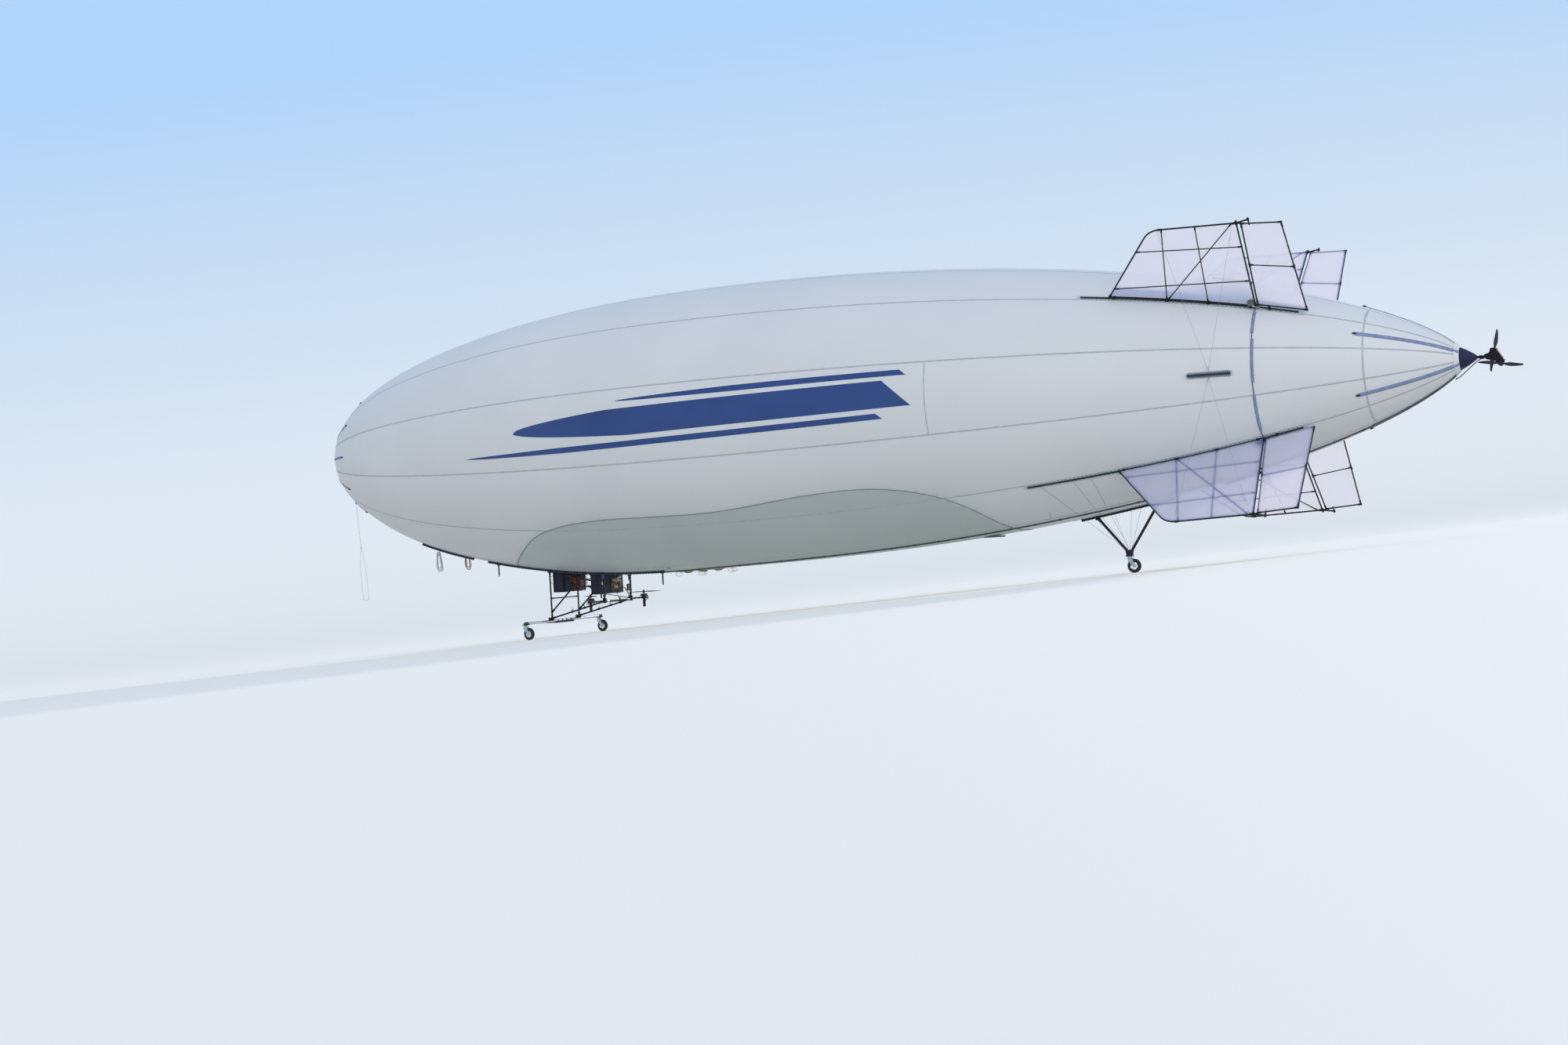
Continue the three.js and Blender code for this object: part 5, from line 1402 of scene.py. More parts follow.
# %% Truss tubes and sockets
G_SIDE, G_FRONT, G_REAR, G_TUBE = 0.305, 3.700, 4.567, 0.011
CASE_LONG, CASE_HALF, CASE_DROP = 0.150, 0.262, 0.008
FRONT_FOOT, REAR_FOOT, BRACE_TOP = -2.366, -2.165, 4.270
truss, sockets = [], []


def local(point):
    """A row-frame point as station, side and height."""
    return (np.asarray(point) - NOSE) @ HULL_TURN


def rail_place(station, side):
    """The middle of a keel rail as station, side and height."""
    return local(on_hull(station, belly_angle(np.array(station), side), RAIL_LIFT))


def socket(end, other, radius, long=0.055):
    """A moulded socket at a tube's end: a collar with a rounded lip."""
    profile = [(-0.010, radius * 0.7), (-0.008, radius * 1.3), (long - 0.006, radius * 1.3),
               (long, radius * 1.12), (long + 0.002, radius * 0.98)]
    return lathe(profile, end, other - end, 14)


def wire(points, radius=0.0026, count=40, sides=7):
    """A wire through hull places, on a smooth curve."""
    return tube(smooth_path(hull(points), count), radius, sides)


def strut(a, b, radius=G_TUBE, socketed=True):
    """A truss tube between two hull places, with a socket on each end where it is wanted."""
    a, b = hull(a), hull(b)
    truss.append(rod(a, b, radius, 14))
    if socketed:
        sockets.extend([socket(a, b, radius), socket(b, a, radius)])


for k in (1, -1):
    side = k * G_SIDE
    front_top, rear_top, brace_top = (rail_place(s, side) for s in (G_FRONT, G_REAR, BRACE_TOP))
    front_foot, rear_foot = np.array([(G_FRONT, side, FRONT_FOOT), (G_REAR, side, REAR_FOOT)])
    strut(front_top, front_foot)
    strut(rear_top, rear_foot)
    strut(front_foot, rear_foot)
    strut(front_foot + [0, 0, 0.080], brace_top)
    for top in (front_top, rear_top, brace_top):
        sockets.append(block(top - [0, 0, 0.014], (0.056, 0.034, 0.024), 0.004))
        sockets.append(ring(hull(top), AFT, 0.014, 0.0135, 0.0175))
    sockets.append(block(front_foot - [0.016, 0, 0.010], (0.076, 0.034, 0.044), 0.006))
    bearing = both_ways([(-0.015, 0.0092), (-0.015, 0.022), (-0.012, 0.027)], closed=True)
    sockets.append(lathe(bearing, hull(rear_foot), PORT, 28))
    sockets.append(block(rear_foot + [0, 0, 0.030], (0.050, 0.029, 0.020), 0.004))
    for share, spin in [(0.38, 1), (0.62, -1)]:
        at = lerp(front_foot, rear_foot, share)
        sockets.append(collar_on(hull(at), hull(rear_foot) - hull(front_foot), 0.020, 0.0155))
        sockets.append(rod(hull(at + [0, 0, 0.010]), hull(at + [0.012 * spin, 0, 0.036]), 0.0055, 10))
        t = np.linspace(0.2, 1.7 * np.pi, 16)
        turned = ((1 - np.cos(t))[:, None] * hull_way([0.8 * spin, 0.5 * k, 0])
                  + np.sin(t)[:, None] * hull_way([0, 0, 0.7]))
        sockets.append(tube(hull(at + [0, 0, 0.034]) + 0.030 * turned, 0.0014, 6))
REAR_BASE = rail_place(4.405, G_SIDE)[2] - RAIL_RADIUS - 0.264
brace = [hull((G_REAR - 0.030, -G_SIDE + 0.020, REAR_FOOT + 0.020)), hull((4.440, 0.170, REAR_BASE + 0.004))]
truss.append(rod(*brace, 0.0048, 10))
sockets.append(collar_on(brace[0], brace[1] - brace[0], 0.030, 0.0085, 12))
clamp_foot = lerp((G_FRONT, -G_SIDE, FRONT_FOOT), (G_REAR, -G_SIDE, REAR_FOOT), 0.80)
clamp_top = np.array([clamp_foot[0] - 0.010, -CASE_HALF + 0.018, REAR_BASE + 0.004])
truss.append(rod(hull(clamp_foot + [0, 0.006, 0.030]), hull(clamp_top), 0.0030, 8))
sockets.append(block(clamp_foot + [0, 0.004, 0.032], (0.017, 0.016, 0.072), 0.003))
sockets.append(block(clamp_foot + [0, 0, -0.002], (0.036, 0.030, 0.030), 0.005))
sockets.append(block((4.462, 0.226, REAR_BASE - 0.026), (0.016, 0.018, 0.060), 0.003))
for station, height, socketed in [(G_FRONT, -2.100, True), (G_REAR - 0.060, REAR_FOOT - 0.014, False)]:
    strut((station, -G_SIDE, height), (station, G_SIDE, height), 0.008, socketed)
piece("gondola_truss", truss, carbon, "carbon_tube", "gondola_frame")
piece("gondola_sockets", sockets, fitting_black, "black_plastic")

# %% Crossbar, pads and tray
BAR_STATION, BAR_HEIGHT, BAR_HALF, BAR_RADIUS = 3.667, -2.402, 0.872, 0.017
TRAIL, HEAD_HIGH = 0.040, 0.1163
TRAY_TOP, TRAY_DEEP, TRAY_WALL = -2.412, 0.022, 0.0035


def on_bar(side):
    """A place on the crossbar's axis."""
    return hull((BAR_STATION, side, BAR_HEIGHT))


def joint_at(name):
    """The middle of a joint."""
    return np.array(joints[name]["pos_m"])


def caster_head(name):
    """The top of a caster, over its swivel."""
    return joint_at(f"wheel_{name}_roll") + [TRAIL, 0, HEAD_HIGH]


bar_long = 2 * BAR_HALF
crossbar = lathe([(0.0, 0.012), (0.0, 0.0155), (0.0015, BAR_RADIUS), (bar_long - 0.0015, BAR_RADIUS),
                  (bar_long, 0.0155), (bar_long, 0.012)], on_bar(-BAR_HALF), PORT, 28)
piece("caster_crossbar_tube", crossbar, alloy, "alloy_tube", "caster_crossbar")
pads = []
for name, k in SIDES:
    head = caster_head(f"front_{name}")
    pads.append(slab(head + [0, 0, 0.004], (0.092, 0.066, 0.008), 0.003, [[0, 1, 0], [-1, 0, 0], [0, 0, 1]]))
    pads.append(collar_on(on_bar(k * FRONT_WHEEL[1]), PORT, 0.074, 0.0205, 24))
    for a, b in [(0.036, 0.024), (-0.036, 0.024), (0.036, -0.024), (-0.036, -0.024)]:
        bolt = [(0, 0.0052), (0.005, 0.0052), (0.0055, 0.0030), (0.011, 0.0030)]
        pads.append(lathe(bolt, head + [b, a, 0.008], [0, 0, 1], 6))
    cap = [(0, 0.0165), (0.002, 0.0172), (0.010, 0.0172), (0.014, 0.013)]
    pads.append(lathe(cap, on_bar(k * (BAR_HALF - 0.012)), k * PORT, 20))
piece("caster_pads", pads, fitting_black, "black_plastic")


def pan(first, last, low_side, high_side):
    """An open pan: a floor and four thin walls."""
    base, wall = TRAY_TOP - TRAY_DEEP, TRAY_WALL
    bounds = [
        (first, last, low_side, high_side, base + wall),
        (first, first + wall, low_side, high_side, TRAY_TOP),
        (last - wall, last, low_side, high_side, TRAY_TOP),
        (first, last, low_side, low_side + wall, TRAY_TOP),
        (first, last, high_side - wall, high_side, TRAY_TOP),
    ]
    return [block(((s0 + s1) / 2, (y0 + y1) / 2, (base + top) / 2), (s1 - s0, y1 - y0, top - base), 0.0012)
            for s0, s1, y0, y1, top in bounds]


tray_parts = pan(3.450, 3.700, -0.190, 0.008) + pan(3.500, 3.700, 0.0045, 0.190)
tray_parts.append(block((3.560, -0.092, TRAY_TOP - 0.010), (0.150, 0.150, 0.018), 0.004))
tray_parts.append(block((3.575, 0.100, TRAY_TOP - 0.010), (0.110, 0.120, 0.018), 0.004))
hanger = both_ways([(-0.008, 0.0175), (-0.008, 0.0200)], closed=True)
tray_parts += [lathe(hanger, on_bar(side), PORT, 20) for side in (-0.150, -0.040, 0.050, 0.150)]
piece("gondola_tray_pans", tray_parts, tray_black, "black_plastic", "gondola_tray")

# %% Equipment cases
CASES = [("front", 3.716, 0.262), ("rear", 4.330, 0.256)]
reds, blacks, straps = [], [], []
case_middle = {}
for name, first, high in CASES:
    middle = first + CASE_LONG / 2
    rail_under = rail_place(middle, G_SIDE)[2] - RAIL_RADIUS
    centre = np.array([middle, 0, rail_under - CASE_DROP - high / 2])
    case_middle[name] = centre[2]
    half = np.array([CASE_LONG, 2 * CASE_HALF, high]) / 2
    edge = half - 0.004
    shell = [block(centre, 2 * half - [0.006, 0.004, 0.004], 0.006)]
    for k in (-1, 1):
        shell += [block(centre + edge * [k, 0, up], (0.011, 2 * CASE_HALF, 0.011), 0.002) for up in (-1, 1)]
        shell += [block(centre + edge * [k, out, 0], (0.011, 0.011, high), 0.002) for out in (-1, 1)]
        rib = (0.006, 0.016, high - 0.02)
        shell += [block(centre + [k * (half[0] - 0.002), out * CASE_HALF, 0], rib, 0.0015)
                  for out in (-0.5, 0.0, 0.5)]
        for out in (-0.88, -0.62, -0.38, -0.12, 0.12, 0.38, 0.62, 0.88):
            for up in (-1, 1):
                screw_at = centre + [k * (half[0] + 0.0005), out * CASE_HALF, up * (half[2] - 0.007)]
                shell.append(stud(hull(screw_at), k * AFT, (0, 0.0016, 0.0024), 0.0042, 0.0026, 8))
    for out in (-1, 1):
        shell += [block(centre + edge * [0, out, up], (CASE_LONG, 0.011, 0.011), 0.002) for up in (-1, 1)]
    for share in (-0.3, 0.3):
        bar_at = (middle + share * CASE_LONG, 0, rail_under - 0.002)
        shell.append(block(bar_at, (0.026, 2 * G_SIDE + 0.034, 0.013), 0.003))
    piece(f"equipment_case_{name}", shell, case_navy, "equipment_case", f"equipment_box_{name}")
    loop = half + 0.004
    for out in (-0.66, 0.66):
        for s, z in [(0, -1), (1, 0), (0, 1), (-1, 0)]:
            size = (2 * abs(z) * loop[0] + 0.003, 0.024, 2 * abs(s) * loop[2] + 0.003)
            straps.append(block(centre + [s * loop[0], out * CASE_HALF, z * loop[2]], size, 0.0012))

# %% Fittings on the cases
CASE_FITTINGS = [
    # case, distance to port, height over the case's middle, width, height, reach aft, finish
    ("front", 0.060, 0.016, 0.170, 0.140, 0.008, "board"),
    ("front", 0.110, 0.052, 0.050, 0.036, 0.022, "black"),
    ("front", 0.030, -0.024, 0.064, 0.044, 0.026, "black"),
    ("front", -0.130, -0.020, 0.090, 0.120, 0.020, "black"),
    ("front", -0.130, -0.084, 0.060, 0.040, 0.034, "beige"),
    ("rear", -0.090, -0.006, 0.220, 0.160, 0.008, "board"),
    ("rear", -0.040, 0.040, 0.056, 0.034, 0.024, "beige"),
    ("rear", -0.110, 0.034, 0.044, 0.050, 0.020, "beige"),
    ("rear", -0.160, -0.006, 0.040, 0.070, 0.026, "black"),
    ("rear", -0.070, -0.044, 0.070, 0.036, 0.028, "beige"),
    ("rear", 0.214, 0.012, 0.044, 0.044, 0.016, "lamp"),
]
aft_face = {name: first + CASE_LONG for name, first, _ in CASES}
bits = {"board": [], "black": [], "beige": [], "lamp": [], "brass": []}
LAMP = [(0, 0.022), (0.006, 0.022), (0.008, 0.018), (0.013, 0.0125), (0.016, 0.004)]
for name, side, up, wide, high, reach, kind in CASE_FITTINGS:
    face, z = aft_face[name], case_middle[name] + up
    if kind == "lamp":
        bits["lamp"].append(lathe(LAMP, hull((face, side, z)), AFT, 28))
        continue
    bits[kind].append(block((face + reach / 2, side, z), (reach, wide, high), 0.0016))
    if kind == "board":
        for i in range(24):
            y, h = side + (0.45 * wide) * math.sin(2.4 * i), z + (0.44 * high) * math.sin(1.7 * i + 0.6)
            size = (0.004 + 0.003 * (i % 3), 0.008 + 0.003 * (i % 4), 0.006 + 0.004 * (i % 3))
            chip = block((face + reach + size[0] / 2, y, h), size, 0.0008)
            bits["black" if i % 3 else "beige"].append(chip)
    else:
        for i in range(3):
            screw = hull((face + reach, side + wide * (i - 1) * 0.3, z + 0.3 * high * (-1) ** i))
            bits["brass"].append(stud(screw, AFT, (0, 0.003, 0.004), 0.0045, 0.003, 10))

# %% The loom
FRONT_Z, REAR_Z = case_middle["front"], case_middle["rear"]
for j in range(7):
    y, drop = 0.130 - 0.028 * j, 0.05 + 0.016 * (j % 3)
    reds.append(wire([
        (3.876, y, FRONT_Z + 0.070 - 0.012 * (j % 2)), (3.918 + 0.006 * (j % 3), y - 0.010, FRONT_Z + 0.050),
        (3.930 + 0.008 * (j % 2), y - 0.022, FRONT_Z - drop), (3.905, y - 0.030, FRONT_Z - drop - 0.030),
        (3.876, y - 0.034, FRONT_Z - drop - 0.012)], 0.0036))
for j in range(6):
    y = -0.060 - 0.028 * j
    blacks.append(wire([
        (3.870, y, FRONT_Z + 0.078), (3.925, y - 0.004, FRONT_Z + 0.064 - 0.01 * (j % 2)),
        (3.945, y + 0.008, FRONT_Z - 0.020), (3.920, y + 0.010, FRONT_Z - 0.090 - 0.008 * (j % 3)),
        (3.876, y + 0.012, FRONT_Z - 0.100)], 0.0038))
LOOM_RUNS = [
    # wires in the bundle, distance to port, height over the case's middle at the front, at the rear, sag
    (6, -0.060, 0.050, 0.060, 0.030), (5, 0.120, -0.020, 0.000, 0.036), (4, -0.170, -0.070, -0.060, 0.022),
    (3, 0.225, 0.096, 0.090, 0.030),
]
for count, y, z0, z1, sag in LOOM_RUNS:
    for j in range(count):
        a, b = 0.007 * math.cos(2.4 * j), 0.007 * math.sin(2.4 * j)
        fore_z, aft_z = FRONT_Z + z0 + b, REAR_Z + z1 + b
        (reds if j == 2 else blacks).append(wire([
            (3.860, y + a, fore_z), (3.96, y + a + 0.008, fore_z - 0.5 * sag),
            (4.10, y + 1.2 * a, (fore_z + aft_z) / 2 - sag), (4.24, y + a - 0.008, aft_z - 0.5 * sag),
            (4.336, y + a, aft_z)], 0.0032))
    for station in (4.02, 4.19):
        tie_at = hull((station, y, (FRONT_Z + z0 + REAR_Z + z1) / 2 - 0.85 * sag))
        blacks.append(collar_on(tie_at, AFT, 0.010, 0.0125, 14))
for k in (1, -1):
    y = k * (CASE_HALF + 0.010)
    top = rail_place(G_REAR, k * G_SIDE)
    leg = lerp(top, (G_REAR, k * G_SIDE, REAR_FOOT), np.linspace(0.1, 0.84, 24)[:, None])
    turn = np.linspace(0, 5 * np.pi, 24)
    round_leg = leg + 0.0145 * np.column_stack([np.cos(turn), np.sin(turn), 0 * turn])
    straps.append(tube(hull(round_leg), 0.0042, 7))
    straps.append(block(top - [0, 0, 0.034], (0.034, 0.040, 0.058), 0.006))
    blacks.append(tube(hull(leg + [0.016, -0.004 * k, 0]), 0.0042, 8))
    for wires, radius, run in [
        # each place of a run: station, distance out from the case's end, height
        (blacks, 0.0038, [(4.470, -0.02, REAR_Z + 0.100), (4.510, 0, REAR_Z + 0.118),
                          (4.548, 0.02, REAR_Z + 0.080), (4.556, 0.019, REAR_Z + 0.020)]),
        (blacks, 0.0040, [(4.470, -0.03, REAR_Z - 0.060), (4.505, -0.01, REAR_Z - 0.070),
                          (4.545, 0.01, REAR_Z - 0.140), (4.550, 0.021, REAR_FOOT + 0.040)]),
        (reds, 0.0030, [(4.476, -0.05, REAR_Z - 0.040), (4.520, -0.03, REAR_Z - 0.080),
                        (4.540, 0, REAR_Z - 0.150), (4.545, 0.013, REAR_FOOT + 0.034)]),
        (blacks, 0.0032, [(3.724, 0, FRONT_Z + 0.09), (3.690, 0.016, FRONT_Z + 0.075),
                          (3.678, 0.012, FRONT_Z + 0.02), (3.716, -0.004, FRONT_Z - 0.020)]),
    ]:
        wires.append(wire([(station, y + k * out, z) for station, out, z in run], radius))
    for station, name in [(3.95, "front"), (4.42, "rear"), (4.20, "rear")]:
        start = rail_place(station, k * G_SIDE)
        blacks.append(wire([
            start - [0, 0.012 * k, 0.010], start - [0.02, 0.030 * k, 0.060],
            start - [-0.02, 0.040 * k, 0.110],
            (station + 0.035, start[1] - 0.060 * k, case_middle[name] + 0.060)], 0.0024))
plate_at = np.array([G_REAR - 0.006, -G_SIDE + 0.040, -2.008])
bits["black"].append(block(plate_at, (0.026, 0.042, 0.092), 0.005))
bits["beige"].append(block(plate_at + [0.0135, 0, 0], (0.003, 0.028, 0.074), 0.001))
bits["black"].append(block(plate_at - [0, 0.024, 0], (0.020, 0.012, 0.030), 0.002))
for shapes, paint, name in [
    (reds, red_wire, "loom_red"), (blacks + bits["black"], black_wire, "loom_black"),
    (straps, blue_strap, "case_straps"), (bits["board"], board_brown, "circuit_boards"),
    (bits["lamp"], white_cap, "signal_lamp"), (bits["beige"], beige, "terminal_blocks"),
    (bits["brass"], brass, "terminal_screws"),
]:
    piece(name, shapes, paint, "black_plastic")

# %% [markdown]
# ## Casters
#
# Each caster is a pressed zinc fork under a ball race, with a rubber tyre on a white five-spoke
# rim. The rim is a lathe profile for its bed and hub, and one tapered spoke repeated five times.
# The tyre's section is a superellipse, flattened where it treads, with fine grooves round it.

# %% Fork, rim and tyre
WHEEL_RADIUS, TREAD, RIM_RADIUS, HUB_HALF, FORK_TOP = 0.080, 0.036, 0.052, 0.0236, 0.094
GROOVE, SPOKES = 0.0018, 5
zinc = finish("zinc_steel", ((0.33, 0.46, 0.56), (0.50, 0.62, 0.70)), 0.32, 45.0, rough=(0.25, 0.48, 90.0),
              metallic=0.75)
rubber = finish("tyre_rubber", ((0.010, 0.010, 0.011), (0.028, 0.027, 0.026)), 0.72, 55.0,
                grain=(300.0, 0.0003, 0.6))
rim_white = plain("wheel_rim", (0.66, 0.67, 0.68), (0.76, 0.77, 0.77), 0.4, 25.0)


def rounded(outline, radius):
    """An outline with each corner replaced by a quadratic curve between points one radius away."""
    p = np.asarray(outline, float)
    before, after = (
        p + unit(other - p) * np.minimum(radius, 0.45 * np.linalg.norm(other - p, axis=1))[:, None]
        for other in (np.roll(p, 1, 0), np.roll(p, -1, 0)))
    t = np.linspace(0, 1, 4)[None, :, None]
    curve = (1 - t) ** 2 * before[:, None] + 2 * t * (1 - t) * p[:, None] + t**2 * after[:, None]
    return curve.reshape(-1, 2)


def tyre_shape(centre):
    """A tyre: a bead that laps over the rim, sidewalls on a superellipse, a flat tread with three
    grooves."""
    half, turn = TREAD / 2, np.linspace(0, np.pi / 2, 8)
    wall = RIM_RADIUS + (WHEEL_RADIUS - RIM_RADIUS) * np.power(np.sin(turn), 0.62)
    shoulder = np.column_stack([half * np.power(np.cos(turn), 0.55), wall])
    tread = [(side, WHEEL_RADIUS - deep * GROOVE) for side, deep in
             [(0.0085, 0), (0.0080, 1), (0.0068, 1), (0.0062, 0), (0.0012, 0), (0.0006, 1)]]
    seat = RIM_RADIUS + 0.0003
    bead = [(half - 0.004, seat), (0.0152, seat), (0.0152, 0.0437), (0.0168, 0.0425), (0.0178, 0.0455)]
    right = np.concatenate([bead, shoulder[:-1], tread])
    profile = np.concatenate([right, right[::-1] * [-1, 1], right[:1]])
    return lathe(profile, centre, [0, 1, 0], 64)


def rim_shape(centre):
    """The rim's bed, its hub and five spokes that widen outwards."""
    inner, low = RIM_RADIUS - 0.0105, RIM_RADIUS - 0.0085
    bed = both_ways([(-0.015, inner), (-0.015, RIM_RADIUS), (-0.012, RIM_RADIUS),
                     (-0.009, RIM_RADIUS - 0.002)])
    bed += [(0.010, low), (-0.010, low), (-0.015, inner)]
    hub = both_ways([(-HUB_HALF, 0.0062), (-HUB_HALF, 0.0135), (-0.020, 0.0155), (-0.012, 0.0165)],
                    closed=True)
    parts = [lathe(bed, centre, [0, 1, 0], 48), lathe(hub, centre, [0, 1, 0], 32)]
    edge = [(0.014, 0.0060), (0.028, 0.0046), (0.0445, 0.0095)]
    spoke = rounded([(out, -half) for out, half in edge] + edge[::-1], 0.004)
    for t in 2 * np.pi * np.arange(SPOKES) / SPOKES + 0.3:
        c, s = math.cos(t), math.sin(t)
        parts.append(plate(spoke, 0.010, centre, [c, 0, s], [-s, 0, c], 0.0012))
    return parts


def fork_shape(centre):
    """Two pressed cheeks, a dished top plate, the ball race, the king pin and the axle bolt."""
    head = centre + np.array([TRAIL, 0, 0])
    cheek = rounded([(-TRAIL - 0.016, 0.004), (-TRAIL - 0.010, -0.014), (-TRAIL + 0.010, -0.014),
                     (-TRAIL + 0.017, 0.004), (0.024, 0.070), (0.024, FORK_TOP), (-0.026, FORK_TOP),
                     (-0.034, 0.070)], 0.012)
    rib = rounded([(-TRAIL + 0.002, 0.012), (0.008, 0.072), (0.002, 0.080), (-TRAIL - 0.010, 0.020)], 0.006)
    nut = [(0, 0.0088), (0.0020, 0.0088), (0.0022, 0.0075), (0.0064, 0.0075), (0.0072, 0.006)]
    race = [(0, 0.024), (0.003, 0.0275), (0.007, 0.0275), (0.008, 0.0235), (0.010, 0.0235), (0.011, 0.0285),
            (0.016, 0.0285), (0.019, 0.024), (0.0215, 0.019)]
    parts = []
    for k in (-1, 1):
        for outline, thick, off, soften in [(cheek, 0.0036, 0.0024, 0.0008), (rib, 0.0060, 0.0030, 0.0012)]:
            face = head + [0, k * (HUB_HALF + off), 0]
            parts.append(plate(outline, thick, face, [1, 0, 0], [0, 0, 1], soften))
        parts.append(lathe(nut, centre + [0, k * (HUB_HALF + 0.0042), 0], [0, k, 0], 6))
    axle = both_ways([(-HUB_HALF - 0.0085, 0.0030), (-HUB_HALF - 0.0080, 0.0054)])
    parts.append(lathe(axle, centre, [0, 1, 0], 16))
    parts.append(slab(head + [-0.001, 0, FORK_TOP], (0.050, 2 * HUB_HALF + 0.0086, 0.006), 0.0028))
    parts.append(lathe(race, head + [0, 0, FORK_TOP + 0.0005], [0, 0, 1], 36))
    return parts


for name in ("front_port", "front_starboard", "tail"):
    centre = joint_at(f"wheel_{name}_roll")
    for part, look, shapes, paint, slot, body in [
        ("caster_fork", "pressed", fork_shape(centre), zinc, "zinc_steel", "caster"),
        ("rim", "spoked", rim_shape(centre), rim_white, "wheel_rim", "wheel"),
        ("tyre", "rubber", tyre_shape(centre), rubber, "tyre", "wheel"),
    ]:
        piece(f"{part}_{name}_{look}", shapes, paint, slot, f"{part}_{name}", f"{body}_{name}")

# %% Tail gear
tail_head = caster_head("tail")
head_place = local(tail_head)
bracket_top = head_place + [0, 0, 0.062]
gear, gear_black = [], []
for station, lean in [(11.327, -0.024), (12.047, 0.024)]:
    top = local(on_hull(station, 180, RAIL_LIFT + RAIL_RADIUS + 0.0005))
    leg = hull(top), hull(bracket_top + [lean, 0, -0.006])
    gear.append(rod(*leg, 0.016, 18))
    gear_black.append(socket(*leg, 0.016, 0.045))
    gear_black.append(block(top - [0, 0, 0.012], (0.060, 0.036, 0.022), 0.005))
    gear_black += [ring(hull(top + [shift, 0, RAIL_RADIUS]), AFT, 0.006, 0.0135, 0.0180)
                   for shift in (-0.018, 0.018)]
piece("tail_gear_legs", gear, carbon, "carbon_tube", "tail_gear_struts")
bracket = plate(rounded([(-0.034, 0.0), (-0.047, 0.068), (0.047, 0.068), (0.034, 0.0)], 0.006), 0.044,
                hull(head_place + [0, 0, 0.004]), AFT, UP, 0.002)
pad = slab(tail_head + [0, 0, 0.005], (0.080, 0.070, 0.010), 0.003)
piece("tail_gear_bracket", [bracket, pad], case_navy, "equipment_case")
PAD_BOLT = [(-0.016, 0.0032), (-0.006, 0.0032), (-0.006, 0.0055), (-0.001, 0.0055), (0.010, 0.0055),
            (0.016, 0.0032)]
for x in (-0.032, 0.032):
    gear_black += [lathe(PAD_BOLT, tail_head + [x, y, 0], [0, 0, 1], 6) for y in (-0.027, 0.027)]
for x, z in [(-0.024, 0.050), (0.024, 0.050), (0.0, 0.018)]:
    gear_black += [stud(hull(head_place + [x, k * 0.022, z]), k * PORT, (0, 0.003, 0.004), 0.0065, 0.004)
                   for k in (-1, 1)]

# %% [markdown]
# ## Motors and propellers
#
# The airship is driven by four electric motors with two-bladed propellers: a pair on the tilting
# axle and a pair on the tail. A blade is a row of aerofoil sections: each one's chord, twist and
# thickness follow from its distance to the hub, which gives the curved, tapered outline.

# %% Propeller
prop_black = finish("propeller_carbon", ((0.008, 0.009, 0.013), (0.024, 0.026, 0.036)), 0.28, 30.0,
                    rough=(0.2, 0.4, 50.0), specular=0.3, **{"Coat Weight": 0.2, "Coat Roughness": 0.15})
HULL_XYZ = HULL_TURN @ np.diag([-1.0, 1.0, 1.0])


def blade(reach, chord, turned):
    """One blade: at a share r of the reach the chord is the greatest times a bump that rises
    fast and falls slowly, the twist runs from 30 to 9 degrees, and the section is an ellipse
    whose upper side is fuller."""
    r = np.concatenate([np.linspace(0.035, 0.9, 22), np.linspace(0.92, 1.0, 6)])
    rise, fall = np.clip((r - 0.02) / 0.4, 0, 1), np.clip(1.04 - r, 0, 1) / 0.62
    bump = np.power(rise, 0.75) * np.power(fall, 0.42) / 0.99
    width = np.maximum(chord * np.clip(bump, 0, 1.02), 0.012 * (1.05 - r))
    twist = np.radians(30 - 21 * np.sqrt(r))
    thick = 0.0078 * (1 - r) ** 0.8 + 0.0014
    sweep = 0.05 * chord * np.sin(np.pi * r) - 0.12 * chord * r**3
    a = np.linspace(0, 2 * np.pi, 18, endpoint=False)
    along = 0.5 * np.cos(a)[None, :] * width[:, None] + sweep[:, None]
    full = thick[:, None] * (1.15 + 0.35 * np.cos(a)) * 0.5 * np.sin(a)
    camber = 0.03 * width[:, None] * (1 - np.cos(2 * a)) / 2
    high = full + camber
    y = along * np.cos(twist)[:, None] - high * np.sin(twist)[:, None]
    z = along * np.sin(twist)[:, None] + high * np.cos(twist)[:, None]
    points = np.stack([np.broadcast_to(reach * r[:, None], y.shape), y, z], -1)
    c, s = math.cos(turned), math.sin(turned)
    return loft(points @ np.array([[c, -s, 0], [s, c, 0], [0, 0, 1.0]]).T)


def propeller_shape(reach, chord, matrix, centre, hub, half):
    """Two blades, the hub with its spinner, washer and nut, turned and moved into place."""
    parts = [blade(reach, chord, 0.0), blade(reach, chord, math.pi)]
    parts.append(lathe([(-half, 0.7 * hub), (-half + 0.0004, hub), (half - 0.0004, hub), (half, 0.8 * hub),
                        (half + 0.0008, 0.62 * hub), (half + 0.0025, 0.62 * hub)], [0, 0, 0], [0, 0, 1], 24))
    parts.append(lathe([(half + 0.002, 0.0075), (half + 0.007, 0.0070), (half + 0.009, 0.0045)],
                       [0, 0, 0], [0, 0, 1], 6))
    parts += [stud([0.72 * hub * math.cos(t), 0.72 * hub * math.sin(t), half - 0.0004], [0, 0, 1],
                   (0, 0.0022, 0.003), 0.0026, 0.0016, 8) for t in np.radians([45, 135, 225, 315])]
    return [part.placed(matrix, centre).outward() for part in parts]


def turn_about(axis, degrees_):
    """A turn about x, y or z as a 3 by 3 matrix."""
    c, s = math.cos(math.radians(degrees_)), math.sin(math.radians(degrees_))
    i, j = {"x": (1, 2), "y": (2, 0), "z": (0, 1)}[axis]
    made = np.eye(3)
    made[i, i], made[i, j], made[j, i], made[j, j] = c, -s, s, c
    return made


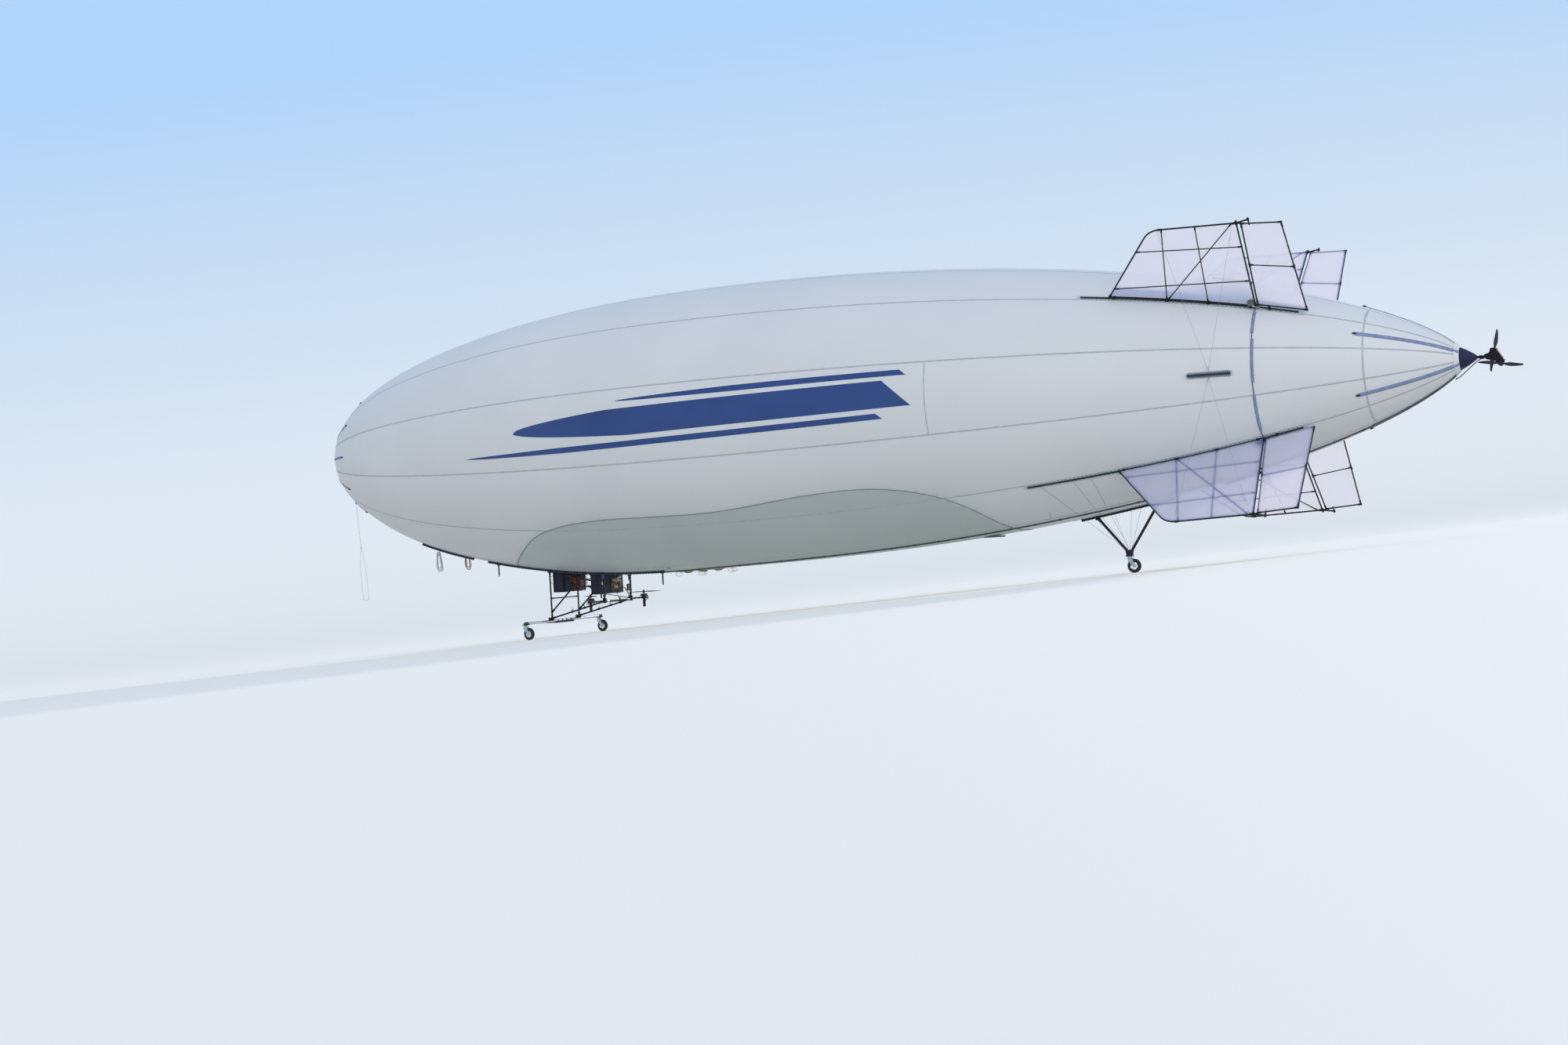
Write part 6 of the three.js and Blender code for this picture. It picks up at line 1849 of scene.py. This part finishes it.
# %% Motor
motor_black = plain("motor_can", (0.014, 0.014, 0.016), (0.034, 0.034, 0.038), 0.34, 60.0, 0.6)
copper = plain("copper_winding", (0.40, 0.17, 0.07), (0.52, 0.25, 0.11), 0.35, 160.0, 0.8)
LIFT_MOTOR, YAW_MOTOR = (0.048, 0.038, 14), (0.024, 0.034, 10)


def motor_shape(foot, way, radius, high, slots):
    """A motor: a mounting plate with the stator, a can over it with cooling slots round its
    foot and its crown, and the shaft."""
    foot, axis, rib = np.asarray(foot), unit(way), radius * 0.965
    can = [(0.007, radius * 0.86), (0.007, radius), (0.0095, radius), (0.010, rib), (high - 0.009, rib),
           (high - 0.0085, radius), (high - 0.004, radius), (high, radius * 0.80), (high, radius * 0.2)]
    base = [(0, radius * 0.2), (0, radius * 0.72), (0.0035, radius * 0.72), (0.0035, radius * 0.2)]
    shaft = [(high - 0.001, 0.0075), (high + 0.003, 0.0075), (high + 0.0035, 0.006), (high + 0.008, 0.006)]
    coil = [(0.0035, radius * 0.5), (0.0036, radius * 0.80), (0.0085, radius * 0.80), (0.0086, radius * 0.5)]
    parts = [lathe(base, foot, way, 24), lathe(can, foot, way, 40), lathe(shaft, foot, way, 16)]
    u = unit(np.cross(axis, np.eye(3)[np.argmin(np.abs(axis))]))
    v = np.cross(axis, u)
    for t in 2 * np.pi * np.arange(slots) / slots:
        out, along = math.cos(t) * u + math.sin(t) * v, -math.sin(t) * u + math.cos(t) * v
        slot_at = foot + axis * (high - 0.006) + out * radius * 0.99
        parts.append(slab(slot_at, (0.0016, 0.0050, 0.0090), 0.0005, np.stack([out, along, axis])))
        ends = foot + axis * 0.0155 + out * rib, foot + axis * (high - 0.010) + out * rib
        parts.append(rod(*ends, 0.0012, 6))
    return parts, lathe(coil, foot, way, 24)


# %% The tilting axle
AXLE_HALF, AXLE_RADIUS, POD = 0.640, 0.008, 0.620
PAD, PAD_TOP, PAD_UNDER = 0.060, 0.014, 0.012
CONTROL_RADIUS, CONTROL_GROOVE, CONTROL_LONG = 0.019, 0.0175, 0.125
axle_centre = np.array([G_REAR, 0, REAR_FOOT])


def axle_place(side, up, ahead=0.0):
    """A place on the axle's body: a distance to port, a height over its axis, one ahead."""
    return hull(axle_centre + [-ahead, side, up])


def axle_wire(points, radius, count=30):
    """A wire through places on the axle's body."""
    return tube(smooth_path([axle_place(*p) for p in points], count), radius, 7)


def pod_block(at, size, radius):
    """A box with rounded edges on the axle's body, square to it."""
    return slab(axle_place(*at), size, radius, HULL_AXES)


axle_parts = [rod(axle_place(-AXLE_HALF, 0), axle_place(AXLE_HALF, 0), AXLE_RADIUS, 20)]
pod_black, pod_wires, pod_reds, windings, axle_alloy = [], [], [], [], []
control = [(0.0, 0.016), (0.006, CONTROL_RADIUS), (0.070, CONTROL_RADIUS)]
for start in (0.071, 0.093):
    control += [(start, CONTROL_GROOVE), (start + 0.003, CONTROL_GROOVE), (start + 0.004, CONTROL_RADIUS),
                (start + 0.021 if start < 0.09 else CONTROL_LONG - 0.005, CONTROL_RADIUS)]
control += [(CONTROL_LONG - 0.001, 0.0165), (CONTROL_LONG, 0.013)]
coupling = both_ways([(-0.034, 0.0080), (-0.034, 0.0118), (-0.031, 0.0128)])
end_ring = [(-0.004, 0.0085), (-0.004, 0.0155), (0.008, 0.0155), (0.010, 0.0130), (0.010, 0.0085)]
for k in (-1, 1):
    y = k * POD
    pod_black.append(pod_block((y, (PAD_TOP - PAD_UNDER) / 2), (PAD, PAD, PAD_TOP + PAD_UNDER), 0.004))
    pod_black.append(pod_block((y, PAD_TOP - 0.003), (PAD + 0.004, PAD + 0.004, 0.005), 0.002))
    for a, b in [(1, 1), (1, -1), (-1, 1), (-1, -1)]:
        screw_at = axle_place(y + b * 0.0235, -PAD_UNDER, a * 0.0235)
        pod_black.append(stud(screw_at, -UP, (0, 0.0035, 0.0045), 0.0042, 0.0026))
    axle_parts.append(lathe(control, axle_place(y, 0), -UP, 24))
    pod_black.append(collar_on(axle_place(y, -0.038), -UP, 0.008, 0.0212, 24))
    pod_black.append(pod_block((y, -0.038, -0.0215), (0.010, 0.012, 0.010), 0.002))
    axle_alloy.append(lathe(coupling, axle_place(k * (G_SIDE - 0.062), 0), PORT, 20))
    pod_black.append(lathe(end_ring, axle_place(k * (G_SIDE + 0.024), 0), k * PORT, 20))
    for spread in (-0.012, 0, 0.012):
        pod_wires.append(axle_wire([
            (y + spread, 0.030, -0.047), (y + spread, 0.020, -0.058), (y + 0.6 * spread, -0.012, -0.052),
            (y + 0.4 * spread, -0.040, -0.026), (y + 0.3 * spread, -0.056, -0.0185)], 0.0024))
    for radius, run in [
        # each place of a run: distance out from the pod, height, distance ahead
        (0.0032, [(0.016, -0.026, -0.006), (0.044, -0.030, -0.008), (0.070, -0.014, -0.008),
                  (0.084, 0.004, -0.006), (0.094, -0.008, -0.006), (0.096, -0.036, -0.006)]),
        (0.0020, [(0.026, -0.010, 0.004), (0.048, -0.004, 0.006), (0.070, -0.012, -0.004),
                  (0.060, -0.026, -0.008), (0.034, -0.032, -0.006)]),
    ]:
        pod_wires.append(axle_wire([(y + out * k, up, ahead) for out, up, ahead in run], radius))
    run = [(k * (G_SIDE + 0.050), 0.0110, 0.002), (k * 0.40, 0.0112, 0.004), (k * 0.47, 0.0110, -0.003),
           (k * 0.55, 0.0115, 0.004), (y - 0.036 * k, 0.004, 0.012)]
    pod_wires.append(axle_wire(run, 0.0026, 40))
    pod_reds.append(axle_wire([(side, up - 0.002, ahead + 0.0055) for side, up, ahead in run], 0.0020, 40))
    pod_black += [collar_on(axle_place(k * side, 0.002), PORT, 0.006, 0.0135, 18)
                  for side in (0.40, 0.50, 0.57)]
piece("thrust_axle_tube", axle_parts, carbon, "carbon_tube", "thrust_axle", "thrust_axle")
piece("axle_couplings", axle_alloy, alloy, "alloy_tube", body="thrust_axle")

for name, sign in SIDES:
    parts, winding = motor_shape(axle_place(sign * POD, PAD_TOP + 0.0003), UP, *LIFT_MOTOR)
    windings.append(winding)
    piece(f"motor_{name}_can", parts, motor_black, "motor", f"motor_{name}", "thrust_axle")
    matrix = HULL_XYZ @ turn_about("z", -sign * 32)
    body = f"propeller_{name}"
    blades = propeller_shape(0.229, 0.044, matrix, joint_at(f"{body}_spin"), 0.016, 0.018)
    piece(f"{body}_blades", blades, prop_black, "propeller", body, body)
for name, shapes, paint, slot in [
    ("pod_blocks", pod_black, fitting_black, "black_plastic"), ("pod_windings", windings, copper, "motor"),
    ("pod_wires", pod_wires, black_wire, "black_plastic"),
    ("pod_power_wires", pod_reds, red_wire, "black_plastic"),
]:
    piece(name, shapes, paint, slot, body="thrust_axle")

# %% The tail thruster
THRUSTER = [(15.636, 0.022), (15.688, 0.036), (15.702, 0.084), (15.752, 0.084), (15.838, -0.066),
            (15.806, -0.118), (15.776, -0.104), (15.744, -0.056), (15.650, -0.028)]
YAW_MOTORS = [
    # name, station, height, side, blade angle
    ("upper", 15.728, 0.058, -1, -12.3),
    ("lower", 15.806, -0.090, 1, 80.6),
]
tail_black = [rod(hull((cone_end + 0.0003, 0, 0)), hull((15.660, 0, 0)), 0.014, 20)]
tail_black.append(ring(hull((15.602, 0, 0)), AFT, 0.012, 0.014, 0.0185))
outline = rounded(THRUSTER, 0.010)
tail_black += [plate(outline, 0.005, hull((0, off, 0)), AFT, UP, 0.0008) for off in (-0.0105, 0.0105)]
core = np.array(THRUSTER)
core = core.mean(0) + (core - core.mean(0)) * 0.93
tail_black.append(plate(rounded(core, 0.008), 0.0168, NOSE_AT, AFT, UP, 0.0006))
PLATE_MIDDLE = (15.745, -0.015)
for corner in THRUSTER:
    s, z = lerp(PLATE_MIDDLE, corner, 0.86)
    tail_black += [stud(hull((s, k * 0.0128, z)), k * PORT, (0, 0.0028, 0.0036), 0.0048, 0.003)
                   for k in (-1, 1)]
tail_black.append(block((15.716, -0.020, -0.004), (0.062, 0.016, 0.034), 0.003))
tail_black.append(block((15.722, 0.020, 0.012), (0.055, 0.014, 0.030), 0.003))
piece("thruster_plates", tail_black, fitting_black, "carbon_tube", "thruster_frame")
tail_cans, tail_windings = [], []
for name, station, height, side, angle in YAW_MOTORS:
    parts, winding = motor_shape(hull((station, side * 0.0133, height)), side * PORT, *YAW_MOTOR)
    tail_cans += parts
    tail_windings.append(winding)
    matrix = HULL_XYZ @ turn_about("y", -(90 - angle)) @ turn_about("x", 90)
    body = f"thruster_propeller_{name}"
    blades = propeller_shape(0.220, 0.042, matrix, joint_at(f"{body}_spin"), 0.015, 0.008)
    piece(f"{body}_blades", blades, prop_black, "propeller", body, body)
piece("thruster_motors", tail_cans, motor_black, "motor")
piece("thruster_windings", tail_windings, copper, "motor")
strip_red = plain("power_leads", (0.42, 0.13, 0.12), (0.72, 0.42, 0.42), 0.5, 120.0)
leads = []
for j in range(4):
    share = np.linspace(0, 1, 24)
    line = lerp((15.7615, 0.0805), (15.8405, -0.0575), share[:, None])
    off = -0.0095 + 0.0063 * j + 0.0012 * np.sin(11 * share + j)
    bulge = 0.0018 * np.sin(19 * share + 1.7 * j)
    leads.append(tube(hull(np.column_stack([line[:, 0] + bulge, off, line[:, 1] + 0.5 * bulge])), 0.0028, 7))
piece("thruster_leads", leads, strip_red, "black_plastic")

# %% [markdown]
# ## Along the belly
#
# A conduit carries the tail's wires from the gondola to the cone. The valves of the air bag sit
# on one board behind the keel rails, and a round port with a stiff rim is sewn in further aft.

# %% Conduit
CONDUIT_RADIUS, CONDUIT_LIFT = 0.009, 0.007
CONDUIT = np.array([
    # station, angle from the top
    (5.250, 173.5), (6.000, 172.4), (7.000, 171.4), (8.930, 169.9), (10.950, 168.4),
    (12.400, 169.2), (13.640, 171.0), (14.500, 172.0), (15.150, 172.0),
])
conduit_grey = plain("conduit", (0.050, 0.060, 0.056), (0.095, 0.108, 0.10), 0.55, 12.0)
route = smooth_path(np.column_stack([CONDUIT, np.zeros(len(CONDUIT))]), 160)[:, :2]
conduit = [tube(on_hull(route[:, 0], route[:, 1], CONDUIT_LIFT), CONDUIT_RADIUS, 10)]
clip_s = np.arange(5.4, 15.1, 0.31)
clip_a = np.interp(clip_s, route[:, 0], route[:, 1])
for s, a in zip(clip_s, clip_a):
    clip_angles = a + np.degrees(np.linspace(-0.022, 0.022, 3) / radius_at(s))
    conduit.append(girth(s, 0.024, clip_angles, lift=0.0032))
conduit.append(sleeve_strip(np.linspace(14.50, HULL_LENGTH - 0.05, 24), 172.0, 0.050, 0.019))
TAIL_DROP = [
    # station, side, height
    (15.345, 0.018, -0.215), (15.410, 0.016, -0.175), (15.480, 0.014, -0.115), (15.560, 0.008, -0.050),
    (15.600, 0.004, -0.024), (15.640, 0.002, -0.018),
]
conduit.append(wire(TAIL_DROP, 0.0055, 40, 8))
for s, a in zip(clip_s, clip_a):
    at, ahead = (on_hull(station, a, CONDUIT_LIFT) for station in (s, s + 0.01))
    conduit.append(ring(at, ahead - at, 0.008, CONDUIT_RADIUS, 0.0118, 12))
piece("belly_conduit_sleeve", conduit, conduit_grey, "black_plastic", "belly_conduit")

# %% Valves and port
olive = plain("valve_olive", (0.20, 0.20, 0.075), (0.36, 0.35, 0.17), 0.5, 18.0)
VALVES = [5.700, 5.930, 6.160]
PATCH_BUTTONS = [
    # station, angle, radius
    (5.672, 167, 0.026), (6.113, 191, 0.034), (5.80, 186.5, 0.020), (6.02, 174.5, 0.022),
]
DOME = [(0, 0.050), (0.004, 0.058), (0.012, 0.058), (0.016, 0.053), (0.022, 0.046),
        (0.028, 0.030), (0.030, 0.008)]
FLANGE = [(0.002, 0.058), (0.002, 0.066), (0.007, 0.066), (0.007, 0.058), (0.002, 0.058)]
board_angles = 180 + np.degrees(np.linspace(-0.045, 0.045, 5) / HULL_RADIUS)
board = film(np.linspace(5.610, 6.250, 8)[:, None], board_angles, lift=0.005)
valve_parts = [board]
for station in VALVES:
    foot = on_hull(station, 180, -0.004)
    valve_parts += [lathe(DOME, foot, -UP, 40), lathe(FLANGE, foot, -UP, 40)]
    for t in np.radians(np.arange(0, 360, 45)):
        at = foot + 0.062 * (math.cos(t) * AFT + math.sin(t) * PORT)
        valve_parts.append(stud(at, -UP, (0.006, 0.0105, 0.0115), 0.0036, 0.002, 8))
for s, a, r in PATCH_BUTTONS:
    button = [(0, r), (0.006, r), (0.010, r * 0.8), (0.013, r * 0.3)]
    valve_parts.append(lathe(button, on_hull(s, a, -0.002), hull_out(a), 24))
piece("belly_valve_caps", valve_parts, olive, "valve", "belly_valves")
PORT_STATION, PORT_RADIUS, PORT_RIM = 10.022, 0.128, 0.013
rim_grey = plain("port_rim", (0.10, 0.12, 0.11), (0.18, 0.20, 0.185), 0.5)
lid_pale = plain("port_lid", (0.50, 0.53, 0.50), (0.56, 0.59, 0.56), 0.5, 8.0)
rim = [(0, PORT_RADIUS - PORT_RIM), (0, PORT_RADIUS + 0.010), (0.007, PORT_RADIUS + 0.006),
       (0.012, PORT_RADIUS), (0.020, PORT_RADIUS), (0.020, PORT_RADIUS - PORT_RIM),
       (0, PORT_RADIUS - PORT_RIM)]
lid = [(0, 0.02), (0, 0.114), (0.008, 0.114), (0.012, 0.09), (0.013, 0.02)]
for name, profile, paint in [("belly_port_rim", rim, rim_grey), ("belly_port_lid", lid, lid_pale)]:
    piece(name, lathe(profile, on_hull(PORT_STATION, 180, -0.004), -UP, 64), paint, "envelope")

# %% Wires round the valves
LOOPS = [
    # station, distance to port, radius
    (5.62, 0.10, 0.050), (5.86, -0.06, 0.060), (6.25, -0.16, 0.055), (6.32, -0.12, 0.045),
    (5.98, 0.09, 0.050),
]
loose = []
for j, (s, y, r) in enumerate(LOOPS):
    t = np.linspace(-0.6 * np.pi, 1.5 * np.pi, 30)
    skin_z = local(on_hull(s, belly_angle(np.array(s), y)))[2]
    drop = 0.004 + r * 0.55 * (1 - np.cos(t - 1.4 * np.pi))
    bent = np.column_stack([s + r * np.cos(t), y + 0.3 * r * np.sin(t + j), skin_z - drop])
    loose.append(tube(hull(bent), 0.0022, 6))
for y0, y1 in [(0.29, 0.05), (-0.29, -0.04), (0.27, 0.09)]:
    run_s = np.linspace(5.46, 5.72, 14)
    run_y = np.interp(run_s, [5.46, 5.72], [y0, y1]) + 0.012 * np.sin(40 * run_s)
    loose.append(tube(on_hull(run_s, belly_angle(run_s, run_y), 0.004), 0.0035, 7))
piece("valve_wires", loose, black_wire, "black_plastic")

# %% [markdown]
# ## Sleeves and stays on the sides
#
# Between the upper and the lower fin a cable in short sleeves follows the hull's girth. Midway,
# a short rod is laced to the film, and thin wires run from it to the tips of both fins.

# %% Cable sleeves
SLEEVE_STATION = 13.470
SLEEVE_RUN = [(48, 65), (69, 97), (105, 129)]


def across_sleeve(station, angles, width, height):
    """A pillowy sleeve that runs round the hull, as the battens' sleeves do along it."""
    share = np.linspace(0, 1, 9)
    lift = height * np.sqrt(np.sin(np.pi * share)) - 0.0015
    a = np.asarray(angles, float)[:, None]
    top = on_hull(station + width * (share - 0.5), a, lift)
    under = on_hull(station + width * (share[::-1] - 0.5), a, -0.003)
    return loft(np.concatenate([top, under], axis=1))


for name, sign in SIDES:
    parts = [across_sleeve(SLEEVE_STATION + 0.004 * (i % 2), sign * np.linspace(a, b, 12), 0.036, 0.012)
             for i, (a, b) in enumerate(SLEEVE_RUN)]
    piece(f"cable_sleeve_{name}_cloth", parts, sleeve_cloth, "batten", f"cable_sleeve_{name}")
    upper, lower = (fin_plane(sign * a)(13.50, 1.02) for a in (44, 136))
    run = on_hull(np.full(60, SLEEVE_STATION), sign * np.linspace(48, 132, 60), 0.006)
    path = [upper, lerp(upper, run[0], 0.6), *run, lerp(lower, run[-1], 0.6), lower]
    piece(f"fin_cable_{name}", tube(path, 0.0042, 8), black_wire, "black_plastic")

# %% Stay rods and wires
STAYS = [
    # name, angle from the top, the angles of the two fins that its wires run to
    ("port", 90, 44, 136), ("starboard", -90, -44, -136), ("top", 0, 44, -44),
    ("bottom", 180, 136, -136),
]
STAY_FROM, STAY_TO, STAY_RADIUS, STAY_LIFT, STAY_WIRE = 12.830, 13.261, 0.012, 0.018, 0.0012
stay_grey = plain("stay_wire", (0.20, 0.21, 0.23), (0.30, 0.31, 0.33), 0.45, 60.0, 0.3)
stay_wires = []
for name, angle, fin_a, fin_b in STAYS:
    rod_path = on_hull(np.linspace(STAY_FROM, STAY_TO, 8), angle, STAY_LIFT)
    lace_s = np.arange(STAY_FROM + 0.012, STAY_TO, 0.017)
    loops.append(lace_loops(lace_s, angle + 0 * lace_s, STAY_RADIUS, STAY_LIFT))
    patch_s = np.linspace(STAY_FROM - 0.02, STAY_TO + 0.02, 8)
    patches.append(tape(patch_s, angle, 0.060, lift=0.0024, under=-0.002))
    for i, j in [(0, 1), (-1, -2)]:
        plug = [(-0.003, 0.008), (-0.003, 0.0142), (0.014, 0.0142), (0.016, 0.012)]
        plug_ends.append(lathe(plug, rod_path[i], rod_path[j] - rod_path[i], 14))
    holds = [on_hull(float(lerp(STAY_FROM, STAY_TO, share)), angle, STAY_LIFT) for share in (0.52, 0.48)]
    for fin_angle in (fin_a, fin_b):
        towards = math.copysign(1.0, math.sin(math.radians(angle - fin_angle)))
        for hold, (s, reach) in zip(holds, [(12.698, 2.133), (13.491, 2.085)]):
            tip = fin_plane(fin_angle)(s, reach, towards * (FIN["tube"] + 0.002))
            stay_wires.append(rod(hold, tip, STAY_WIRE, 6))
            stay_wires += [collar_on(lerp(hold, tip, share), tip - hold, 0.040, 0.0024, 8)
                           for share in (0.045, 0.90)]
    shape = tube(rod_path, STAY_RADIUS, 14)
    piece(f"stay_rod_{name}_laced", shape, carbon, "carbon_tube", f"stay_rod_{name}")
piece("stay_wires", stay_wires, stay_grey, "zinc_steel")

# %% Gear stays and rope ends
gear_wires = []
for sign in (1, -1):
    for station, lean in [(11.05, -0.020), (11.42, 0.0), (11.62, 0.016)]:
        top = fin_plane(sign * 136)(station, float(radius_at(station)) + 0.020)
        gear_wires.append(rod(top, hull(bracket_top + [lean, sign * 0.021, 0.0]), 0.0014, 6))
for j, (s, y, long) in enumerate([(12.13, 0.012, 0.16), (12.15, -0.010, 0.12), (10.98, 0.60, 0.14)]):
    t = np.linspace(0, 1, 16)
    top = local(on_hull(s, belly_angle(np.array(s), y), 0.008))
    lean = 1 if j % 2 else -0.6
    frayed = top + np.column_stack([0.05 * lean * t**2, 0.012 * np.sin(5 * t + j), -long * t])
    gear_wires.append(tube(hull(frayed), 0.0019 * (1 - 0.4 * t), 6))
for name, shapes, paint, slot in [
    ("gear_stays", gear_wires, lacing_cord, "rope"),
    ("gear_fittings", gear_black, fitting_black, "black_plastic"),
    ("servo_links", servo_bright, alloy, "zinc_steel"),
    ("servo_cables", cable_loops, black_wire, "black_plastic"),
    ("rail_patches", patches, patch_film, "envelope"), ("rail_lacing", loops, lacing_cord, "rope"),
    ("rail_end_plugs", plug_ends, plug_black, "black_plastic"),
]:
    piece(name, shapes, paint, slot)

# %% Size and finish
size = {"cad": cad_box, "visual": [list(corner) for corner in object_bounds()]}
